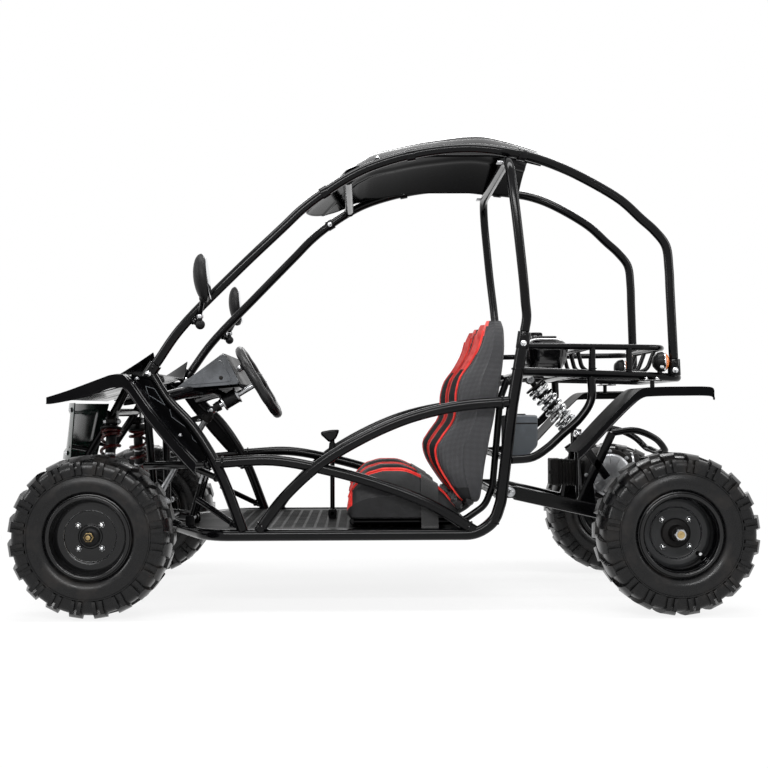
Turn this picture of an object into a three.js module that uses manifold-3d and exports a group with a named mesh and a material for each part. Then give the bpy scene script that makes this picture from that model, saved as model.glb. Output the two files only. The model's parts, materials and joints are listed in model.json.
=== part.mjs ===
// Two-seat off road go kart: millimetres, X towards the tail, Y towards the kart's right, Z up.
// The origin lies on the ground, midway between the axles.

import * as THREE from 'three';
import { mergeVertices } from 'three/addons/utils/BufferGeometryUtils.js';
import Module from 'manifold-3d';

const wasm = await Module();
wasm.setup();

// Driving sizes

const wheelbase = 1464;
const halfTrack = 461;
const cageHeight = 1200;
const gap = 0.3;
const weldTolerance = 0.001;
const flatTolerance = 0.03;
const flatShare = 0.95;
const running = 0.4;
const overrun = 4;

const tubing = { floor: 15, side: 14, cage: 12.5, dash: 16, seat: 9, front: 11, rack: 11, rail: 8, slat: 6 };
const coarseSides = 6;
const flatOf = (radius, sides = coarseSides) => radius * Math.cos(Math.PI / sides);
const tubeSides = 8;
const seatSides = 10;
const wheelSides = 12;
const sheetThickness = 3;

const tyre = { radius: 203, width: 178, bead: 97, wall: 12, lugs: 15, lugDepth: 13, drop: 10, lip: 3, centre: 22 };
const beadSeat = { outer: 68, inner: 56 };
const rim = {
  flange: 102, edge: 1, barrel: 88, seat: 95.2, width: 142, wall: 4, discOffset: 24, hubRadius: 32, hubLength: 60,
};
const axle = { radius: 15, nut: 12, nutLength: 16, flange: 52, flangeThick: 7 };

const seat = { centre: 197, halfWidth: 176, floor: 233 };
const wheelRim = { radius: 98, tube: 13, hub: 24, hubLength: 26, spoke: 7 };
const shaft = { radius: 8, bearing: 20, bearingLength: 46, joint: 14, jointLength: 22 };
const rack = { bar: 8, housing: 17, length: 222, travel: 63.2, ball: 10, stop: 2.4, play: 0.8 };
const arm = { tube: 11, sleeve: 13, sleeveLength: 34, bolt: 6, ear: 5, pin: 8, yoke: 10 };
const knuckle = { sleeve: 17, spindle: 10, steering: 8 };
const pinHalf = 36;
const frontShock = { spring: 24, wire: 4.5, curls: 5, body: 14, rod: 6, eye: 11, eyeLength: 18, bolt: 5, seat: 31 };
const rearShock = { spring: 25, wire: 4.8, curls: 8, body: 16, rod: 7, eye: 13, eyeLength: 24, bolt: 6, seat: 33 };
const shockPlay = 2;
const rodPlay = 2.3;
const springSeat = 5;
const swingArm = { width: 30, height: 38, spread: 165, sleeve: 16, bolt: 8, housing: 32, housingLength: 36 };
const strut = { width: 16, height: 22 };
const guardTube = 9;
const driveline = { sprocket: 80, drive: 24, thick: 6, offset: 108, chainWidth: 10, chainHeight: 9, disc: 84 };
const engine = { case: 74, caseWidth: 150, cover: 60, coverThick: 16, barrel: 96, barrelHeight: 74, head: 60 };
const silencer = { radius: 34, length: 150, pipe: 13 };
const tank = { length: 126, width: 250, height: 98, neck: 21, neckHeight: 5, cap: 19, capHeight: 12 };
const battery = { length: 86, width: 110, height: 116 };
const mirror = { height: 122, width: 92, depth: 40, stem: 6, ball: 13 };
const pedal = { arm: 7, length: 125, padHeight: 60, padWidth: 48, padThick: 8, boss: 10, bossLength: 30 };
const lever = { rod: 6.5, length: 215, boss: 12, bossLength: 30, knobLength: 52, knobHeight: 30, knobWidth: 28 };
const key = { radius: 10, length: 16, bow: 22, bowThick: 3, bowHeight: 18 };
const button = { radius: 11, height: 8, stem: 6, stemLength: 10, travel: 4 };
const cable = { radius: 4 };
const signal = { radius: 27, stalk: 6 };
const sleeve = { radius: 17, length: 44 };
const belt = { width: 44, thick: 3 };
const caliper = { length: 54, width: 46, height: 60, slot: 12 };

// Places as shares of the wheelbase, the half track and the cage height: [along, across, up]

const roofRailShares = [
  [-0.412, 0.785, 0.515], [-0.36, 0.806, 0.604], [-0.261, 0.79, 0.729], [-0.144, 0.711, 0.87],
  [-0.105, 0.69, 0.907], [-0.041, 0.685, 0.954], [0.031, 0.695, 0.984], [0.103, 0.703, 1],
  [0.165, 0.711, 1.003], [0.227, 0.7, 0.995], [0.273, 0.65, 0.986], [0.316, 0.59, 0.973],
  [0.359, 0.563, 0.952], [0.436, 0.562, 0.8975], [0.499, 0.564, 0.8275], [0.519, 0.564, 0.795],
  [0.5245, 0.566, 0.745], [0.531, 0.588, 0.5215],
];
const roofCrossShares = [-0.064, 0.6845, 0.939];
const hoopShares = [
  [0.2455, 0.855, 0.578], [0.2515, 0.857, 0.628], [0.246, 0.88, 0.7], [0.239, 0.893, 0.778],
  [0.232, 0.88, 0.86], [0.227, 0.855, 0.917], [0.2245, 0.82, 0.952], [0.223, 0.76, 0.9715],
];
const floorRailShares = [
  [-0.594, 0.26, 0.177], [-0.41, 0.26, 0.177], [-0.372, 0.41, 0.164], [-0.321, 0.76, 0.1625],
  [-0.29, 0.855, 0.1625], [0.16, 0.855, 0.1625], [0.193, 0.855, 0.188], [0.2045, 0.855, 0.232],
  [0.226, 0.855, 0.441], [0.2445, 0.855, 0.572],
];
const seatRailShares = [
  [-0.055, 0.72, 0.1865], [0.14, 0.72, 0.1865], [0.18, 0.72, 0.22], [0.194, 0.72, 0.262],
  [0.2085, 0.72, 0.453], [0.222, 0.72, 0.497],
];
const floorCrossShares = [-0.28, -0.12, 0.08];
const downTubeShares = [
  [-0.412, 0.785, 0.508], [-0.385, 0.792, 0.456], [-0.336, 0.815, 0.391], [-0.29, 0.843, 0.3],
  [-0.248, 0.855, 0.17],
];
const sillArcShares = [
  [-0.296, 0.845, 0.317], [-0.195, 0.855, 0.322], [-0.1, 0.855, 0.301], [-0.01, 0.855, 0.27],
  [0.08, 0.855, 0.2265], [0.158, 0.855, 0.17],
];
const guardShares = [
  [-0.221, 0.855, 0.17], [-0.182, 0.86, 0.235], [-0.12, 0.867, 0.307], [-0.05, 0.872, 0.361],
  [0.04, 0.869, 0.41], [0.13, 0.862, 0.4365], [0.22, 0.855, 0.446],
];
const sideArmShares = [[-0.444, 0.32, 0.303], [-0.305, 0.835, 0.315]];
const upperBraceShares = [[-0.346, 0.66, 0.306], [-0.2885, 0.842, 0.282]];
const lowerBraceShares = [[-0.335, 0.66, 0.235], [-0.26, 0.85, 0.183]];
const frontHoopShares = [[-0.592, 0.26, 0.196], [-0.554, 0.345, 0.318], [-0.5, 0.385, 0.425], [-0.478, 0.38, 0.457]];
const rearHoopShares = [[-0.43, 0.26, 0.196], [-0.436, 0.34, 0.36], [-0.444, 0.375, 0.475]];
const dashHoopShares = [[-0.386, 0.792, 0.458], [-0.36, 0.64, 0.468], [-0.315, 0.35, 0.477], [-0.287, 0, 0.482]];
const cowlStayShares = [[-0.444, 0.36, 0.468], [-0.377, 0.735, 0.466]];
const noseStayShares = [[-0.543, 0.353, 0.34], [-0.5825, 0.39, 0.35]];
const lowerRackShares = [
  [0.238, 0.84, 0.5115], [0.48, 0.62, 0.5025], [0.53, 0.57, 0.5], [0.5415, 0.53, 0.4995],
  [0.5425, 0.42, 0.4995],
];
const upperRackShares = [
  [0.252, 0.835, 0.566], [0.48, 0.61, 0.566], [0.505, 0.57, 0.566], [0.514, 0.5, 0.566],
  [0.516, 0.4, 0.566],
];
const rackPostShares = [0.375, 0.445];
const rackSlatShares = [[0.516, 0.565], [0.502, 0.52], [0.47, 0.508], [0.4, 0.508], [0.378, 0.525], [0.37, 0.565]];
const slatAcrossShares = [-0.28, 0, 0.28];
const curvedBraceShares = [
  [0.372, 0.725, 0.5], [0.371, 0.735, 0.45], [0.35, 0.752, 0.41], [0.29, 0.793, 0.346],
  [0.262, 0.815, 0.326], [0.223, 0.84, 0.321],
];
const rearCrossShares = [0.268, 0.352];
const pivotShares = [0.236, 0.242];
const rearGuardShares = [
  [0.43, 0.358, 0.375], [0.475, 0.355, 0.38], [0.515, 0.33, 0.36], [0.535, 0.28, 0.335], [0.542, 0, 0.325],
];
const axleHeightShare = 203 / 1200;

// Finishes

const finish = (color, roughness, metalness) => new THREE.MeshStandardMaterial({ color, roughness, metalness });
const finishes = {
  frame: finish(0x0b0b0c, 0.25, 0.3),
  panel: finish(0x101213, 0.35, 0),
  nose: finish(0x0e1a17, 0.3, 0),
  rubber: finish(0x161616, 0.85, 0),
  rim: finish(0x0d0d0d, 0.4, 0.3),
  steel: finish(0xa8a9ab, 0.35, 0.9),
  chrome: finish(0xd9dadb, 0.15, 1),
  alloy: finish(0xb9babc, 0.4, 0.8),
  fabric: finish(0x2a2b2d, 0.8, 0),
  red: finish(0xc8201c, 0.5, 0),
  strap: finish(0x111111, 0.9, 0),
  plastic: finish(0x151515, 0.5, 0),
};

// Vectors and places

const V = (x = 0, y = 0, z = 0) => new THREE.Vector3(x, y, z);
const up = V(0, 0, 1);
const across = V(0, 1, 0);
const along = V(1, 0, 0);
const X = (share) => share * wheelbase;
const Y = (share) => share * halfTrack;
const Z = (share) => share * cageHeight;
const place = ([x, y, z], side = 1) => V(X(x), Y(y) * side, Z(z));
const route = (shares, side = 1) => shares.map((share) => place(share, side));
const mirrored = (points) => points.map((point) => V(point.x, -point.y, point.z));
const between = (a, b, share) => a.clone().lerp(b, share);
const toward = (a, b) => b.clone().sub(a).normalize();
const shifted = (point, direction, length) => point.clone().addScaledVector(direction, length);

// Closed solids from geometry

function solid(geometry, matrix) {
  const bare = new THREE.BufferGeometry();
  bare.setAttribute('position', geometry.getAttribute('position').clone());
  if (geometry.index) bare.setIndex(geometry.index.clone());
  if (matrix) bare.applyMatrix4(matrix);
  const merged = mergeVertices(bare, weldTolerance);
  const corners = merged.getAttribute('position').array;
  const indices = merged.index.array;
  const kept = [];
  let volume = 0;
  const [a, b, c] = [V(), V(), V()];
  for (let i = 0; i < indices.length; i += 3) {
    const [p, q, r] = [indices[i], indices[i + 1], indices[i + 2]];
    if (p === q || q === r || r === p) continue;
    kept.push(p, q, r);
    a.fromArray(corners, 3 * p);
    b.fromArray(corners, 3 * q);
    c.fromArray(corners, 3 * r);
    volume += a.dot(b.cross(c));
  }
  if (volume < 0) {
    for (let i = 0; i < kept.length; i += 3) [kept[i], kept[i + 1]] = [kept[i + 1], kept[i]];
  }
  const mesh = { numProp: 3, vertProperties: new Float32Array(corners), triVerts: new Uint32Array(kept) };
  return new wasm.Manifold(new wasm.Mesh(mesh));
}

const joined = (pieces) => pieces.flat().reduce((sum, piece) => sum.add(piece));
const cut = (body, tools) => tools.flat().reduce((rest, tool) => rest.subtract(tool), body);

// Merges away corners that lie flat in their faces or straight along a crease
function trimmed(corners, faces) {
  const around = corners.map(() => new Set());
  faces.forEach((face, i) => face.forEach((corner) => around[corner].add(i)));
  const neighbours = (v) => new Set([...around[v]].flatMap((i) => faces[i]).filter((corner) => corner !== v));
  const normal = new THREE.Vector3();
  const turned = new THREE.Vector3();
  const plane = (face, target) => {
    const [a, b, c] = face.map((corner) => corners[corner]);
    return target.crossVectors(b.clone().sub(a), c.clone().sub(a));
  };
  const fits = (v, u) => {
    for (const i of around[v]) {
      const face = faces[i];
      if (face.includes(u)) continue;
      plane(face, normal);
      plane(face.map((corner) => (corner === v ? u : corner)), turned);
      const thick = normal.length();
      if (turned.length() < weldTolerance) return false;
      if (normal.dot(turned) < flatShare * thick * turned.length()) return false;
      if (Math.abs(corners[u].clone().sub(corners[v]).dot(normal)) > flatTolerance * thick) return false;
    }
    return true;
  };
  for (let changed = true; changed;) {
    changed = false;
    for (let v = 0; v < corners.length; v += 1) {
      if (!around[v].size) continue;
      const ring = neighbours(v);
      for (const u of ring) {
        const shared = [...around[v]].filter((i) => faces[i].includes(u));
        const common = [...neighbours(u)].filter((corner) => ring.has(corner));
        if (shared.length !== 2 || common.length !== 2 || !fits(v, u)) continue;
        for (const i of shared) faces[i].forEach((corner) => around[corner].delete(i));
        for (const i of around[v]) {
          faces[i] = faces[i].map((corner) => (corner === v ? u : corner));
          around[u].add(i);
        }
        for (const i of shared) faces[i] = null;
        around[v].clear();
        changed = true;
        break;
      }
    }
  }
  return faces.filter(Boolean);
}

function surface(body) {
  const mesh = body.getMesh();
  const corners = [];
  for (let i = 0; i < mesh.numVert; i += 1) corners.push(V().fromArray(mesh.vertProperties, i * mesh.numProp));
  const faces = [];
  for (let i = 0; i < mesh.triVerts.length; i += 3) faces.push([...mesh.triVerts.slice(i, i + 3)]);
  const kept = trimmed(corners, faces).flat();
  const order = new Map([...new Set(kept)].map((corner, i) => [corner, i]));
  const geometry = new THREE.BufferGeometry().setFromPoints([...order.keys()].map((corner) => corners[corner]));
  geometry.setIndex(kept.map((corner) => order.get(corner)));
  return geometry;
}

const kart = new THREE.Group();

function add(name, body, material) {
  const geometry = surface(body);
  geometry.computeVertexNormals();
  const mesh = new THREE.Mesh(geometry, material);
  mesh.name = name;
  kart.add(mesh);
}

// Shapes

class Route extends THREE.Curve {
  constructor(points) {
    super();
    this.points = points;
  }

  getPoint(t, target = new THREE.Vector3()) {
    const last = this.points.length - 1;
    const spot = Math.min(Math.max(t, 0), 1) * last;
    const index = Math.min(Math.floor(spot + weldTolerance), last - 1);
    return target.lerpVectors(this.points[index], this.points[index + 1], spot - index);
  }

  getPointAt(u, target) {
    return this.getPoint(u, target);
  }

  getTangentAt(u, target = new THREE.Vector3()) {
    const last = this.points.length - 1;
    const index = Math.round(u * last);
    target.set(0, 0, 0);
    if (index > 0) target.add(toward(this.points[index - 1], this.points[index]));
    if (index < last) target.add(toward(this.points[index], this.points[index + 1]));
    return target.normalize();
  }
}

function polygon(radius, sides, turn = 0) {
  const corners = [];
  for (let i = 0; i < sides; i += 1) {
    const angle = ((i + turn) / sides) * 2 * Math.PI;
    corners.push(new THREE.Vector2(radius * Math.cos(angle), radius * Math.sin(angle)));
  }
  return new THREE.Shape(corners);
}

function tube(points, radius, sides = coarseSides, turn = 0) {
  const options = { steps: points.length - 1, extrudePath: new Route(points), bevelEnabled: false };
  return solid(new THREE.ExtrudeGeometry(polygon(radius, sides, turn), options));
}

function smooth(points, count) {
  return new THREE.CatmullRomCurve3(points, false, 'centripetal').getSpacedPoints(count);
}

const rod = (from, to, radius, sides, turn) => tube([from, to], radius, sides, turn);

// A tube made larger all round, its ends too, so that it cuts a seat for the real one
function grown(points, radius, grow, sides = coarseSides) {
  const longer = points.map((point) => point.clone());
  longer[0] = shifted(points[0], toward(points[1], points[0]), grow);
  longer[longer.length - 1] = shifted(points.at(-1), toward(points.at(-2), points.at(-1)), grow);
  return tube(longer, radius + grow, sides);
}

// A rod that reaches equally far both ways from its middle
const pinAt = (middle, direction, half, radius, sides = tubeSides) => rod(
  shifted(middle, direction, -half), shifted(middle, direction, half), radius, sides);

const crossRod = (point, half, radius, sides) => rod(
  V(point.x, -half, point.z), V(point.x, half, point.z), radius, sides);

// A bore's corner radius for a pin that turns in it
const boreOf = (radius, sides = tubeSides) => radius / Math.cos(Math.PI / sides) + running;

function frameOf(origin, direction) {
  const turn = new THREE.Quaternion().setFromUnitVectors(up, direction.clone().normalize());
  return new THREE.Matrix4().compose(origin, turn, V(1, 1, 1));
}

// A closed profile of [radius, height] pairs turned about a line
function turned(profile, origin, direction, segments = tubeSides) {
  const points = profile.map(([r, h]) => new THREE.Vector2(Math.max(r, 0), h));
  const closed = points[0].x === 0 && points[points.length - 1].x === 0 ? points : [...points, points[0].clone()];
  const upright = new THREE.LatheGeometry(closed, segments).rotateX(Math.PI / 2);
  return solid(upright, frameOf(origin, direction));
}

const sized = (shares, width, height) => shares.map(([w, h]) => [w * width, h * height]);

const disc = (origin, direction, radius, height, segments) => turned(
  [[0, 0], [radius, 0], [radius, height], [0, height]], origin, direction, segments);

const sleeveOf = (origin, direction, outer, inner, height, segments) => turned(
  [[inner, 0], [outer, 0], [outer, height], [inner, height]], origin, direction, segments);

const ball = (centre, radius, segments = tubeSides) => solid(
  new THREE.SphereGeometry(radius, segments, segments / 2).rotateX(Math.PI / 2).translate(centre.x, centre.y, centre.z));

function box(centre, size, turn = new THREE.Quaternion()) {
  const matrix = new THREE.Matrix4().compose(centre, turn, V(1, 1, 1));
  return solid(new THREE.BoxGeometry(size.x, size.y, size.z), matrix);
}

// A rectangular bar whose height stays near vertical
function bar(from, to, width, height) {
  const direction = toward(from, to);
  const side = V().crossVectors(up, direction).normalize();
  const rise = V().crossVectors(direction, side);
  const turn = new THREE.Quaternion().setFromRotationMatrix(new THREE.Matrix4().makeBasis(direction, side, rise));
  return box(between(from, to, 0.5), V(from.distanceTo(to), width, height), turn);
}

// An outline in X and Z, given as points, carried from one Y to another
function slab(outline, fromY, toY, holes = []) {
  const shape = new THREE.Shape(outline.map(([x, z]) => new THREE.Vector2(x, z)));
  for (const hole of holes) shape.holes.push(new THREE.Path(hole.map(([x, z]) => new THREE.Vector2(x, z))));
  const geometry = new THREE.ExtrudeGeometry(shape, { depth: toY - fromY, bevelEnabled: false });
  return solid(geometry.rotateX(Math.PI / 2).translate(0, toY, 0));
}

// A level outline in X and Y with its underside at a height
function deck(outline, height, thickness) {
  const shape = new THREE.Shape(outline.map(([x, y]) => new THREE.Vector2(x, y)));
  const geometry = new THREE.ExtrudeGeometry(shape, { depth: thickness, bevelEnabled: false });
  return solid(geometry.translate(0, 0, height));
}

// A bent sheet: a line in X and Z with a thickness below it, carried from one Y to another
function strip(line, thickness, fromY, toY) {
  const below = line.map((point, i) => {
    const before = line[Math.max(i - 1, 0)];
    const after = line[Math.min(i + 1, line.length - 1)];
    const run = new THREE.Vector2(after[0] - before[0], after[1] - before[1]).normalize();
    return [point[0] + run.y * thickness, point[1] - run.x * thickness];
  });
  return slab([...line, ...below.reverse()], fromY, toY);
}

// Faces between rings of equal length, closed by a fan at each end
function loft(rings) {
  const corners = rings.flat();
  const size = rings[0].length;
  const faces = [];
  for (let i = 0; i + 1 < rings.length; i += 1) {
    for (let k = 0; k < size; k += 1) {
      const [a, b] = [i * size + k, i * size + ((k + 1) % size)];
      faces.push(a, b, b + size, a, b + size, a + size);
    }
  }
  for (const [ring, first] of [[rings[0], 0], [rings.at(-1), (rings.length - 1) * size]]) {
    const centre = ring.reduce((sum, point) => sum.add(point), V()).divideScalar(size);
    corners.push(centre);
    for (let k = 0; k < size; k += 1) {
      const pair = [first + k, first + ((k + 1) % size)];
      if (first === 0) pair.reverse();
      faces.push(...pair, corners.length - 1);
    }
  }
  const geometry = new THREE.BufferGeometry().setFromPoints(corners);
  geometry.setIndex(faces);
  return solid(geometry);
}

// A sheet over a grid of points with its other side moved by an offset
function sheet(point, columns, rows, offset) {
  const corners = [];
  const faces = [];
  const count = (columns + 1) * (rows + 1);
  for (const side of [0, 1]) {
    for (let i = 0; i <= columns; i += 1) {
      for (let j = 0; j <= rows; j += 1) {
        corners.push(point(i / columns, j / rows).addScaledVector(offset, side));
      }
    }
  }
  const at = (i, j, side) => side * count + i * (rows + 1) + j;
  const quad = (a, b, c, d) => faces.push(a, b, c, a, c, d);
  for (let i = 0; i < columns; i += 1) {
    for (let j = 0; j < rows; j += 1) {
      quad(at(i, j, 0), at(i + 1, j, 0), at(i + 1, j + 1, 0), at(i, j + 1, 0));
      quad(at(i, j, 1), at(i, j + 1, 1), at(i + 1, j + 1, 1), at(i + 1, j, 1));
    }
    quad(at(i, 0, 0), at(i, 0, 1), at(i + 1, 0, 1), at(i + 1, 0, 0));
    quad(at(i, rows, 0), at(i + 1, rows, 0), at(i + 1, rows, 1), at(i, rows, 1));
  }
  for (let j = 0; j < rows; j += 1) {
    quad(at(0, j, 0), at(0, j + 1, 0), at(0, j + 1, 1), at(0, j, 1));
    quad(at(columns, j, 0), at(columns, j, 1), at(columns, j + 1, 1), at(columns, j + 1, 0));
  }
  const geometry = new THREE.BufferGeometry().setFromPoints(corners);
  geometry.setIndex(faces);
  return solid(geometry);
}

const sides = [['left', -1], ['right', 1]];

// Height of a route's centre line at a place along the kart, and its spread from the middle
function atStation(points, x) {
  for (let i = 0; i + 1 < points.length; i += 1) {
    const [a, b] = [points[i], points[i + 1]];
    if ((a.x - x) * (b.x - x) <= 0 && a.x !== b.x) return between(a, b, (x - a.x) / (b.x - a.x));
  }
  throw new Error('the route does not reach that place');
}

function atHeight(points, z) {
  for (let i = 0; i + 1 < points.length; i += 1) {
    const [a, b] = [points[i], points[i + 1]];
    if ((a.z - z) * (b.z - z) <= 0 && a.z !== b.z) return between(a, b, (z - a.z) / (b.z - a.z));
  }
  throw new Error('the route does not reach that height');
}

// Routes shared by the frame's pieces

// A cage tube stands on the end of its sleeve
const aboveSleeve = (foot, next) => shifted(foot, toward(foot, next), sleeve.length / 2 + gap);
function roofRail(side, grow = 0) {
  const points = route(roofRailShares, side);
  points[0] = aboveSleeve(points[0], points[1]);
  points[points.length - 1] = aboveSleeve(points.at(-1), points.at(-2));
  return grown(points, tubing.cage, grow);
}
const floorRail = (side, grow = 0) => grown(route(floorRailShares, side), tubing.floor, grow);
const downTube = (side, grow = 0) => grown(route(downTubeShares, side), tubing.side, grow);
const curvedBrace = (side, grow = 0) => grown(route(curvedBraceShares, side), tubing.rack, grow);
const post = route(floorRailShares);
const rackRail = route(lowerRackShares);
const lowCross = atHeight(post, Z(0.325));
const axleHeight = Z(axleHeightShare);
const frontAxle = X(-0.5);
const rearAxle = X(0.5);
const pivot = V(X(pivotShares[0]), 0, Z(pivotShares[1]));

const hoopTop = atStation(route(roofRailShares), X(hoopShares.at(-1)[0])).z - 2 * tubing.cage - gap;
function hoop(grow = 0) {
  const half = route(hoopShares);
  half[0] = aboveSleeve(half[0], half[1]);
  const top = V(X(hoopShares.at(-1)[0]), Y(0.66), hoopTop);
  half[half.length - 1].z = hoopTop - tubing.cage / 2;
  return grown([...half, top, ...mirrored([top, ...half.reverse()])], tubing.cage, grow);
}

// Bolted sleeve at the foot of a cage tube
function socket(foot, next, grow = 0) {
  const direction = toward(foot, next);
  const start = shifted(foot, direction, -sleeve.length / 2 - grow);
  return disc(start, direction, sleeve.radius + grow, sleeve.length + 2 * grow);
}

// Floor frame: rails, posts, cross tubes, seat rails, pan, and the swing arm's pivot

const floorTop = Z(floorRailShares[4][2]) + tubing.floor;
const armPivotHeight = Z(floorRailShares[0][2]) + tubing.floor + rack.housing;
const armPivots = [X(-0.5465), X(-0.468)];
const armPivotSpread = Y(0.326);
const crossHalf = Y(0.845);
// The pan's edge, inside the rails
const panShares = [[-0.373, 0.37], [-0.325, 0.7], [-0.295, 0.8], [0.16, 0.8]];

function floorFrame() {
  const pieces = [];
  const seatCross = atHeight(route(seatRailShares), Z(0.49));
  for (const [, side] of sides) {
    pieces.push(floorRail(side));
    pieces.push(tube(route(seatRailShares, side), tubing.seat));
    const ends = armPivots.map((x, i) => x + (2 * i - 1) * (arm.sleeveLength / 2 + gap + arm.ear / 2));
    const hinge = ends.map((x) => V(x, side * armPivotSpread, armPivotHeight));
    pieces.push(rod(hinge[0], hinge[1], arm.bolt, tubeSides));
    const [foot, head] = [Z(floorRailShares[0][2]), armPivotHeight + arm.bolt * 1.4];
    const [inner, outer] = [Y(floorRailShares[0][1]), armPivotSpread + arm.bolt * 1.4];
    for (const x of ends) {
      const middle = V(x, (side * (inner + outer)) / 2, (foot + head) / 2);
      pieces.push(box(middle, V(arm.ear, outer - inner, head - foot)));
    }
    const ear = V(pivot.x, side * (swingArm.spread + swingArm.width), pivot.z);
    const tail = V(atHeight(post, pivot.z).x, ear.y, pivot.z);
    pieces.push(bar(tail, shifted(ear, along, swingArm.sleeve), arm.ear, 2 * swingArm.sleeve));
  }
  for (const share of floorCrossShares) {
    pieces.push(crossRod(V(X(share), 0, Z(floorRailShares[4][2])), crossHalf, tubing.front));
  }
  const nose = place(floorRailShares[0]);
  nose.x += tubing.floor;
  pieces.push(crossRod(nose, nose.y, tubing.front));
  pieces.push(crossRod(place(floorRailShares[1]), nose.y, tubing.front));
  pieces.push(crossRod(atHeight(post, pivot.z), lowCross.y, tubing.front));
  pieces.push(crossRod(lowCross, lowCross.y, tubing.seat));
  const postCross = atHeight(post, seatCross.z);
  pieces.push(crossRod(between(seatCross, postCross, 0.4), postCross.y, tubing.seat));
  for (const x of [X(seatRailShares[0][0]), X(seatRailShares[1][0])]) {
    pieces.push(crossRod(V(x, 0, Z(seatRailShares[0][2])), Y(seatRailShares[0][1]), tubing.rail));
  }
  const pivotHalf = swingArm.spread + swingArm.width + arm.ear + swingArm.bolt;
  pieces.push(crossRod(pivot, pivotHalf, swingArm.bolt));
  const panTop = floorTop - sheetThickness;
  const panSide = panShares.map(([x, y]) => [X(x), Y(y)]);
  const panOutline = [...panSide, ...panSide.map(([x, y]) => [x, -y]).reverse()];
  pieces.push(deck(panOutline, panTop - sheetThickness, sheetThickness));
  const earAt = (x, y, top) => box(
    V(x, y, (panTop + top.z) / 2), V(2 * lever.boss, arm.ear, top.z - panTop + 2 * arm.bolt));
  const leverEar = lever.bossLength / 2 + gap + arm.ear / 2;
  for (const end of [-1, 1]) pieces.push(earAt(leverFoot.x, end * leverEar, leverFoot));
  pieces.push(crossRod(leverFoot, leverEar, arm.bolt, tubeSides));
  const pedalHalf = pedal.bossLength / 2 + gap;
  const pedalReach = pedalHalf + arm.ear / 2;
  const pedalEnds = [pedalSpots.brake - pedalReach, pedalSpots.throttle + pedalReach];
  for (const y of pedalEnds) pieces.push(earAt(pedalFoot.x, y, pedalFoot));
  const [shaftStart, shaftEnd] = pedalEnds.map((y) => V(pedalFoot.x, y, pedalFoot.z));
  pieces.push(rod(shaftStart, shaftEnd, arm.bolt, tubeSides));
  const spacer = [pedalSpots.brake + pedalHalf, pedalSpots.throttle - pedalHalf];
  const [spacerStart, spacerEnd] = spacer.map((y) => V(pedalFoot.x, y, pedalFoot.z));
  pieces.push(rod(spacerStart, spacerEnd, pedal.boss));
  for (const [, side] of sides) {
    pieces.push(socket(place(hoopShares[0], side), place(hoopShares[1], side)));
  }
  return joined(pieces);
}

const leverFoot = V(X(-0.097), 0, floorTop + lever.boss);
const pedalFoot = V(X(-0.352), 0, floorTop + pedal.boss + overrun);
const pedalSpots = { throttle: Y(-0.31), brake: Y(-0.53) };

// Side frames: down tube and leg, sill arc, entry guard, side arm and braces

function sideFrame(side) {
  const pieces = [
    downTube(side),
    tube(route(sillArcShares, side), tubing.side),
    tube(route(guardShares, side), tubing.side),
    tube(route(sideArmShares, side), tubing.front),
    tube(route(upperBraceShares, side), tubing.rail),
    tube(route(lowerBraceShares, side), tubing.rail),
    socket(place(roofRailShares[0], side), place(roofRailShares[1], side)),
  ];
  const tools = [
    floorRail(side, gap),
    roofRail(side, gap),
    grown(route(rearHoopShares, side), tubing.front, gap),
    grown(route(dashHoopShares, side), tubing.dash, gap),
  ];
  return cut(joined(pieces), tools);
}

// Front frame under the cowl, dash hoop, steering column bearing and steering rack housing

const wheelHub = V(X(-0.23), Y(-0.434), Z(0.493));
const columnJoint = V(X(-0.317), Y(-0.434), Z(0.43));
const columnLine = toward(wheelHub, columnJoint);
const columnBearing = between(wheelHub, columnJoint, 0.6);
const rackLine = V(X(-0.4353), 0, armPivotHeight);
const pinion = V(rackLine.x, Y(-0.13), rackLine.z + rack.housing);
const pinionLine = toward(pinion, columnJoint);

const cowl = {
  front: X(-0.58), rear: X(-0.41), frontHeight: Z(0.456), rearHeight: Z(0.511), halfWidth: Y(0.748),
};
const cowlHeight = (x) => cowl.frontHeight
  + ((x - cowl.front) / (cowl.rear - cowl.front)) * (cowl.rearHeight - cowl.frontHeight);
const noseX = { top: X(-0.6), bottom: X(-0.616), sweep: X(0.036) };

const frontEye = {
  top: (side) => V(frontAxle, side * Y(0.45), Z(0.405)),
  foot: (side) => V(frontAxle, side * Y(0.605), Z(0.206)),
};

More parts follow.
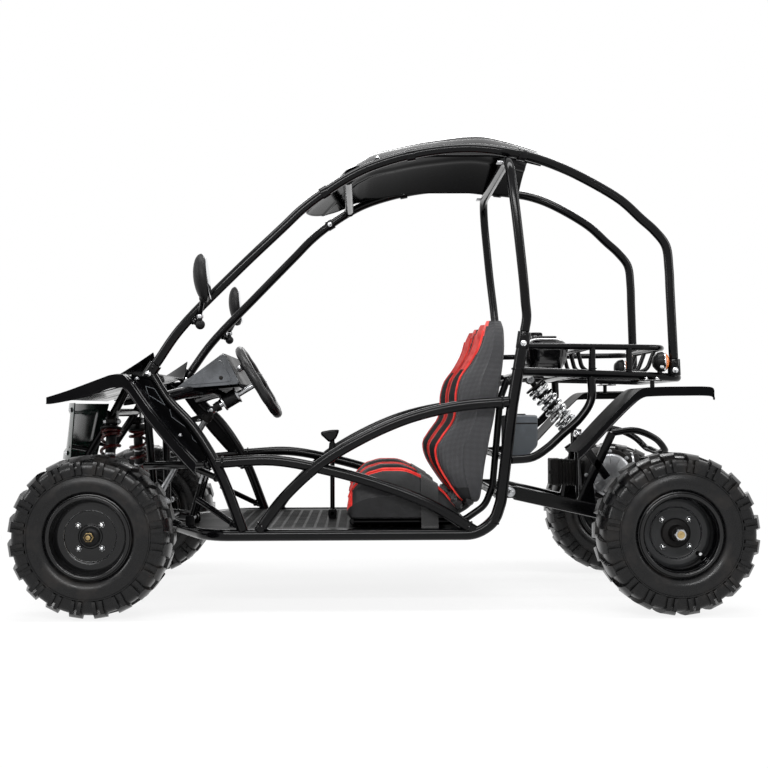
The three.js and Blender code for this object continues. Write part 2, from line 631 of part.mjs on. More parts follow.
function frontFrame() {
  const pieces = [];
  const frontTop = place(frontHoopShares.at(-1));
  const rearTop = place(rearHoopShares.at(-1));
  frontTop.z = cowlHeight(frontTop.x) - sheetThickness - tubing.front * 1.05 - gap;
  rearTop.z = cowlHeight(rearTop.x) - sheetThickness - tubing.front * 1.05 - gap;
  for (const [, side] of sides) {
    const front = route(frontHoopShares, side);
    front[front.length - 1].z = frontTop.z;
    const rear = route(rearHoopShares, side);
    rear[rear.length - 1].z = rearTop.z;
    pieces.push(tube(front, tubing.front), tube(rear, tubing.front));
    pieces.push(rod(front.at(-1), rear.at(-1), tubing.front));
    pieces.push(tube(route(cowlStayShares, side), tubing.rail));
    pieces.push(tube(route(noseStayShares, side), tubing.slat));
    const eye = frontEye.top(side);
    const boltHalf = frontShock.eyeLength / 2 + gap + arm.ear / 2;
    const root = eye.y - side * tubing.front * 2;
    for (const end of [-1, 1]) {
      const middle = V(eye.x + end * boltHalf, (root + eye.y + side * frontShock.eye) / 2, eye.z + frontShock.eye);
      const size = V(arm.ear, Math.abs(eye.y - root) + frontShock.eye, 3.6 * frontShock.eye);
      pieces.push(box(middle, size));
    }
    pieces.push(pinAt(eye, along, boltHalf, frontShock.bolt));
  }
  const shockPoint = atHeight(route(frontHoopShares), Z(0.425));
  const rearFoot = place(rearHoopShares[0]);
  for (const end of [shockPoint, frontTop, rearTop]) pieces.push(crossRod(end, end.y, tubing.front));
  pieces.push(crossRod(rearFoot, rearFoot.y, tubing.rail));
  const dash = route(dashHoopShares);
  pieces.push(tube([...dash, ...mirrored(dash.slice(0, -1).reverse())], tubing.dash));
  const dashPoint = between(place(dashHoopShares[2], -1), place(dashHoopShares[1], -1), 0.05);
  const bearingStart = shifted(columnBearing, columnLine, -shaft.bearingLength / 2);
  pieces.push(rod(dashPoint, columnBearing, tubing.seat));
  pieces.push(disc(bearingStart, columnLine, shaft.bearing, shaft.bearingLength));
  pieces.push(crossRod(rackLine, rack.length / 2, rack.housing, tubeSides));
  pieces.push(disc(pinion, pinionLine, shaft.joint, shaft.jointLength));
  const tools = [
    pinAt(columnBearing, columnLine, shaft.bearingLength, boreOf(shaft.radius)),
    crossRod(rackLine, rack.length, boreOf(rack.bar), tubeSides),
    rod(shifted(pinion, pinionLine, rack.bar - overrun), columnJoint, boreOf(shaft.radius), tubeSides),
    downTube(-1, gap),
    downTube(1, gap),
    floorRail(-1, gap),
    floorRail(1, gap),
  ];
  return cut(joined(pieces), tools);
}

// Rear frame: lower rack rails, luggage rack, curved braces, cross tubes, signal stalks

const rearEye = { top: V(X(0.29), 0, Z(0.5)), foot: V(X(0.38), 0, Z(0.371)) };
function rearFrame() {
  const pieces = [];
  const lower = route(lowerRackShares);
  const upper = route(upperRackShares);
  const loopOf = (half, radius) => tube([...half, ...mirrored([...half].reverse())], radius);
  pieces.push(loopOf(lower, tubing.rack), loopOf(upper, tubing.rail));
  for (const [, side] of sides) {
    pieces.push(curvedBrace(side));
    for (const share of rackPostShares) {
      const foot = atStation(lower, X(share));
      const head = atStation(upper, X(share));
      pieces.push(rod(V(foot.x, side * foot.y, foot.z), V(head.x, side * head.y, head.z), tubing.rail));
    }
    pieces.push(socket(place(roofRailShares.at(-1), side), place(roofRailShares.at(-2), side)));
    const lamp = V(X(0.504), side * Y(0.6), Z(0.534));
    const root = atStation(lower, lamp.x);
    pieces.push(rod(V(root.x, side * root.y, root.z), lamp, signal.stalk));
    pieces.push(ball(lamp, signal.radius, coarseSides));
  }
  for (const share of slatAcrossShares) {
    pieces.push(tube(rackSlatShares.map(([x, z]) => V(X(x), Y(share), Z(z))), tubing.slat));
  }
  const slatEnd = V(X(rackSlatShares.at(-1)[0]), 0, Z(upperRackShares[0][2]));
  pieces.push(crossRod(slatEnd, atStation(upper, slatEnd.x).y, tubing.rail));
  const crosses = rearCrossShares.map((share) => atStation(lower, X(share)));
  for (const end of crosses) pieces.push(crossRod(end, end.y, tubing.rack));
  const boltHalf = rearShock.eyeLength / 2 + gap + arm.ear / 2;
  for (const end of [-1, 1]) {
    const root = V(crosses[0].x, end * boltHalf, crosses[0].z);
    const tip = V(rearEye.top.x + rearShock.eye / 2, root.y, rearEye.top.z);
    pieces.push(bar(root, tip, arm.ear, 1.6 * rearShock.eye));
  }
  pieces.push(pinAt(rearEye.top, across, boltHalf, rearShock.bolt));
  const tools = [
    floorRail(-1, gap),
    floorRail(1, gap),
    crossRod(lowCross, halfTrack, tubing.seat + gap),
    hoop(gap),
    roofRail(-1, gap),
    roofRail(1, gap),
    ...sides.map(([, side]) => socket(place(hoopShares[0], side), place(hoopShares[1], side), gap)),
  ];
  return cut(joined(pieces), tools);
}

const mirrorFoot = (side) => V(X(-0.323), side * Y(0.845), Z(0.6135));

function roofFrame() {
  const end = place(roofCrossShares);
  const cross = crossRod(end, end.y, tubing.cage);
  const stubs = sides.flatMap(([, side]) => {
    const foot = mirrorFoot(side);
    const root = atStation(route(roofRailShares, side), foot.x - 2 * mirror.ball);
    const stop = shifted(foot, toward(foot, root), mirror.ball + gap);
    return [rod(root, stop, mirror.stem + sheetThickness)];
  });
  return cut(joined([roofRail(-1), roofRail(1), cross, ...stubs]), [hoop(gap)]);
}

// Roof visor: peaked at the front of its middle, bowed over the rails

const visorShares = {
  crown: [[-0.1455, 0.9025], [-0.043, 1.015], [0.0369, 1.049], [0.116, 1.068], [0.183, 1.0775], [0.2964, 1.044]],
  edge: [[-0.066, 0.9555], [-0.045, 0.967], [0.03, 0.983], [0.105, 0.991], [0.19, 0.991], [0.29, 0.977]],
  halfWidths: [0.66, 0.66, 0.66, 0.66, 0.66, 0.56],
};

function visor() {
  const columns = visorShares.crown.length - 1;
  const point = (u, v) => {
    const row = Math.round(u * columns);
    const spread = Math.abs(2 * v - 1);
    const [cx, cz] = visorShares.crown[row];
    const [ex, ez] = visorShares.edge[row];
    const wide = visorShares.halfWidths[row];
    return V(X(cx + (ex - cx) * spread ** 1.5), (2 * v - 1) * Y(wide), Z(cz + (ez - cz) * spread ** 2));
  };
  const end = place(roofCrossShares);
  const cross = crossRod(end, end.y, tubing.cage + gap);
  const tools = [roofRail(-1, gap), roofRail(1, gap), hoop(gap), cross];
  return cut(sheet(point, columns, 6, V(0, 0, -sheetThickness)), tools);
}

// Body panels

function frontCowl() {
  const lengthShares = [0, 0.3, 1];
  const widthShares = [0, 0.14, 0.5, 0.86, 1];
  const earRise = Z(0.045);
  const point = (u, v) => {
    const length = lengthShares[Math.round(u * 2)];
    const width = widthShares[Math.round(v * 4)];
    const x = cowl.front + length * (cowl.rear - cowl.front);
    const corner = length === 1 && (width === 0 || width === 1);
    return V(x, (2 * width - 1) * cowl.halfWidth, cowlHeight(x) + (corner ? earRise : 0));
  };
  const tools = sides.flatMap(([, side]) => [
    roofRail(side, gap),
    downTube(side, gap),
    socket(place(roofRailShares[0], side), place(roofRailShares[1], side), gap),
  ]);
  return cut(sheet(point, 2, 4, V(0, 0, -sheetThickness)), tools);
}

function noseCover() {
  const noseShares = { top: 0.447, bottom: 0.318, halfWidth: 0.53, narrow: 0.75 };
  const point = (u, v) => {
    const spread = 2 * v - 1;
    const width = Y(noseShares.halfWidth) * (1 - (1 - noseShares.narrow) * u);
    const x = noseX.top + (noseX.bottom - noseX.top) * u + noseX.sweep * spread ** 2;
    return V(x, spread * width, Z(noseShares.top + (noseShares.bottom - noseShares.top) * u));
  };
  const stays = sides.map(([, side]) => grown(route(noseStayShares, side), tubing.slat, gap));
  return cut(sheet(point, 2, 6, V(sheetThickness, 0, 0)), stays);
}

const fenderLineShares = [
  [-0.5815, 0.452], [-0.53, 0.472], [-0.478, 0.4955], [-0.46, 0.503], [-0.446, 0.5035], [-0.433, 0.495],
  [-0.4, 0.438], [-0.36, 0.377], [-0.319, 0.322],
];
const fenderPanelShares = [
  [-0.45, 0.497], [-0.433, 0.49], [-0.4, 0.433], [-0.36, 0.372], [-0.319, 0.317], [-0.31, 0.312],
  [-0.3, 0.323], [-0.336, 0.391], [-0.385, 0.456], [-0.405, 0.495], [-0.425, 0.503],
];

function frontFender(side) {
  const line = fenderLineShares.map(([x, z]) => [X(x), Z(z)]);
  const [inner, outer] = [Y(0.805), Y(1.18)];
  const lipShares = { tip: 0.012, middle: 0.028 };
  const lip = [
    ...line,
    ...line.map(([x, z], i) => [x, z - (i === 0 ? Z(lipShares.tip) : Z(lipShares.middle))]).reverse(),
  ];
  const lipThick = sheetThickness;
  const span = (a, b) => (side > 0 ? [a, b] : [-b, -a]);
  const top = strip(line, sheetThickness, ...span(inner, outer));
  const rimLip = slab(lip, ...span(outer - lipThick, outer));
  const panelOutline = fenderPanelShares.map(([x, z]) => [X(x), Z(z)]);
  const panel = slab(panelOutline, ...span(inner, inner + lipThick));
  return cut(joined([top, rimLip, panel]), [
    downTube(side, gap),
    grown(route(sillArcShares, side), tubing.side, gap),
    grown(route(sideArmShares, side), tubing.front, gap),
    socket(place(roofRailShares[0], side), place(roofRailShares[1], side), gap),
    roofRail(side, gap),
  ]);
}

const rearFenderShares = [
  [0.325, 0.342], [0.337, 0.354], [0.38, 0.41], [0.415, 0.4525], [0.435, 0.471], [0.455, 0.4745],
  [0.5, 0.4755], [0.55, 0.4745], [0.556, 0.465],
];

function rearFender(side) {
  const line = rearFenderShares.map(([x, z]) => [X(x), Z(z)]);
  const [inner, outer] = [Y(0.72), Y(1.17)];
  const lipDrop = Z(0.02);
  const lip = [...line, ...line.map(([x, z]) => [x, z - lipDrop]).reverse()];
  const span = (a, b) => (side > 0 ? [a, b] : [-b, -a]);
  const stayShares = { station: 0.48, reach: 0.72, drop: 0.75, foot: 0.47 };
  const rail = atStation(rackRail, X(stayShares.station));
  const reach = Y(stayShares.reach);
  const stay = box(
    V(rail.x, side * ((rail.y + reach) / 2 + tubing.rack), rail.z - tubing.rack - sheetThickness * 0.9),
    V(4 * tubing.rack, reach - rail.y + 4 * tubing.rack, sheetThickness),
  );
  const dropTop = V(rail.x, side * Y(stayShares.drop), rail.z - tubing.rack);
  const dropFoot = V(rail.x, dropTop.y, Z(stayShares.foot));
  return cut(joined([
    strip(line, sheetThickness, ...span(inner, outer)),
    slab(lip, ...span(outer - sheetThickness, outer)),
    stay,
    rod(dropTop, dropFoot, tubing.slat),
  ]), [curvedBrace(side, gap)]);
}

const dashShares = { apex: [-0.379, 0.4765], top: [-0.289, 0.558], foot: [-0.2595, 0.4875], halfWidth: 0.6 };
const dashTop = V(X(dashShares.top[0]), 0, Z(dashShares.top[1]));
const dashFoot = V(X(dashShares.foot[0]), 0, Z(dashShares.foot[1]));
const dashFace = V().crossVectors(across, toward(dashTop, dashFoot)).negate();

function dashHousing() {
  const [apex, top, foot] = [dashShares.apex, dashShares.top, dashShares.foot].map(([x, z]) => [X(x), Z(z)]);
  const wide = Y(dashShares.halfWidth);
  const wall = sheetThickness;
  const outer = slab([apex, top, foot], -wide, wide);
  const steepShare = 2.4;
  const deep = steepShare * wall;
  const inside = slab([
    [apex[0] + deep, apex[1] - wall], [top[0] - wall / steepShare, top[1] - deep],
    [foot[0] - wall, foot[1] - wall], [foot[0] - wall, foot[1] - deep],
    [apex[0] + deep, apex[1] - 2 * deep],
  ], wall - wide, wide - wall);
  const dash = route(dashHoopShares);
  const hoopCut = grown([...dash, ...mirrored(dash.slice(0, -1).reverse())], tubing.dash, gap);
  return cut(outer, [
    inside,
    hoopCut,
    rod(wheelHub, columnJoint, shaft.radius + shaft.bearing),
    disc(shifted(keySpot, dashFace, -key.length), dashFace, boreOf(key.radius, wheelSides), 2 * key.length, wheelSides),
    disc(shifted(buttonSpot, dashFace, -button.stemLength), dashFace, button.stem + running, 2 * button.stemLength),
  ]);
}

const keySpot = between(dashTop, dashFoot, 0.45).add(V(0, Y(-0.12), 0));
const buttonSpot = between(dashTop, dashFoot, 0.4).add(V(0, Y(0.12), 0));

function ignitionKey() {
  const start = shifted(keySpot, dashFace, -key.length / 2);
  const turn = new THREE.Quaternion().setFromUnitVectors(up, dashFace);
  const bowMiddle = shifted(start, dashFace, key.length + key.bowHeight / 2 - weldTolerance);
  return joined([
    disc(start, dashFace, key.radius, key.length, wheelSides),
    box(bowMiddle, V(key.bow, key.bowThick, key.bowHeight), turn),
  ]);
}

function killButton() {
  const stemStart = shifted(buttonSpot, dashFace, -button.stemLength / 2);
  const capStart = shifted(buttonSpot, dashFace, button.travel + gap);
  return joined([
    disc(stemStart, dashFace, button.stem, button.stemLength),
    disc(capStart, dashFace, button.radius, button.height),
  ]);
}

// Seats: lofted cushions and backs with side bolsters and sewn channels

const cushionShares = [
  [-0.066, 0.203, 0.222, 0.218, 0.86], [-0.058, 0.1955, 0.256, 0.246, 0.96], [-0.034, 0.1945, 0.289, 0.272, 1],
  [-0.016, 0.1945, 0.298, 0.267, 1], [0.002, 0.1945, 0.303, 0.275, 1], [0.02, 0.1945, 0.303, 0.265, 1],
  [0.038, 0.1945, 0.301, 0.268, 1], [0.056, 0.1945, 0.292, 0.255, 1], [0.08, 0.1945, 0.276, 0.252, 1],
  [0.104, 0.1955, 0.252, 0.235, 0.985], [0.12, 0.197, 0.228, 0.22, 0.96], [0.132, 0.2, 0.212, 0.21, 0.88],
];
const backShares = [
  [0.228, 0.15, 0.164, 0.15, 0.82], [0.24, 0.133, 0.17, 0.14, 0.94], [0.29, 0.104, 0.1755, 0.126, 1],
  [0.318, 0.093, 0.179, 0.136, 1], [0.343, 0.09, 0.183, 0.139, 1], [0.374, 0.104, 0.188, 0.155, 0.99],
  [0.405, 0.122, 0.194, 0.155, 0.97], [0.436, 0.127, 0.199, 0.169, 0.94], [0.466, 0.128, 0.204, 0.169, 0.92],
  [0.5, 0.136, 0.209, 0.182, 0.88], [0.532, 0.155, 0.213, 0.184, 0.84], [0.57, 0.172, 0.216, 0.193, 0.8],
  [0.605, 0.18, 0.2155, 0.195, 0.73], [0.625, 0.187, 0.212, 0.199, 0.6],
];
// Around a section: how far across, and how much of the bolster's height over the centre's
const cushionRoundShares = [[1, 0.45], [0.95, 0.88], [0.82, 1], [0.62, 0.3], [0.34, 0.04], [0, 0]];

function seatCushion(side) {
  const rings = cushionShares.map(([x, low, bolster, middle, wide]) => {
    const across = (share) => side * seat.centre + share * wide * seat.halfWidth;
    const [bottom, edge, centre] = [Math.max(Z(low), seat.floor), Z(bolster), Z(middle)];
    const half = cushionRoundShares.map(([spread, lift]) => {
      const height = spread > 0.85 ? bottom + (edge - bottom) * lift : centre + (edge - centre) * lift;
      return [spread, height];
    });
    const top = [...half, ...half.slice(0, -1).reverse().map(([spread, height]) => [-spread, height])];
    const under = [[-0.97, bottom], [0.97, bottom]];
    return [...top, ...under].map(([spread, height]) => V(X(x), across(spread), height));
  });
  return loft(rings);
}

function seatBack(side) {
  const rings = backShares.map(([z, bolster, rear, middle, wide]) => {
    const across = (share) => side * seat.centre + share * wide * seat.halfWidth;
    const half = cushionRoundShares.map(([spread, lift]) => {
      const depth = spread > 0.85 ? rear + (bolster - rear) * lift : middle + (bolster - middle) * lift;
      return [spread, X(depth)];
    });
    const face = [...half, ...half.slice(0, -1).reverse().map(([spread, depth]) => [-spread, depth])];
    const behind = [[-0.93, X(rear)], [0.93, X(rear)]];
    return [...face, ...behind].map(([spread, depth]) => V(depth, across(spread), Z(z)));
  });
  return loft(rings);
}

const strapShares = [
  [0.86, 0.1763], [0.83, 0.182], [0.819, 0.2], [0.819, 0.27], [0.79, 0.291], [0.68, 0.291], [0.43, 0.274],
  [0.18, 0.293], [0.06, 0.293], [0.032, 0.27],
];
const strapSlopeShare = 0.6;

// One lap strap over both seats, anchored at the floor on both sides and between the seats
function seatBelts() {
  const half = strapShares.map(([y, z]) => [Y(y), Z(z)]);
  const line = [...half, ...half.slice().reverse().map(([y, z]) => [-y, z])];
  const lower = line.map(([y, z], i) => {
    const before = line[Math.max(i - 1, 0)];
    const after = line[Math.min(i + 1, line.length - 1)];
    const run = new THREE.Vector2(after[0] - before[0], after[1] - before[1]).normalize();
    return [y - run.y * belt.thick, z + run.x * belt.thick];
  });
  const outline = [...line, ...lower.reverse()];
  const shape = new THREE.Shape(outline.map(([y, z]) => new THREE.Vector2(y, z)));
  const strap = new THREE.ExtrudeGeometry(shape, { depth: belt.width, bevelEnabled: false });
  const turn = new THREE.Matrix4().makeBasis(across, up, along);
  strap.applyMatrix4(turn);
  const corners = strap.getAttribute('position');
  const foot = Z(strapShares[0][1]);
  for (let i = 0; i < corners.count; i += 1) {
    const rise = (corners.getZ(i) - foot) / (Z(strapShares[4][1]) - foot);
    corners.setZ(i, corners.getZ(i) - strapSlopeShare * corners.getX(i) * Math.max(rise, 0));
    corners.setX(i, corners.getX(i) + X(0.065));
  }
  return solid(strap);
}

// Steering: wheel with its shaft, lower shaft, rack bar, tie rods

const steeringArmEnd = (side) => V(rackLine.x, side * Y(0.716), armPivotHeight);

function steeringWheel() {
  const ringTurn = frameOf(wheelHub, columnLine);
  const ring = solid(new THREE.TorusGeometry(wheelRim.radius, wheelRim.tube, coarseSides, 12), ringTurn);
  const pieces = [ring];
  const sideways = across.clone();
  const rise = V().crossVectors(columnLine, sideways);
  for (const angle of [90, 210, 330]) {
    const turn = THREE.MathUtils.degToRad(angle);
    const direction = sideways.clone().multiplyScalar(Math.cos(turn));
    direction.addScaledVector(rise, -Math.sin(turn));
    pieces.push(rod(wheelHub, shifted(wheelHub, direction, wheelRim.radius), wheelRim.spoke));
  }
  const hubStart = shifted(wheelHub, columnLine, -wheelRim.hubLength / 2);
  pieces.push(disc(hubStart, columnLine, wheelRim.hub, wheelRim.hubLength));
  pieces.push(rod(wheelHub, columnJoint, shaft.radius, tubeSides));
  pieces.push(ball(columnJoint, shaft.joint, coarseSides));
  return joined(pieces);
}

function lowerShaft() {
  const head = shifted(columnJoint, pinionLine, -shaft.joint - gap);
  const foot = shifted(pinion, pinionLine, rack.bar - overrun / 2 + gap);
  return joined([
    rod(head, foot, shaft.radius, tubeSides),
    disc(head, pinionLine.clone().negate(), shaft.joint, shaft.jointLength),
  ]);
}

function steeringRack() {
  const half = rack.length / 2 + rack.travel;
  const stop = (end) => disc(
    V(rackLine.x, end * (half - rack.stop), rackLine.z), across.clone().multiplyScalar(end),
    rack.ball + overrun, rack.stop);
  return joined([crossRod(rackLine, half, rack.bar, tubeSides), stop(-1), stop(1)]);
}

const ballNoseShares = [[0, 0], [0.5, 0.134], [0.866, 0.5], [1, 1], [0, 1]];

function tieRod(side) {
  const start = V(rackLine.x, side * (rack.length / 2 + rack.travel + rack.play), rackLine.z);
  const end = steeringArmEnd(side);
  const stop = shifted(end, across, -side * (knuckle.steering + running + rodPlay));
  return joined([
    rod(shifted(start, across, side * rack.ball / 2), stop, tubing.slat),
    turned(sized(ballNoseShares, rack.ball, rack.ball), start, across.clone().multiplyScalar(side)),
  ]);
}

// Front suspension

const kingPin = (side) => V(frontAxle, side * Y(0.745), axleHeight);

function frontArm(side) {
  const pin = kingPin(side);
  const yokeRoot = V(pin.x, pin.y - side * (knuckle.sleeve + arm.tube + arm.yoke), pin.z);
  const reach = Math.abs(pin.y - yokeRoot.y) + arm.tube + 2 * arm.pin;
  const middle = V(pin.x, yokeRoot.y + side * (reach / 2 - arm.tube), pin.z);
  const notch = V(middle.x, middle.y + side * 2 * arm.tube, middle.z);
  const yoke = cut(box(middle, V(2 * arm.tube, reach, 2 * pinHalf + 2 * arm.yoke)),
    [box(notch, V(4 * arm.tube, reach, 2 * pinHalf))]);
  const pieces = [yoke, pinAt(pin, up, pinHalf + arm.yoke / 2, arm.pin)];
  const [sleeveStart, sleeveEnd] = armPivots.map((x, i) => V(
    x + ((2 * i - 1) * arm.sleeveLength) / 2, side * armPivotSpread, armPivotHeight));
  const inner = [rod(
    shifted(sleeveStart, along, -overrun), shifted(sleeveEnd, along, overrun), boreOf(arm.bolt), tubeSides)];
  pieces.push(rod(sleeveStart, sleeveEnd, arm.sleeve, tubeSides));
  for (const x of armPivots) {
    pieces.push(rod(V(x, side * armPivotSpread, armPivotHeight), yokeRoot, arm.tube));
  }
  const eye = frontEye.foot(side);
  const armAt = between(V(frontAxle, side * armPivotSpread, armPivotHeight), yokeRoot,
    (Math.abs(eye.y) - armPivotSpread) / (Math.abs(yokeRoot.y) - armPivotSpread));
  const boltHalf = frontShock.eyeLength / 2 + gap + arm.ear / 2;
  for (const end of [-1, 1]) {
    pieces.push(box(V(eye.x + end * boltHalf, eye.y, (eye.z + armAt.z) / 2),
      V(arm.ear, 1.2 * frontShock.eye, Math.abs(eye.z - armAt.z) + 1.6 * frontShock.bolt)));
  }
  pieces.push(pinAt(eye, along, boltHalf, frontShock.bolt));
  return cut(joined(pieces), inner);
}

function frontKnuckle(side) {
  const pin = kingPin(side);
  const half = pinHalf - gap;
  const outward = across.clone().multiplyScalar(side);
  const hubEnd = side * (halfTrack + rim.discOffset + rim.hubLength / 2);
  const tip = V(pin.x, hubEnd + side * (axle.nutLength + gap), pin.z);
  const armEnd = steeringArmEnd(side);
  const pieces = [
    pinAt(pin, up, half, knuckle.sleeve),
    rod(pin, tip, knuckle.spindle, tubeSides),
    disc(V(pin.x, hubEnd + side * gap, pin.z), outward, axle.nut, axle.nutLength, 6),
    tube([
      shifted(pin, up, half / 2), V((pin.x + armEnd.x) / 2, (pin.y + armEnd.y) / 2, armEnd.z - overrun),
      shifted(armEnd, along, -knuckle.steering), shifted(armEnd, along, knuckle.steering),
    ], knuckle.steering),
  ];
  return cut(joined(pieces), [pinAt(pin, up, half + overrun, boreOf(arm.pin))]);
}

// Shock absorbers: upper body with its spring seat, and rod with its seat; the spring is one helix

function helix(from, to, size) {
  const direction = toward(from, to);
  const basis = frameOf(from, direction);
  const length = from.distanceTo(to);
  const lead = 2 * size.wire;
  const steps = size.curls * 8;
  const local = [V(size.spring, 0, 0)];
  for (let i = 0; i <= steps; i += 1) {
    const angle = (i / 8) * 2 * Math.PI;
    const height = lead + ((length - 2 * lead) * i) / steps;
    local.push(V(size.spring * Math.cos(angle), size.spring * Math.sin(angle), height));
  }
  local.push(V(local.at(-1).x, local.at(-1).y, length));
  let least = Infinity;
  for (let i = 0; i < local.length; i += 1) {
    for (let k = i + 6; k < local.length; k += 1) {
      least = Math.min(least, local[i].distanceTo(local[k]));
    }
  }
  return { points: local.map((point) => point.applyMatrix4(basis)), least: least - 2 * size.wire };
}

function shockParts(top, foot, line, size, hold = -gap) {
  const direction = toward(top, foot);
  const length = top.distanceTo(foot);
  const neck = 1.7 * size.eye;
  const bodyStart = shifted(top, direction, neck);
  const seatTop = shifted(top, direction, neck + springSeat);
  const seatFoot = shifted(foot, direction, -neck - springSeat);
  const bodyEnd = shifted(top, direction, length * 0.58);
  const wide = shifted(top, line, -size.eyeLength / 2);
  const low = shifted(foot, line, -size.eyeLength / 2);
  const eyeHalf = size.eyeLength / 2 + overrun;
  const body = cut(joined([
    disc(wide, line, size.eye, size.eyeLength),
    rod(top, bodyStart, size.rod * 1.16, tubeSides),
    rod(bodyStart, bodyEnd, size.body, tubeSides),
    disc(bodyStart, direction, size.seat, springSeat, seatSides),
  ]), [
    pinAt(top, line, eyeHalf, boreOf(size.bolt)),
    rod(seatTop, shifted(bodyEnd, direction, overrun), boreOf(size.rod), tubeSides),
  ]);
  const rodPiece = cut(joined([
    disc(low, line, size.eye, size.eyeLength),
    rod(foot, shifted(top, direction, length * 0.5), size.rod, tubeSides),
    disc(seatFoot, direction, size.seat, springSeat, seatSides),
  ]), [
    pinAt(foot, line, eyeHalf, boreOf(size.bolt) + shockPlay),
  ]);
  const coil = helix(shifted(seatTop, direction, gap), shifted(seatFoot, direction, hold), size);
  const spring = tube(coil.points, size.wire, 5);
  return { body, rodPiece, spring, least: coil.least };
}

// Wheels

// The tread is raised in blocks, left and right in turn, between columns of the carcass
function wheelTyre(centre, side) {
  const half = tyre.width / 2;
  const crown = tyre.radius - tyre.lugDepth;
  const pitch = (2 * Math.PI) / tyre.lugs;
  const block = 0.45 * pitch;
  const lean = 0.15 * pitch;
  const edge = [crown - tyre.drop, half - tyre.lip, 0];
  const rows = [
    [tyre.bead, -beadSeat.outer, 0], [edge[0], -edge[1], 0], [crown, -tyre.centre, lean],
    [crown, tyre.centre, lean], edge, [tyre.bead, beadSeat.outer, 0],
    [tyre.bead, beadSeat.inner, 0], [crown - tyre.wall, 0, 0], [tyre.bead, -beadSeat.inner, 0],
  ];
  const tops = [[tyre.radius - tyre.drop, half], [tyre.radius, tyre.centre + tyre.lip]];
  const corners = [];
  const faces = [];
  const spot = (radius, y, angle) => {
    const turned = V(radius * Math.sin(angle), side * y, radius * Math.cos(angle));
    corners.push(turned.add(centre));
    return corners.length - 1;
  };
  const rings = rows.map(([radius, y, shift], row) => {
    const ring = [];
    for (let k = 0; k < tyre.lugs; k += 1) {
      const fine = row > 0 && row < 5;
      const angles = fine ? [k * pitch + shift, k * pitch + block + shift] : [k * pitch + block / 2];
      ring.push(...angles.map((angle) => spot(radius, y, angle)));
    }
    return ring;
  });
  const at = (row, column) => rings[row % rows.length][column % rings[row % rows.length].length];
  const quad = (a, b, c, d) => faces.push(a, b, c, a, c, d);
  const cell = (row, column) => quad(
    at(row, column), at(row, column + 1), at(row + 1, column + 1), at(row + 1, column));
  for (let k = 0; k < tyre.lugs; k += 1) {
    const j = 2 * k;
    faces.push(at(0, k), at(1, j + 1), at(1, j));
    quad(at(0, k), at(0, k + 1), at(1, j + 2), at(1, j + 1));
    faces.push(at(5, k), at(4, j), at(4, j + 1));
    quad(at(4, j + 1), at(4, j + 2), at(5, k + 1), at(5, k));
    for (const row of [5, 6, 7, 8]) cell(row, k);
    cell(2, j);
    cell(2, j + 1);
    cell(1, j + 1);
    cell(3, j);
    for (const [row, column, end] of [[1, j, -1], [3, j + 1, 1]]) {
      const outer = end < 0 ? tops : [...tops].reverse();
      const [start, stop] = end < 0 ? [0, block] : [block, pitch];
      const raised = outer.map(([radius, y], step) => [start, stop].map(
        (angle) => spot(radius, end * y, k * pitch + angle + rows[row + step][2])));
      const base = [0, 1].map((step) => [at(row + step, column), at(row + step, column + 1)]);
      quad(raised[0][0], raised[0][1], raised[1][1], raised[1][0]);
      quad(base[0][1], base[1][1], raised[1][1], raised[0][1]);
      quad(base[1][0], base[0][0], raised[0][0], raised[1][0]);
      quad(base[0][0], base[0][1], raised[0][1], raised[0][0]);
      quad(base[1][1], base[1][0], raised[1][0], raised[1][1]);
    }
  }
  const geometry = new THREE.BufferGeometry().setFromPoints(corners);
  geometry.setIndex(faces);
  return solid(geometry);
}

function wheelRimPiece(centre, side, boreRadius) {
  const half = rim.width / 2;
  const offset = rim.discOffset;
  const lip = half + rim.wall;
  const inside = rim.barrel - rim.wall;
  const profile = [
    [boreRadius, offset - rim.hubLength / 2], [rim.hubRadius, offset - rim.hubLength / 2],
    [inside, offset - rim.wall], [inside, -lip], [rim.flange, rim.edge - lip], [rim.seat, -half],
    [rim.barrel, 0], [rim.seat, half], [rim.flange, lip - rim.edge], [inside, lip],
    [inside, offset + rim.wall], [rim.hubRadius, offset + rim.wall], [rim.hubRadius, offset + rim.hubLength / 2],
    [boreRadius, offset + rim.hubLength / 2],
  ];
  const outward = across.clone().multiplyScalar(side);
  return turned(profile, centre, outward, wheelSides);
}

// Swing arm with its shock tower, struts, rear guard and caliper bracket

const axleCentre = V(rearAxle, 0, axleHeight);

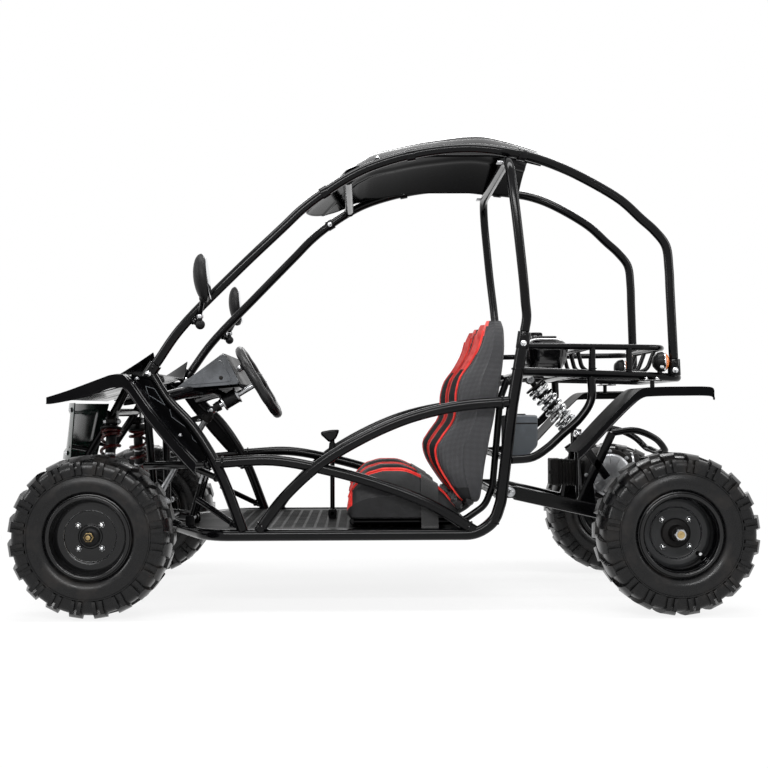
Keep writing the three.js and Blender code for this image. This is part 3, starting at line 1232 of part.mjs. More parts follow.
function rearSwingArm() {
  const spread = swingArm.spread;
  const pieces = [];
  const sleeveHalf = spread + swingArm.width - arm.ear / 2 - gap;
  pieces.push(crossRod(pivot, sleeveHalf, swingArm.sleeve, tubeSides));
  const inner = [crossRod(pivot, sleeveHalf + overrun, boreOf(swingArm.bolt), tubeSides)];
  const armPoint = (share, y) => shifted(between(pivot, axleCentre, share), across, y);
  pieces.push(rod(armPoint(0.56, -spread), armPoint(0.56, spread), tubing.rack));
  for (const [, side] of sides) {
    const y = side * spread;
    pieces.push(bar(armPoint(0, y), armPoint(0.97, y), swingArm.width, swingArm.height));
    const housing = shifted(axleCentre, across, y - swingArm.housingLength / 2);
    pieces.push(disc(housing, across, swingArm.housing, swingArm.housingLength, seatSides));
    const eyeSide = rearShock.eyeLength / 2 + gap;
    const tower = V(rearEye.foot.x, side * (eyeSide + arm.ear / 2), rearEye.foot.z);
    const nearTower = V(tower.x, side * (eyeSide + 0.75 * guardTube), tower.z - rearShock.eye);
    pieces.push(tube([armPoint(0.5, y), between(armPoint(0.5, y), nearTower, 0.8), nearTower], guardTube));
    const plate = V(2 * rearShock.eye, arm.ear, 3 * rearShock.eye);
    pieces.push(box(shifted(tower, up, -rearShock.eye / 2), plate));
    const strutTop = V(X(0.43), y, Z(0.375));
    pieces.push(bar(armPoint(0.49, y), strutTop, strut.width, strut.height));
    pieces.push(bar(V(X(0.38), y, Z(0.34)), V(X(0.42), y, Z(0.272)), strut.width, strut.height));
  }
  const boltHalf = rearShock.eyeLength / 2 + arm.ear + rearShock.bolt;
  pieces.push(crossRod(rearEye.foot, boltHalf, rearShock.bolt));
  const loopHalf = route(rearGuardShares);
  pieces.push(tube([...loopHalf, ...mirrored(loopHalf.slice(0, -1).reverse())], guardTube));
  const caliperCentre = V(
    rearAxle - driveline.disc + caliper.length / 6, -driveline.offset, axleHeight - caliper.height / 6);
  pieces.push(box(caliperCentre, V(caliper.length, caliper.width, caliper.height)));
  const bracket = swingArm.spread - driveline.offset - swingArm.width / 2 + arm.ear;
  pieces.push(box(V(caliperCentre.x, -driveline.offset - bracket / 2, caliperCentre.z + caliper.height / 4),
    V(caliper.length / 2, bracket, strut.width)));
  const slotStart = shifted(axleCentre, across, -driveline.offset - caliper.slot / 2);
  inner.push(sleeveOf(slotStart, across, driveline.disc + overrun, axle.radius, caliper.slot, wheelSides));
  inner.push(crossRod(axleCentre, spread * 2, boreOf(axle.radius), tubeSides));
  return cut(joined(pieces), inner);
}

function rearAxlePiece() {
  const hubEnd = halfTrack + rim.discOffset + rim.hubLength / 2;
  const half = hubEnd + axle.nutLength;
  const [axleStart, axleEnd] = [-half, half].map((y) => shifted(axleCentre, across, y));
  const pieces = [rod(axleStart, axleEnd, axle.radius, tubeSides, 0.5)];
  for (const [, side] of sides) {
    const outward = across.clone().multiplyScalar(side);
    const inward = outward.clone().negate();
    const nutStart = shifted(axleCentre, outward, hubEnd + gap);
    const flangeStart = shifted(axleCentre, outward, hubEnd - rim.hubLength - gap);
    pieces.push(disc(nutStart, outward, axle.nut * 1.6, axle.nutLength - gap, 6));
    pieces.push(disc(flangeStart, inward, axle.radius * 1.7, axle.flangeThick * 3));
  }
  const { offset, thick } = driveline;
  const sprocketStart = shifted(axleCentre, across, offset - thick / 2);
  const discStart = shifted(axleCentre, across, -offset - thick / 4);
  pieces.push(disc(sprocketStart, across, driveline.sprocket, thick, wheelSides));
  pieces.push(disc(discStart, across, driveline.disc, thick / 2, wheelSides));
  return joined(pieces);
}

// Engine with its barrel, head and drive sprocket; exhaust; chain

const crank = V(X(0.437), 0, Z(0.275));
const driveShaft = V(X(0.412), driveline.offset, Z(0.25));

function engineBlock() {
  const barrelEnd = V(crank.x - engine.case - engine.barrel * 0.75, 0, crank.z + engine.case * 0.1);
  const pieces = [
    crossRod(crank, engine.caseWidth / 2, engine.case, seatSides),
    crossRod(crank, engine.caseWidth / 2 + engine.coverThick, engine.cover, seatSides),
    box(between(crank, barrelEnd, 0.62), V(engine.barrel * 1.2, engine.barrel, engine.barrelHeight)),
    box(barrelEnd, V(engine.head * 0.6, engine.head * 1.3, engine.head * 1.25)),
    rod(V(driveShaft.x, 0, driveShaft.z), shifted(driveShaft, across, driveline.thick), axle.radius * 0.7),
    disc(shifted(driveShaft, across, -driveline.thick / 2), across, driveline.drive, driveline.thick, seatSides),
  ];
  const cradle = between(pivot, axleCentre, (X(0.4) - pivot.x) / (rearAxle - pivot.x));
  const cradleHalf = swingArm.spread - swingArm.width / 2 - gap;
  pieces.push(box(cradle, V(strut.width, 2 * cradleHalf, strut.height)));
  pieces.push(box(V(cradle.x, 0, (cradle.z + crank.z) / 2), V(strut.width, engine.head, crank.z - cradle.z)));
  return joined(pieces);
}

function exhaustPiece() {
  const head = V(crank.x - engine.case - engine.barrel * 0.45, engine.barrel / 2 + gap, crank.z);
  const end = V(X(0.44), Y(0.55), Z(0.29));
  const hanger = shifted(end, along, silencer.length * 0.2);
  const points = smooth([
    head, V(head.x, head.y + 2 * silencer.pipe, head.z), V(head.x + silencer.pipe, Y(0.47), head.z + silencer.pipe),
    V(end.x - silencer.length / 4, end.y, end.z), end,
  ], 8);
  return joined([
    tube(points, silencer.pipe),
    disc(end, along, silencer.radius, silencer.length, seatSides),
    rod(shifted(end, along, silencer.length), shifted(end, along, silencer.length * 1.15), silencer.pipe),
    bar(hanger, V(hanger.x, swingArm.spread + strut.width / 2 + gap, end.z), guardTube, guardTube),
  ]);
}

function beltOutline(a, ra, b, rb, steps = 8) {
  const distance = Math.hypot(b.x - a.x, b.z - a.z);
  const heading = Math.atan2(b.z - a.z, b.x - a.x);
  const lean = Math.acos((ra - rb) / distance);
  const points = [];
  for (let i = 0; i <= steps; i += 1) {
    const angle = heading + lean + ((2 * Math.PI - 2 * lean) * i) / steps;
    points.push([a.x + ra * Math.cos(angle), a.z + ra * Math.sin(angle)]);
  }
  for (let i = 0; i <= steps; i += 1) {
    const angle = heading - lean + (2 * lean * i) / steps;
    points.push([b.x + rb * Math.cos(angle), b.z + rb * Math.sin(angle)]);
  }
  return points;
}

function driveChain() {
  const inner = [driveline.drive, driveline.sprocket].map((radius) => boreOf(radius, wheelSides));
  const outer = inner.map((radius) => radius + driveline.chainHeight);
  const outline = beltOutline(driveShaft, outer[0], axleCentre, outer[1]);
  const hole = beltOutline(driveShaft, inner[0], axleCentre, inner[1]);
  const half = driveline.chainWidth / 2;
  return slab(outline, driveline.offset - half, driveline.offset + half, [hole]);
}

// Tank, battery box, cable, mirrors, pedals, lever

const tankFloor = atStation(rackRail, X(rearCrossShares[1])).z + tubing.rack + gap;
const tankCentre = V(X(0.316), 0, tankFloor);
const capSpot = V(X(0.302), 0, tankFloor + tank.height);

function fuelTank() {
  const roundShares = [[0, 0.92], [0.1, 1], [0.62, 1], [0.85, 0.9], [0.97, 0.66], [1, 0.4]];
  const cornerShares = [
    [1, 0.55], [0.8, 1], [-0.8, 1], [-1, 0.55], [-1, -0.55], [-0.8, -1], [0.8, -1], [1, -0.55],
  ];
  const rings = roundShares.map(([rise, wide]) => cornerShares.map(([x, y]) => V(
    tankCentre.x + (x * wide * tank.length) / 2, (y * wide * tank.width) / 2, tankFloor + rise * tank.height)));
  const neckStart = shifted(capSpot, up, -tank.capHeight);
  return joined([loft(rings), disc(neckStart, up, tank.neck, tank.capHeight + tank.neckHeight)]);
}

const fuelCap = () => disc(shifted(capSpot, up, tank.neckHeight + gap), up, tank.cap, tank.capHeight);

function batteryBox() {
  const post = atHeight(route(floorRailShares), Z(0.325));
  const front = post.x + flatOf(tubing.seat) + gap;
  const low = post.z - battery.height * 0.05;
  const boxShares = [[0, 0], [0.6, 0], [1, 0.3], [1, 1], [0, 1]];
  const outline = boxShares.map(([x, z]) => [front + x * battery.length, low + z * battery.height]);
  return slab(outline, Y(-0.66), Y(-0.66) + battery.width);
}

const cableShares = [
  [-0.4, -0.1, 0.15], [-0.36, -0.25, 0.149], [-0.3, -0.4, 0.15032], [-0.1, -0.43, 0.15032], [0.1, -0.43, 0.15032],
  [0.15, -0.4, 0.15], [0.185, -0.32, 0.165], [0.205, -0.28, 0.185], [0.216, -0.27, 0.203],
];
const brakeCable = () => tube(smooth(route(cableShares), 10), cable.radius, 5);

const headShares = [0, 0.15, 0.5, 0.85, 1];
const ballShares = [[0, -1], [0.8, -0.6], [1, 0], [0.8, 0.6], [0, 1]];

function sideMirror(side) {
  const foot = mirrorFoot(side);
  const head = V(X(-0.311), side * Y(1), Z(0.7075));
  const elbow = V(foot.x, foot.y + (side * mirror.stem) / 2, foot.z + 2 * mirror.ball);
  const rings = [];
  for (const share of headShares) {
    const wide = Math.sqrt(1 - (2 * share - 1) ** 2 * 0.92);
    const z = head.z + (share - 0.5) * mirror.height;
    const lean = (share - 0.5) * mirror.depth * 0.3;
    const ring = [];
    for (let i = 0; i < tubeSides; i += 1) {
      const angle = (i / tubeSides) * 2 * Math.PI;
      const depth = Math.cos(angle) > 0 ? 0.35 : 0.65;
      const x = head.x - lean + Math.cos(angle) * mirror.depth * depth * wide;
      ring.push(V(x, head.y + (Math.sin(angle) * mirror.width * wide) / 2, z));
    }
    rings.push(ring);
  }
  return joined([
    loft(rings),
    turned(sized(ballShares, mirror.ball, mirror.ball), foot, up, wheelSides),
    tube([foot, elbow, shifted(head, up, -mirror.height * 0.3)], mirror.stem),
  ]);
}

function footPedal(y) {
  const start = V(pedalFoot.x, y - pedal.bossLength / 2, pedalFoot.z);
  const tip = V(pedalFoot.x + pedal.length * 0.28, y, pedalFoot.z + pedal.length);
  const turn = new THREE.Quaternion().setFromAxisAngle(across, 0.3);
  const body = joined([
    disc(start, across, pedal.boss, pedal.bossLength),
    tube([V(pedalFoot.x, y, pedalFoot.z), tip], pedal.arm),
    box(tip, V(pedal.padThick, pedal.padWidth, pedal.padHeight), turn),
  ]);
  return cut(body, [pinAt(shifted(pedalFoot, across, y), across, pedal.bossLength, boreOf(arm.bolt))]);
}

function shiftLever() {
  const start = V(leverFoot.x, -lever.bossLength / 2, leverFoot.z);
  const head = V(leverFoot.x, 0, leverFoot.z + lever.length);
  const knobShares = [[-0.62, 0.55], [0.38, 0.75], [0.2, -0.15], [-0.15, -0.5], [-0.45, -0.05]];
  const knobOutline = knobShares.map(([x, z]) => [head.x + x * lever.knobLength, head.z + z * lever.knobHeight]);
  const knob = slab(knobOutline, -lever.knobWidth / 2, lever.knobWidth / 2);
  const body = joined([disc(start, across, lever.boss, lever.bossLength), rod(leverFoot, head, lever.rod), knob]);
  return cut(body, [pinAt(leverFoot, across, lever.bossLength, boreOf(arm.bolt))]);
}

// The assembly

add('floor_frame', floorFrame(), finishes.frame);
add('main_hoop', hoop(), finishes.frame);
add('roof_frame', roofFrame(), finishes.frame);
add('front_frame', frontFrame(), finishes.frame);
add('rear_frame', rearFrame(), finishes.frame);
add('roof_visor', visor(), finishes.panel);
add('front_cowl', frontCowl(), finishes.panel);
add('nose_cover', noseCover(), finishes.nose);
add('dash_housing', dashHousing(), finishes.panel);
add('ignition_key', ignitionKey(), finishes.steel);
add('kill_button', killButton(), finishes.red);
add('seat_belts', seatBelts(), finishes.strap);
add('fuel_tank', fuelTank(), finishes.plastic);
add('fuel_cap', fuelCap(), finishes.plastic);
add('battery_box', batteryBox(), finishes.plastic);
add('brake_cable', brakeCable(), finishes.rubber);
add('steering_wheel', steeringWheel(), finishes.rubber);
add('steering_lower_shaft', lowerShaft(), finishes.steel);
add('steering_rack', steeringRack(), finishes.steel);
add('throttle_pedal', footPedal(pedalSpots.throttle), finishes.frame);
add('brake_pedal', footPedal(pedalSpots.brake), finishes.frame);
add('shift_lever', shiftLever(), finishes.frame);
add('swing_arm', rearSwingArm(), finishes.frame);
add('rear_axle', rearAxlePiece(), finishes.steel);
add('engine', engineBlock(), finishes.alloy);
add('exhaust', exhaustPiece(), finishes.frame);
add('drive_chain', driveChain(), finishes.steel);

const rearParts = shockParts(rearEye.top, rearEye.foot, across, rearShock);
add('rear_shock_body', rearParts.body, finishes.chrome);
add('rear_shock_rod', rearParts.rodPiece, finishes.steel);
add('rear_spring', rearParts.spring, finishes.chrome);
console.log('rear spring least gap to itself', rearParts.least.toFixed(2), 'mm');

for (const [name, side] of sides) {
  add(`side_frame_${name}`, sideFrame(side), finishes.frame);
  add(`front_fender_${name}`, frontFender(side), finishes.panel);
  add(`rear_fender_${name}`, rearFender(side), finishes.panel);
  add(`seat_cushion_${name}`, seatCushion(side), finishes.fabric);
  add(`seat_back_${name}`, seatBack(side), finishes.fabric);
  add(`mirror_${name}`, sideMirror(side), finishes.plastic);
  add(`tie_rod_${name}`, tieRod(side), finishes.steel);
  add(`front_arm_${name}`, frontArm(side), finishes.frame);
  add(`knuckle_${name}`, frontKnuckle(side), finishes.steel);
  const parts = shockParts(frontEye.top(side), frontEye.foot(side), along, frontShock, springSeat / 2);
  add(`front_shock_body_${name}`, parts.body, finishes.steel);
  add(`front_spring_${name}`, joined([parts.spring, parts.rodPiece]), finishes.red);
  console.log(`front spring ${name} least gap to itself`, parts.least.toFixed(2), 'mm');
  for (const [end, x, radius] of [['front', frontAxle, knuckle.spindle], ['rear', rearAxle, axle.radius]]) {
    const centre = V(x, side * halfTrack, axleHeight);
    add(`${end}_tyre_${name}`, wheelTyre(centre, side), finishes.rubber);
    add(`${end}_rim_${name}`, wheelRimPiece(centre, side, boreOf(radius, wheelSides)), finishes.rim);
  }
}

export default kart;
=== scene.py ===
"""Dresses the packed frame of an off road go kart: cage tubes, panels, seats, wheels and running gear."""

import json
import math

import bmesh
import bpy
from mathutils import Matrix, Vector


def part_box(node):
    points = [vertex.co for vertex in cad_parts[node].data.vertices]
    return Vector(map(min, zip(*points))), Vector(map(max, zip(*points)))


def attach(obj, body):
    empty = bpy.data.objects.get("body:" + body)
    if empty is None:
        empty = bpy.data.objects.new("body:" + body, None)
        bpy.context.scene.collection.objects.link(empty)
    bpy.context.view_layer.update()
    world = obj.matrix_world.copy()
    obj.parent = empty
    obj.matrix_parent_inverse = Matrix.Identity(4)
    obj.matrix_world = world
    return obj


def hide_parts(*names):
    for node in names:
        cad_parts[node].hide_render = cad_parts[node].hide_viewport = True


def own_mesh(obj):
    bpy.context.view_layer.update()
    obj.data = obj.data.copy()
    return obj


bl_info = {
    "name": "Off road go kart",
    "version": (1, 0, 0),
    "blender": (4, 5, 0),
    "location": "3D View > Sidebar > Kart",
    "description": "Builds the tubes, panels, seats, wheels and running gear of a two-seat off road kart",
    "category": "Object",
}

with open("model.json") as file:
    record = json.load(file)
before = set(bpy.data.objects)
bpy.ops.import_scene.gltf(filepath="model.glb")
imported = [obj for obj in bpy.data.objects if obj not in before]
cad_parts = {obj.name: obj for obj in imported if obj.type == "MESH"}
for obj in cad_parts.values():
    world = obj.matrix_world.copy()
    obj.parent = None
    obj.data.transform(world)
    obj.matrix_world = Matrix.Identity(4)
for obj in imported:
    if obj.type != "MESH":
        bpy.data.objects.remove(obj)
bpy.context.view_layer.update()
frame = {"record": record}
BODY = {node: body for body, nodes in frame["record"]["behaviour"]["bodies"].items() for node in nodes}
SIDES = (("left", -1), ("right", 1))

# Main sizes in metres. Places are shares of these three: along, across and up.
WHEELBASE, HALF_TRACK, CAGE_HEIGHT = 1.464, 0.461, 1.2
UP, ACROSS, ALONG = Vector((0, 0, 1)), Vector((0, 1, 0)), Vector((1, 0, 0))
TUBE = {"floor": 0.015, "side": 0.014, "cage": 0.0125, "dash": 0.016, "seat": 0.009, "front": 0.011,
        "rack": 0.011, "rail": 0.008, "slat": 0.006}
SLEEVE = 0.044
SHEET = 0.003
PLATE = 0.005
GAP = 0.0003
PI2 = 2 * math.pi


def spot(share, side=1):
    """A place from its shares along, across and up."""
    return Vector((share[0] * WHEELBASE, side * share[1] * HALF_TRACK, share[2] * CAGE_HEIGHT))


def route(shares, side=1):
    """A line of places from their shares."""
    return [spot(share, side) for share in shares]


def flat_route(shares):
    """Shares along and up as an outline seen from the side."""
    return [Vector((x * WHEELBASE, z * CAGE_HEIGHT)) for x, z in shares]


def crosswise(point, half):
    """Both ends of a level line across the kart, at a point's place along and up."""
    return [Vector((point.x, -half, point.z)), Vector((point.x, half, point.z))]


def facing(*axes):
    """A turn whose axes lie along three directions."""
    return Matrix(axes).transposed().to_4x4()


def mirrored(points):
    """The same places on the other side."""
    return [Vector((p.x, -p.y, p.z)) for p in points]


def flowing(points, fine=7):
    """A smooth line through every point, whose long straight runs stay straight."""
    held = [points[0]]
    for i, (a, b) in enumerate(zip(points, points[1:])):
        reach = (b - a).length
        before = (a - points[i - 1]).length if i else reach
        after = (points[i + 2] - b).length if i + 2 < len(points) else reach
        if before < reach / 2.2:
            held.append(a.lerp(b, before / reach))
        if after < reach / 2.2:
            held.append(b.lerp(a, after / reach))
        held.append(b)
    points = held
    ends = [2 * points[0] - points[1]] + points + [2 * points[-1] - points[-2]]
    line = []
    for p0, p1, p2, p3 in zip(ends, ends[1:], ends[2:], ends[3:]):
        t0 = 0
        t1 = t0 + (p1 - p0).length ** 0.5
        t2 = t1 + (p2 - p1).length ** 0.5
        t3 = t2 + (p3 - p2).length ** 0.5
        for step in range(fine):
            t = t1 + (t2 - t1) * step / fine
            a1 = p0.lerp(p1, (t - t0) / (t1 - t0))
            a2 = p1.lerp(p2, (t - t1) / (t2 - t1))
            a3 = p2.lerp(p3, (t - t2) / (t3 - t2))
            b1 = a1.lerp(a2, (t - t0) / (t2 - t0))
            b2 = a2.lerp(a3, (t - t1) / (t3 - t1))
            line.append(b1.lerp(b2, (t - t1) / (t2 - t1)))
    return line + [points[-1]]


def bent(points, radius=0.05, fine=6):
    """A line of straight runs with a round bend at each corner."""
    line = [points[0]]
    for a, b, c in zip(points, points[1:], points[2:]):
        turn = (b - a).angle(c - b)
        reach = min(radius * math.tan(turn / 2), 0.46 * (b - a).length, 0.46 * (c - b).length)
        start, end = b + (a - b).normalized() * reach, b + (c - b).normalized() * reach
        for step in range(fine + 1):
            t = step / fine
            line.append(start.lerp(b, t).lerp(b.lerp(end, t), t))
    return line + [points[-1]]


def at_share(points, axis, value):
    """The place where a line of points reaches a value along one axis."""
    for a, b in zip(points, points[1:]):
        if (a[axis] - value) * (b[axis] - value) <= 0 and a[axis] != b[axis]:
            return a.lerp(b, (value - a[axis]) / (b[axis] - a[axis]))
    raise ValueError("the line does not reach that place")


def rounded(outline, size, closed=False, steps=2):
    """An outline in two numbers with its corners eased."""
    points = [Vector(p) for p in outline]
    count = len(points)
    eased = []
    for i, b in enumerate(points):
        if not closed and i in (0, count - 1):
            eased.append(b)
            continue
        a, c = points[i - 1], points[(i + 1) % count]
        reach = min(size, 0.42 * (b - a).length, 0.42 * (c - b).length)
        if (b - a).length < 1e-9 or (c - b).length < 1e-9 or (b - a).angle(c - b) < 0.12:
            eased.append(b)
            continue
        start, end = b + (a - b).normalized() * reach, b + (c - b).normalized() * reach
        for step in range(steps + 1):
            t = step / steps
            eased.append(start.lerp(b, t).lerp(b.lerp(end, t), t))
    return eased


def inset(outline, size):
    """A closed outline in two numbers, moved inwards."""
    count = len(outline)
    area = sum(a[0] * b[1] - b[0] * a[1] for a, b in zip(outline, outline[1:] + outline[:1]))
    sign = 1 if area > 0 else -1
    moved = []
    for i in range(count):
        before = (outline[i] - outline[i - 1]).normalized()
        after = (outline[(i + 1) % count] - outline[i]).normalized()
        one, two = Vector((-before.y, before.x)) * sign, Vector((-after.y, after.x)) * sign
        share = max(1 + one.dot(two), 0.35)
        moved.append(outline[i] + (one + two) * (size / share))
    return moved


def basis(origin, direction, near=None):
    """A frame whose third axis is a direction and whose first axis lies near another."""
    third = direction.normalized()
    near = near or (ALONG if abs(third.x) < 0.8 else UP)
    first = (near - third * near.dot(third)).normalized()
    second = third.cross(first)
    return Matrix.Translation(origin) @ facing(first, second, third)


# Finishes

class Wire:
    """A shader socket that can stand in sums; each sum adds its Math node."""

    def __init__(self, recipe, socket):
        self.recipe, self.socket = recipe, socket

    def maths(self, operation, first, second=0.0):
        return self.recipe.make("ShaderNodeMath", {"operation": operation}, {0: first, 1: second})

    def __add__(self, other):
        return self.maths("ADD", self, other)

    def __sub__(self, other):
        return self.maths("SUBTRACT", self, other)

    def __mul__(self, other):
        return self.maths("MULTIPLY", self, other)

    __radd__, __rmul__ = __add__, __mul__

    def wave(self):
        return self.maths("SINE", self)

    def size(self):
        return self.maths("ABSOLUTE", self)


class Recipe:
    """The node tree of one finish, fed by Object coordinates."""

    def __init__(self, name, **constants):
        self.material = bpy.data.materials.new(name)
        self.material.use_nodes = True
        self.tree = self.material.node_tree
        self.shader = self.tree.nodes["Principled BSDF"]
        self.place = self.make("ShaderNodeTexCoord", out="Object")
        for socket, value in constants.items():
            self.shader.inputs[socket.replace("_", " ")].default_value = value

    def make(self, kind, settings=None, values=None, out=0):
        node = self.tree.nodes.new(kind)
        for key, value in (settings or {}).items():
            setattr(node, key, value)
        for key, value in (values or {}).items():
            if isinstance(value, Wire):
                self.tree.links.new(value.socket, node.inputs[key])
            else:
                node.inputs[key].default_value = value
        return Wire(self, node.outputs[out])

    def noise(self, scale, detail=3, roughness=0.5, place=None):
        values = {"Vector": place or self.place, "Scale": scale, "Detail": detail, "Roughness": roughness}
        return self.make("ShaderNodeTexNoise", None, values, "Fac")

    def cells(self, scale, feature="DISTANCE_TO_EDGE", place=None):
        values = {"Vector": place or self.place, "Scale": scale}
        return self.make("ShaderNodeTexVoronoi", {"feature": feature}, values, "Distance")

    def split(self, place=None):
        node = self.make("ShaderNodeSeparateXYZ", None, {0: place or self.place}).socket.node
        return [Wire(self, socket) for socket in node.outputs]

    def fit(self, value, low, high, start=0.0, end=1.0):
        """A value's range, clamped and moved to another."""
        return self.make("ShaderNodeMapRange", None, {0: value, 1: low, 2: high, 3: start, 4: end})

    def mix(self, share, one, two):
        return self.make("ShaderNodeMix", {"data_type": "RGBA"}, {0: share, 6: one, 7: two}, 2)

    def feed(self, socket, value):
        if isinstance(value, Wire):
            self.tree.links.new(value.socket, self.shader.inputs[socket])
        else:
            self.shader.inputs[socket].default_value = value
        return self

    def bump(self, height, strength, distance=0.001):
        values = {"Strength": strength, "Distance": distance, "Height": height}
        return self.feed("Normal", self.make("ShaderNodeBump", None, values))


def tint(code):
    """A colour as the sockets want it, from its usual six-figure code or from a user's colour."""
    if not isinstance(code, str):
        return (*code, 1)
    parts = [int(code[i:i + 2], 16) / 255 for i in (0, 2, 4)]
    return tuple(c / 12.92 if c <= 0.04045 else ((c + 0.055) / 1.055) ** 2.4 for c in parts) + (1,)


def coated(name, deep, worn, rough, grain=180.0, depth=0.05, coat=0.0, metal=0.0, spots=9.0, level=0.16):
    """A painted, plated or moulded finish: slow colour changes, a fine grain and uneven gloss."""
    recipe = Recipe(name, Coat_Roughness=0.06, Metallic=metal, Specular_IOR_Level=level)
    slow = recipe.noise(spots, 4, 0.6)
    fine = recipe.noise(grain, 2, 0.5)
    recipe.feed("Base Color", recipe.mix(recipe.fit(slow, 0.42, 0.72), tint(deep), tint(worn)))
    recipe.feed("Roughness", recipe.fit(slow * 0.7 + fine * 0.3, 0.35, 0.68, rough[0], rough[1]))
    if coat:
        recipe.feed("Coat Weight", recipe.fit(slow, 0.3, 0.75, coat, coat * 0.7))
    recipe.bump(fine, depth, 0.0006)
    return recipe.material


def tyre_rubber():
    """Black rubber with a little dust."""
    recipe = Recipe("tyre_rubber", Specular_IOR_Level=0.27)
    slow, fine = recipe.noise(16, 5, 0.65), recipe.noise(420, 2, 0.6)
    dust = recipe.fit(slow, 0.5, 0.78) * recipe.fit(fine, 0.35, 0.6, 0.4, 1)
    recipe.feed("Base Color",
                recipe.mix(dust * 0.45, tint(bpy.context.scene.kart_wheels.rubber), tint("352f2a")))
    recipe.feed("Roughness", recipe.fit(slow, 0.35, 0.7, 0.22, 0.4))
    return recipe.bump(fine * 0.4 + slow * 0.8, 0.1, 0.0006).material


def lattice(pitch, u, v):
    """A woven lattice of holes between crossing threads."""
    turn = PI2 / pitch
    return ((u + v) * turn).wave() * ((u - v) * turn).wave()


def seat_mesh():
    """Woven cloth of the seat sides and backs."""
    recipe = Recipe("seat_mesh_cloth", Sheen_Weight=0.1, Sheen_Roughness=0.4, Specular_IOR_Level=0.4)
    x, y, z = recipe.split()
    weave = lattice(0.0062, x + y * 0.35, z - y * 0.35)
    slow = recipe.noise(11, 4, 0.6)
    hole = recipe.fit(weave, -0.05, 0.4)
    recipe.feed("Base Color", recipe.mix(hole, tint("020203"), tint("3a3a3e")))
    recipe.feed("Roughness", recipe.fit(hole * 0.6 + slow * 0.4, 0.2, 0.8, 0.6, 0.32))
    return recipe.bump(weave + slow * 2.2, 0.5, 0.0009).material


def leather(name, dark, light, wrinkle=1.0):
    """Grained seat leather with soft folds."""
    recipe = Recipe(name, Sheen_Weight=0.04, Specular_IOR_Level=0.24)
    grain, folds = recipe.cells(420), recipe.noise(24, 4, 0.62)
    crease = recipe.cells(38)
    soft = recipe.fit(folds, 0.35, 0.7)
    recipe.feed("Base Color", recipe.mix(soft, tint(dark), tint(light)))
    recipe.feed("Roughness", recipe.fit(grain * 0.5 + folds * 0.5, 0.1, 0.6, 0.55, 0.34))
    height = recipe.fit(grain, 0, 0.25) * 0.35 + folds * (3.2 * wrinkle) + recipe.fit(crease, 0,
        0.2) * (0.5 * wrinkle)
    return recipe.bump(height, 0.42, 0.0012).material


def webbing():
    """Ribbed strap webbing."""
    recipe = Recipe("strap_webbing", Sheen_Weight=0.2)
    x, y, z = recipe.split()
    weave = (x * 3600).wave() * ((y + z) * 2600).wave()
    recipe.feed("Base Color", recipe.mix(recipe.fit(weave, -0.6, 0.6), tint("060606"), tint("1e1e1f")))
    recipe.feed("Roughness", recipe.fit(weave, -1, 1, 0.85, 0.6))
    return recipe.bump(weave, 0.6, 0.0006).material


def foam_grip():
    """Foam of the steering wheel rim."""
    recipe = Recipe("grip_foam", Specular_IOR_Level=0.3)
    pores, slow = recipe.cells(700, "F1"), recipe.noise(40, 3)
    recipe.feed("Base Color", recipe.mix(recipe.fit(pores, 0.1, 0.6), tint("050505"), tint("121213")))
    recipe.feed("Roughness", recipe.fit(slow, 0.3, 0.7, 0.3, 0.45))
    return recipe.bump(pores, 0.12, 0.0005).material


def lens(name, dark, light):
    """A ribbed lamp lens."""
    recipe = Recipe(name, IOR=1.49, Coat_Roughness=0.03)
    _, y, z = recipe.split()
    ribs = (z * 1900).wave() * (y * 1900).wave()
    recipe.feed("Base Color", recipe.mix(recipe.fit(ribs, -1, 1), tint(dark), tint(light)))
    recipe.feed("Roughness", recipe.fit(ribs, -1, 1, 0.08, 0.18)).feed("Coat Weight", 0.8)
    return recipe.bump(ribs, 0.25, 0.0008).material


def brushed(name, dark, light, rough):
    """Bare metal with fine turning marks and a little tarnish."""
    recipe = Recipe(name, Metallic=1.0)
    x, y, z = recipe.split()
    marks = recipe.noise(900, 2, 0.6,
                         recipe.make("ShaderNodeCombineXYZ", None, {0: x * 0.2, 1: y, 2: z * 0.2}))
    slow = recipe.noise(35, 4, 0.65)
    recipe.feed("Base Color",
                recipe.mix(recipe.fit(slow * 0.75 + marks * 0.25, 0.36, 0.64), tint(dark), tint(light)))
    recipe.feed("Roughness", recipe.fit(marks, 0.3, 0.7, rough[0], rough[1]))
    return recipe.bump(marks, 0.08, 0.0004).material


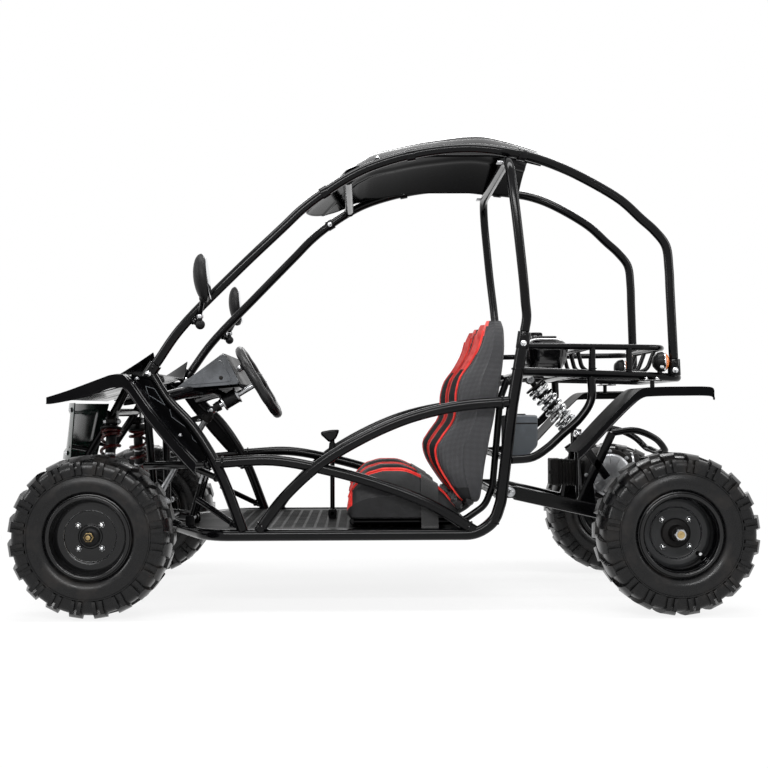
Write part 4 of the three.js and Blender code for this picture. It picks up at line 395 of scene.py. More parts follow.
FINISHES = {
    "gloss_tube": lambda: coated("gloss_tube_paint", bpy.context.scene.kart_cage.paint, "070708",
                                 (0.1, 0.22), 260, 0.035),
    "gloss_panel": lambda: coated("gloss_panel_plastic", "020203", "060607", (0.1, 0.22), 340, 0.02,
                                  level=0.06),
    "matt_sheet": lambda: coated("matt_black_sheet", "030303", "080808", (0.38, 0.5), 900, 0.03, level=0.03),
    # Pale grey for the vent edges: a painted highlight that stands in for their glossy reflections.
    "vent_edge_painted_highlight": lambda: coated("vent_edge_painted_highlight", "3c4043", "74787c", (0.2, 0.34), 900, 0.05, level=0.5),
    # Mid grey on black plastic: painted sheen for the grey reflections on the dash sides.
    "dash_plastic_painted_sheen": lambda: coated("dash_plastic_painted_sheen", "333538", "56595d", (0.16, 0.34), 700, 0.05, level=0.6),
    "nose_panel": lambda: coated("nose_panel_plastic", "04140f", "0a2219", (0.1, 0.24), 340, 0.04, 0.1,
                                 level=0.2),
    "tank_plastic": lambda: coated("tank_plastic", "040405", "0c0c0d", (0.08, 0.2), 700, 0.02, 0.2,
                                   level=0.5),
    "box_plastic": lambda: coated("box_plastic", "383d42", "545a61", (0.3, 0.46), 900, 0.1, level=0.45),
    "soft_plastic": lambda: coated("soft_black_plastic", "060607", "121213", (0.36, 0.56), 800, 0.12),
    "rim_paint": lambda: coated("rim_paint", "030304", "09090a", (0.12, 0.22), 420, 0.02, level=0.36),
    # Lighter grey for the rear rim discs: painted light, since the same rim paint looks lighter there where
    # light falls on it.
    "hub_paint": lambda: coated("rear_disc_painted_light_grey", "161718", "2a2b2d", (0.34, 0.5), 300, 0.16, level=0.3),
    "heat_paint": lambda: coated("heat_paint", "0b0a0a", "1c1917", (0.5, 0.75), 500, 0.25),
    "spring_red": lambda: coated("red_spring_coat", "2c0504", "4c0907", (0.2, 0.34), 300, 0.03, 0.1),
    "button_red": lambda: coated("button_red", "a80f0b", "c3221c", (0.25, 0.4), 500, 0.04, 0.2),
    "cable_red": lambda: coated("red_brake_line", "9c1411", "c22a24", (0.3, 0.5), 500, 0.05, 0.1),
    "hose_black": lambda: coated("black_hose", "050505", "101010", (0.4, 0.6), 600, 0.12),
    "thread_red": lambda: coated("red_thread", "b5201b", "d8453c", (0.6, 0.8), 900, 0.2),
    "thread_black": lambda: coated("black_thread", "0c0c0c", "1a1a1a", (0.6, 0.8), 900, 0.2),
    "grip_rubber": lambda: coated("pedal_rubber", "060606", "141414", (0.6, 0.8), 600, 0.3),
    "zinc": lambda: brushed("zinc_steel", "8a8b8d", "c4c5c7", (0.24, 0.42)),
    "chrome": lambda: brushed("chrome_plate", "b6b8bb", "f0f0f0", (0.05, 0.16)),
    "chain_steel": lambda: brushed("chain_steel", "4b4a48", "8d8b88", (0.3, 0.5)),
    "brass": lambda: brushed("brass_fitting", "7a6440", "b9a274", (0.22, 0.4)),
    "mirror_glass": lambda: brushed("mirror_glass", "c2c6ca", "dfe2e5", (0.02, 0.06)),
    "alloy": lambda: coated("cast_alloy", "8c8d8f", "c6c7c9", (0.3, 0.5), 300, 0.3, 0.0, 1.0, 30.0),
    "tyre_rubber": tyre_rubber,
    "seat_mesh": seat_mesh,
    "leather_black": lambda: leather("black_seat_leather", "060607", "141416"),
    "leather_red": lambda: leather("red_seat_leather", bpy.context.scene.kart_seats.red, "d8382f", 0.5),
    "leather_wing": lambda: leather("headrest_wing_leather", "b92a28", "e0605a", 0.5),
    "webbing": webbing,
    "grip_foam": foam_grip,
    "lens_clear": lambda: lens("clear_lens", "b9bcbe", "eff1f2"),
    "lens_amber": lambda: lens("amber_lens", "b84a05", "f08a1d"),
    "lens_red": lambda: lens("red_lens", "7c0806", "c41d17"),
}
MADE = {}


def finish(name):
    """The material of a finish, made once."""
    if name not in MADE:
        MADE[name] = FINISHES[name]()
    return MADE[name]


# Closed forms

class Shape:
    """The closed forms of one piece, each face with its finish."""

    def __init__(self):
        self.corners, self.faces, self.slots, self.finishes = [], [], [], []

    def slot(self, name):
        if name not in self.finishes:
            self.finishes.append(name)
        return self.finishes.index(name)

    def put(self, corners, faces, finish_name):
        """Adds one closed form, turned so that its faces point outwards."""
        volume = 0.0
        middle = sum(corners, Vector()) / len(corners)
        near = [corner - middle for corner in corners]
        for face in faces:
            for i in range(1, len(face) - 1):
                volume += near[face[0]].dot(near[face[i]].cross(near[face[i + 1]]))
        first = len(self.corners)
        self.corners.extend(corners)
        for i, face in enumerate(faces):
            order = face if volume > 0 else face[::-1]
            self.faces.append([first + corner for corner in order])
            self.slots.append(self.slot(finish_name if isinstance(finish_name, str) else finish_name[i]))
        return self

    def take(self, mesh, finish_name, matrix=None):
        """Adds a closed mesh that another tool made."""
        first = len(self.corners)
        matrix = matrix or Matrix.Identity(4)
        self.corners.extend(matrix @ vertex.co for vertex in mesh.vertices)
        for face in mesh.polygons:
            self.faces.append([first + corner for corner in face.vertices])
            self.slots.append(self.slot(finish_name))
        return self

    def rings(self, rings, finish_name, loop=False, mark=None):
        """Faces between rings of equal length, closed at both ends or joined into a loop."""
        size, corners, faces, names = len(rings[0]), [], [], []
        for ring in rings:
            corners.extend(ring)
        count = len(rings) if loop else len(rings) - 1
        for i in range(count):
            for k in range(size):
                a, b = i * size, ((i + 1) % len(rings)) * size
                faces.append([a + k, a + (k + 1) % size, b + (k + 1) % size, b + k])
                names.append(mark(i, k) if mark else finish_name)
        if not loop:
            for first in (0, (len(rings) - 1) * size):
                face = [first + k for k in range(size)]
                faces.append(face[::-1] if first == 0 else face)
                names.append(finish_name)
        return self.put(corners, faces, names)

    def tube(self, points, radius, finish_name="gloss_tube", sides=16, loop=False, edge=0.15):
        """A round tube along a line, its ends eased."""
        radii = radius if isinstance(radius, (list, tuple)) else [radius] * len(points)
        points = [Vector(p) for p in points]
        if loop:
            runs = [(points[(i + 1) % len(points)] - points[i - 1]).normalized() for i in range(len(points))]
        else:
            steps = [(b - a).normalized() for a, b in zip(points, points[1:])]
            runs = [steps[0]] + [(a + b).normalized() for a, b in zip(steps, steps[1:])] + [steps[-1]]
            cut = [edge * radii[0], edge * radii[-1]]
            points = [points[0], points[0] + runs[0] * cut[0], *points[1:-1], points[-1] - runs[-1] * cut[1],
                      points[-1]]
            radii = [radii[0] - cut[0], *radii, radii[-1] - cut[1]]
            runs = [runs[0], *runs, runs[-1]]
        near = UP if abs(runs[0].z) < 0.9 else ALONG
        side = runs[0].cross(near).normalized()
        rings = []
        for point, run, size in zip(points, runs, radii):
            side = (side - run * side.dot(run)).normalized()
            other = run.cross(side)
            ring = []
            for k in range(sides):
                angle = PI2 * k / sides
                ring.append(point + (side * math.cos(angle) + other * math.sin(angle)) * size)
            rings.append(ring)
        return self.rings(rings, finish_name, loop=loop)

    def lathe(self, profile, origin, direction, finish_name="gloss_tube", segments=32, ease=0.0, start=0.0):
        """A profile of radius and height turned about a line; a name per step may be given."""
        profile = [Vector(p) for p in profile]
        poles = profile[0].x < 1e-9 and profile[-1].x < 1e-9
        if ease:
            profile = rounded(profile, ease, not poles)
        place = basis(origin, direction)
        corners, rows = [], []
        for radius, height in profile:
            if radius < 1e-9:
                corners.append(place @ Vector((0, 0, height)))
                rows.append([len(corners) - 1] * segments)
                continue
            row = []
            for k in range(segments):
                angle = PI2 * (k + start) / segments
                corners.append(place @ Vector((radius * math.cos(angle), radius * math.sin(angle), height)))
                row.append(len(corners) - 1)
            rows.append(row)
        faces, names = [], []
        steps = len(rows) - 1 if poles else len(rows)
        for i in range(steps):
            a, b = rows[i], rows[(i + 1) % len(rows)]
            for k in range(segments):
                after = (k + 1) % segments
                face = [a[k], a[after], b[after], b[k]]
                face = [c for j, c in enumerate(face) if c != face[j - 1]]
                if len(face) > 2:
                    faces.append(face)
                    names.append(finish_name if isinstance(finish_name, str) else finish_name[i])
        return self.put(corners, faces, names)

    def disc(self, origin, direction, radius, height, finish_name="gloss_tube", segments=32, ease=0.001,
             start=0.0):
        profile = [(0, 0), (radius, 0), (radius, height), (0, height)]
        return self.lathe(profile, origin, direction, finish_name, segments, ease, start)

    def ring(self, origin, direction, outer, inner, height, finish_name="gloss_tube", segments=32,
             ease=0.0008):
        profile = [(inner, 0), (outer, 0), (outer, height), (inner, height)]
        return self.lathe(profile, origin, direction, finish_name, segments, ease)

    def ball(self, centre, radius, finish_name="gloss_tube", segments=24, squash=1.0, direction=UP):
        turns = segments // 2
        profile = [(radius * math.sin(math.pi * i / turns) if 0 < i < turns else 0,
                    -squash * radius * math.cos(math.pi * i / turns)) for i in range(turns + 1)]
        return self.lathe(profile, centre, direction, finish_name, segments)

    def plate(self, outline, place, thickness, finish_name="gloss_tube", bevel=0.0006, ease=0.0):
        """A flat outline in its own frame, given a thickness, its edges eased."""
        outline = rounded(outline, ease, True) if ease else [Vector(p) for p in outline]
        bevel = min(bevel, thickness * 0.4)
        small = inset(outline, bevel)
        levels = [(small, 0), (outline, bevel), (outline, thickness - bevel), (small, thickness)]
        rings = [[place @ Vector((p.x, p.y, height)) for p in line] for line, height in levels]
        return self.rings(rings, finish_name)

    def slab(self, outline, from_y, to_y, finish_name="gloss_tube", bevel=0.0008, ease=0.0):
        """An outline along and up, carried across the kart."""
        place = Matrix.Translation((0, min(from_y, to_y), 0)) @ facing(ALONG, UP, ACROSS)
        return self.plate(outline, place, abs(to_y - from_y), finish_name, bevel, ease)

    def block(self, centre, size, finish_name="gloss_tube", turn=None, bevel=0.001, ease=0.002):
        x, y, z = (value / 2 for value in size)
        place = Matrix.Translation(centre) @ (turn or Matrix.Identity(4)) @ Matrix.Translation((0, 0, -z))
        return self.plate([(-x, -y), (x, -y), (x, y), (-x, y)], place, 2 * z, finish_name, bevel, ease)

    def bar(self, start, end, width, height, finish_name="gloss_tube", bevel=0.0015):
        """A rectangular bar whose height stays near vertical."""
        run = (end - start).normalized()
        near = UP if abs(run.z) < 0.95 else ALONG
        side = near.cross(run).normalized()
        place = Matrix.Translation(start) @ facing(side, run.cross(side), run)
        half = (width / 2, height / 2)
        outline = [(-half[0], -half[1]), (half[0], -half[1]), (half[0], half[1]), (-half[0], half[1])]
        return self.plate(outline, place, (end - start).length, finish_name, bevel, bevel * 1.4)

    def sheet(self, point, columns, rows, thickness, finish_name="gloss_panel", under=None, mark=None):
        """A moulded sheet over a grid of places, thick along its own normals."""
        grid = [[point(i / columns, j / rows) for j in range(rows + 1)] for i in range(columns + 1)]
        below = []
        for i in range(columns + 1):
            row = []
            for j in range(rows + 1):
                along = grid[min(i + 1, columns)][j] - grid[max(i - 1, 0)][j]
                across = grid[i][min(j + 1, rows)] - grid[i][max(j - 1, 0)]
                row.append(grid[i][j] - along.cross(across).normalized() * thickness)
            below.append(row)
        corners = [p for row in grid for p in row] + [p for row in below for p in row]
        wide, half = rows + 1, (columns + 1) * (rows + 1)
        faces, names = [], []
        for i in range(columns):
            for j in range(rows):
                a = i * wide + j
                name = mark(i / columns, j / rows) if mark else finish_name
                faces.append([a, a + wide, a + wide + 1, a + 1])
                names.append(name)
                faces.append([half + a, half + a + 1, half + a + wide + 1, half + a + wide])
                names.append(under or name)
        rim = [i * wide for i in range(columns + 1)] + [columns * wide + j for j in range(1, rows + 1)]
        rim += [i * wide + rows for i in range(columns - 1, -1, -1)] + list(range(rows - 1, 0, -1))
        for a, b in zip(rim, rim[1:] + rim[:1]):
            faces.append([b, a, half + a, half + b])
            names.append(finish_name)
        return self.put(corners, faces, names)

    def coil(self, start, end, radius, wire, turns, finish_name, fine=22, sides=10):
        """A spring whose end turns lie close."""
        place, length = basis(start, end - start), (end - start).length
        count, closed = int(turns * fine), wire * 2.1
        points = []
        for i in range(count + 1):
            turn = turns * i / count
            if turn < 1:
                height = wire + closed * turn * 0.5
            elif turn > turns - 1:
                height = length - wire - closed * (turns - turn) * 0.5
            else:
                height = wire + closed * 0.5 + (length - closed - wire) * (turn - 1) / (turns - 2)
            angle = PI2 * turn
            points.append(place @ Vector((radius * math.cos(angle), radius * math.sin(angle), height)))
        return self.tube(points, wire, finish_name, sides)

    def bolt(self, centre, direction, size, finish_name="zinc", domed=True, washer=True):
        """A hexagon bolt head on its washer."""
        flat = direction.normalized()
        if washer:
            self.disc(centre, flat, size * 1.25, size * 0.22, finish_name, 24, size * 0.06)
        self.disc(centre + flat * size * 0.18, flat, size, size * 0.75, finish_name, 6, size * 0.08)
        if domed:
            self.ball(centre + flat * size * 0.8, size * 0.72, finish_name, 16, 0.8, flat)
        return self

    def weld(self, centre, direction, radius, finish_name="gloss_tube", size=0.0026):
        """A bead of weld round a tube."""
        place = basis(centre, direction)
        points = []
        for k in range(36):
            angle = PI2 * k / 36
            reach = radius + size * (0.25 + 0.3 * (k % 2))
            points.append(place @ Vector((reach * math.cos(angle), reach * math.sin(angle), 0)))
        return self.tube(points, size, finish_name, 6, loop=True)

    def mesh(self, name, crease=35):
        mesh = bpy.data.meshes.new(name)
        mesh.from_pydata([tuple(corner) for corner in self.corners], [], self.faces)
        for finish_name in self.finishes:
            mesh.materials.append(finish(finish_name))
        mesh.polygons.foreach_set("material_index", self.slots)
        mesh.shade_smooth()
        mesh.set_sharp_from_angle(angle=math.radians(crease))
        return mesh

    def piece(self, name, node, slot, stands=True, crease=35):
        """The finished piece: it rides with a node's body and, but for a few, stands for that node."""
        thing = bpy.data.objects.new(name, self.mesh(name, crease))
        bpy.context.scene.collection.objects.link(thing)
        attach(thing, BODY[node])
        if stands:
            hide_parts(node)
        return thing


# Repeats by Geometry Nodes

class Tree:
    """A Geometry Nodes tree with named inputs."""

    def __init__(self, name, inputs):
        self.tree = bpy.data.node_groups.new(name, "GeometryNodeTree")
        for title, kind in inputs.items():
            self.tree.interface.new_socket(name=title, in_out="INPUT", socket_type="NodeSocket" + kind)
        self.tree.interface.new_socket(name="Result", in_out="OUTPUT", socket_type="NodeSocketGeometry")
        self.given = self.tree.nodes.new("NodeGroupInput")
        self.result = self.tree.nodes.new("NodeGroupOutput")

    def make(self, kind, values=None, settings=None, out=0):
        node = self.tree.nodes.new(kind)
        for key, value in (settings or {}).items():
            setattr(node, key, value)
        for key, value in (values or {}).items():
            if isinstance(value, bpy.types.NodeSocket):
                self.tree.links.new(value, node.inputs[key])
            else:
                node.inputs[key].default_value = value
        return node.outputs[out]

    def close(self, instances):
        """Joins the copies, paints them and ends the tree."""
        solid = self.make("GeometryNodeRealizeInstances", {"Geometry": instances})
        painted = self.make("GeometryNodeSetMaterial",
                            {"Geometry": solid, "Material": self.given.outputs["Finish"]})
        self.tree.links.new(painted, self.result.inputs[0])
        return self.tree


def turning_tree():
    """A form copied about a pivot and along a move, one step for each count."""
    tree = Tree("copies about a pivot",
                {"Form": "Geometry", "Count": "Int", "Turn": "Vector", "Move": "Vector",
                 "Pivot": "Vector", "Finish": "Material"})
    given = tree.given.outputs
    points = tree.make("GeometryNodePoints", {"Count": given["Count"]})
    copies = tree.make("GeometryNodeInstanceOnPoints", {"Points": points, "Instance": given["Form"]})
    index = tree.make("GeometryNodeInputIndex")

    def stepped(socket):
        return tree.make("ShaderNodeVectorMath", {0: socket, "Scale": index}, {"operation": "SCALE"})
    turned = tree.make("GeometryNodeRotateInstances", {
        "Instances": copies, "Rotation": stepped(given["Turn"]), "Pivot Point": given["Pivot"],
        "Local Space": False})
    moved = tree.make("GeometryNodeTranslateInstances", {
        "Instances": turned, "Translation": stepped(given["Move"]), "Local Space": False})
    return tree.close(moved)


def following_tree():
    """A form copied at even steps along a line, turned to follow it."""
    tree = Tree("copies along a line", {"Line": "Geometry", "Count": "Int", "Copied": "Object",
                                        "Finish": "Material"})
    given = tree.given.outputs
    curve = tree.make("GeometryNodeMeshToCurve", {"Mesh": given["Line"]})
    points = tree.make("GeometryNodeCurveToPoints", {"Curve": curve, "Count": given["Count"]},
                       {"mode": "COUNT"})
    form = tree.make("GeometryNodeObjectInfo", {"Object": given["Copied"]}, None, "Geometry")
    copies = tree.make("GeometryNodeInstanceOnPoints", {
        "Points": points, "Instance": form, "Rotation": points.node.outputs["Rotation"]})
    return tree.close(copies)


def grown(mesh, maker, values):
    """The plain mesh that a Geometry Nodes tree makes from a starting mesh."""
    name = maker.__name__
    tree = MADE.get(name) or MADE.setdefault(name, maker())
    carrier = bpy.data.objects.new("carrier", mesh)
    bpy.context.scene.collection.objects.link(carrier)
    step = carrier.modifiers.new("copies", "NODES")
    step.node_group = tree
    for item in tree.interface.items_tree:
        if item.item_type == "SOCKET" and item.in_out == "INPUT" and item.name in values:
            step[item.identifier] = values[item.name]
    carrier.update_tag()
    bpy.context.view_layer.update()
    seen = carrier.evaluated_get(bpy.context.evaluated_depsgraph_get())
    result = bpy.data.meshes.new_from_object(seen)
    carrier.modifiers.remove(step)
    bpy.data.objects.remove(carrier)
    return result


def copied(shape, form, count, turn=(0, 0, 0), move=(0, 0, 0), pivot=(0, 0, 0), matrix=None):
    """Adds a form to a shape many times over, about a pivot or along a move."""
    name = form.finishes[0]
    values = {"Count": count, "Turn": turn, "Move": move, "Pivot": tuple(pivot), "Finish": finish(name)}
    return shape.take(grown(form.mesh("form"), turning_tree, values), name, matrix)


def strung(shape, form, points, count):
    """Adds a form to a shape many times over, along a line of points."""
    name = form.finishes[0]
    line = bpy.data.meshes.new("line")
    line.from_pydata([tuple(p) for p in points], [(i, i + 1) for i in range(len(points) - 1)], [])
    pattern = bpy.data.objects.new("pattern", form.mesh("form"))
    bpy.context.scene.collection.objects.link(pattern)
    shape.take(grown(line, following_tree, {"Count": count, "Copied": pattern, "Finish": finish(name)}), name)
    bpy.data.objects.remove(pattern)
    return shape


# Routes of the cage, shared by its pieces

ROOF_RAIL = [
    (-0.412, 0.785, 0.515), (-0.36, 0.806, 0.604), (-0.261, 0.79, 0.729), (-0.144, 0.711, 0.87),
    (-0.105, 0.69, 0.907), (-0.041, 0.685, 0.954), (0.031, 0.695, 0.984), (0.103, 0.703, 1),
    (0.165, 0.711, 1.003), (0.227, 0.7, 0.995), (0.273, 0.65, 0.986), (0.316, 0.59, 0.973),
    (0.359, 0.563, 0.952), (0.436, 0.562, 0.8975), (0.499, 0.564, 0.8275), (0.519, 0.564, 0.795),
    (0.5245, 0.566, 0.745), (0.531, 0.588, 0.5215)]
ROOF_CROSS = (-0.064, 0.6845, 0.939)
HOOP = [
    (0.2455, 0.855, 0.578), (0.2515, 0.857, 0.628), (0.246, 0.88, 0.7), (0.239, 0.893, 0.778),
    (0.232, 0.88, 0.86), (0.227, 0.855, 0.917), (0.2245, 0.82, 0.952), (0.223, 0.76, 0.9715)]
FLOOR_RAIL = [
    (-0.594, 0.26, 0.177), (-0.41, 0.26, 0.177), (-0.372, 0.41, 0.164), (-0.321, 0.76, 0.1625),
    (-0.29, 0.855, 0.1625), (0.16, 0.855, 0.1625), (0.193, 0.855, 0.188), (0.2045, 0.855, 0.232),
    (0.226, 0.855, 0.441), (0.2445, 0.855, 0.572)]
SEAT_RAIL = [
    (-0.055, 0.72, 0.1865), (0.14, 0.72, 0.1865), (0.18, 0.72, 0.22), (0.194, 0.72, 0.262),
    (0.2085, 0.72, 0.453), (0.222, 0.72, 0.497)]
DOWN_TUBE = [(-0.412, 0.785, 0.508), (-0.385, 0.792, 0.456), (-0.336, 0.815, 0.391), (-0.29, 0.843, 0.3),
             (-0.248, 0.855, 0.17)]
SILL_ARC = [(-0.296, 0.845, 0.317), (-0.195, 0.855, 0.322), (-0.1, 0.855, 0.301), (-0.01, 0.855, 0.27),
            (0.08, 0.855, 0.2265), (0.158, 0.855, 0.17)]
GUARD = [(-0.221, 0.855, 0.17), (-0.182, 0.86, 0.235), (-0.12, 0.867, 0.307), (-0.05, 0.872, 0.361),
         (0.04, 0.869, 0.41), (0.13, 0.862, 0.4365), (0.22, 0.855, 0.446)]
SIDE_ARM = [(-0.444, 0.32, 0.303), (-0.305, 0.835, 0.315)]
UPPER_BRACE = [(-0.346, 0.66, 0.306), (-0.2885, 0.842, 0.282)]
LOWER_BRACE = [(-0.335, 0.66, 0.235), (-0.26, 0.85, 0.183)]
FRONT_HOOP = [(-0.592, 0.26, 0.196), (-0.554, 0.345, 0.318), (-0.5, 0.385, 0.425), (-0.478, 0.38, 0.457)]
REAR_HOOP = [(-0.43, 0.26, 0.196), (-0.436, 0.34, 0.36), (-0.444, 0.375, 0.475)]
DASH_HOOP = [(-0.386, 0.792, 0.458), (-0.36, 0.64, 0.468), (-0.315, 0.35, 0.477), (-0.287, 0, 0.482)]
COWL_STAY = [(-0.444, 0.36, 0.468), (-0.377, 0.735, 0.466)]
NOSE_STAY = [(-0.543, 0.353, 0.34), (-0.5825, 0.39, 0.35)]
LOWER_RACK = [(0.238, 0.84, 0.5115), (0.48, 0.62, 0.5025), (0.53, 0.57, 0.5), (0.5415, 0.53, 0.4995),
              (0.5425, 0.42, 0.4995)]
UPPER_RACK = [(0.252, 0.835, 0.566), (0.48, 0.61, 0.566), (0.505, 0.57, 0.566), (0.514, 0.5, 0.566),
              (0.516, 0.4, 0.566)]
RACK_SLAT = [(0.516, 0.565), (0.502, 0.52), (0.47, 0.508), (0.4, 0.508), (0.378, 0.525), (0.37, 0.565)]
CURVED_BRACE = [(0.372, 0.725, 0.5), (0.371, 0.735, 0.45), (0.35, 0.752, 0.41), (0.29, 0.793, 0.346),
                (0.262, 0.815, 0.326), (0.223, 0.84, 0.321)]
REAR_GUARD = [(0.43, 0.358, 0.375), (0.475, 0.355, 0.38), (0.515, 0.33, 0.36), (0.535, 0.28, 0.335),
              (0.542, 0, 0.325)]

POST = route(FLOOR_RAIL)
FLOOR_TOP = FLOOR_RAIL[4][2] * CAGE_HEIGHT + TUBE["floor"]
ARM_PIVOT_HEIGHT = FLOOR_RAIL[0][2] * CAGE_HEIGHT + TUBE["floor"] + 0.017
AXLE_HEIGHT = 0.203
FRONT_AXLE, REAR_AXLE = -WHEELBASE / 2, WHEELBASE / 2
PIVOT = spot((0.236, 0, 0.242))
LOW_CROSS = at_share(POST, 2, 0.325 * CAGE_HEIGHT)
WHEEL_HUB = spot((-0.23, -0.434, 0.493))
COLUMN_JOINT = spot((-0.317, -0.434, 0.43))
COLUMN_LINE = (COLUMN_JOINT - WHEEL_HUB).normalized()
RACK_X = -0.4353 * WHEELBASE
PINION = Vector((RACK_X, -0.13 * HALF_TRACK, ARM_PIVOT_HEIGHT + 0.017))
PINION_LINE = (COLUMN_JOINT - PINION).normalized()
REAR_EYES = (spot((0.29, 0, 0.5)), spot((0.38, 0, 0.371)))
LEVER_FOOT = Vector((-0.097 * WHEELBASE, 0, FLOOR_TOP + 0.012))
PEDAL_X = -0.352 * WHEELBASE
PEDALS = {"throttle_pedal": -0.31 * HALF_TRACK, "brake_pedal": -0.53 * HALF_TRACK}
EAR_REACH = 0.0178  # from the middle of a pedal or lever to its ears
ARM_FEET = (-0.5465, -0.468)
ARM_SPREAD = 0.326 * HALF_TRACK
FRONT_EAR, REAR_EAR = 0.009 + GAP + PLATE / 2, 0.012 + GAP + PLATE / 2  # from a shock eye's middle to its ears
BORE = {"shaft": 0.0094, "pivot": 0.0086, "hinge": 0.0066, "axle": 0.0158}
HUB_END = HALF_TRACK + 0.024 + 0.03
RACK_HOUSING = 0.111
RACK_HALF = RACK_HOUSING + 0.0632
SWING_SPREAD, PIVOT_EARS = 0.165, 0.195
CHAIN_SIDE = 0.108
COWL = {"front": -0.58 * WHEELBASE, "rear": -0.41 * WHEELBASE, "low": 0.456 * CAGE_HEIGHT,
        "high": 0.511 * CAGE_HEIGHT,
        "half": 0.748 * HALF_TRACK}


def cowl_height(x):
    """Height of the sloping cowl at a place along the kart."""
    return COWL["low"] + (x - COWL["front"]) / (COWL["rear"] - COWL["front"]) * (COWL["high"] - COWL["low"])


def above_sleeve(foot, after):
    """Where a tube starts above the sleeve at its foot."""
    return foot + (after - foot).normalized() * (SLEEVE / 2 + GAP)


def front_eyes(side):
    """Upper and lower eye of a front shock."""
    top = Vector((FRONT_AXLE, side * 0.45 * HALF_TRACK, 0.405 * CAGE_HEIGHT))
    return top, Vector((FRONT_AXLE, side * 0.605 * HALF_TRACK, 0.206 * CAGE_HEIGHT))


def king_pin(side):
    """Middle of a front wheel's king pin."""
    return Vector((FRONT_AXLE, side * 0.745 * HALF_TRACK, AXLE_HEIGHT))


def steering_arm_end(side):
    """Ball at the end of a steering arm."""
    return Vector((RACK_X, side * 0.716 * HALF_TRACK, ARM_PIVOT_HEIGHT))


def mirror_foot(side):
    """Middle of a mirror's ball foot."""
    return spot((-0.323, 0.845, 0.6135), side)


def sleeve_at(shape, foot, after):
    """A bolted sleeve at the foot of a cage tube, its upper bolts bright."""
    run = (after - foot).normalized()
    shape.ring(foot - run * SLEEVE / 2, run, 0.017, 0.004, SLEEVE, "gloss_tube", 28, 0.0015)
    out = ACROSS if foot.y > 0 else -ACROSS
    out = (out - run * out.dot(run)).normalized()
    shape.bolt(foot - run * 0.008 + out * 0.0155, out, 0.0062, "chrome")
    shape.bolt(foot - run * 0.008 - out * 0.0155, -out, 0.0062, "chrome", False)
    shape.bolt(foot + run * 0.012 + out * 0.0155, out, 0.0045, "soft_plastic")


def ear_at(shape, x, y, low, high, size=0.024):
    """An upright plate that carries a pin."""
    outline = [(x - size / 2, low), (x + size / 2, low), (x + size / 2, high), (x - size / 2, high)]
    shape.slab(outline, y - 0.0025, y + 0.0025, "gloss_tube", 0.0006, 0.006)


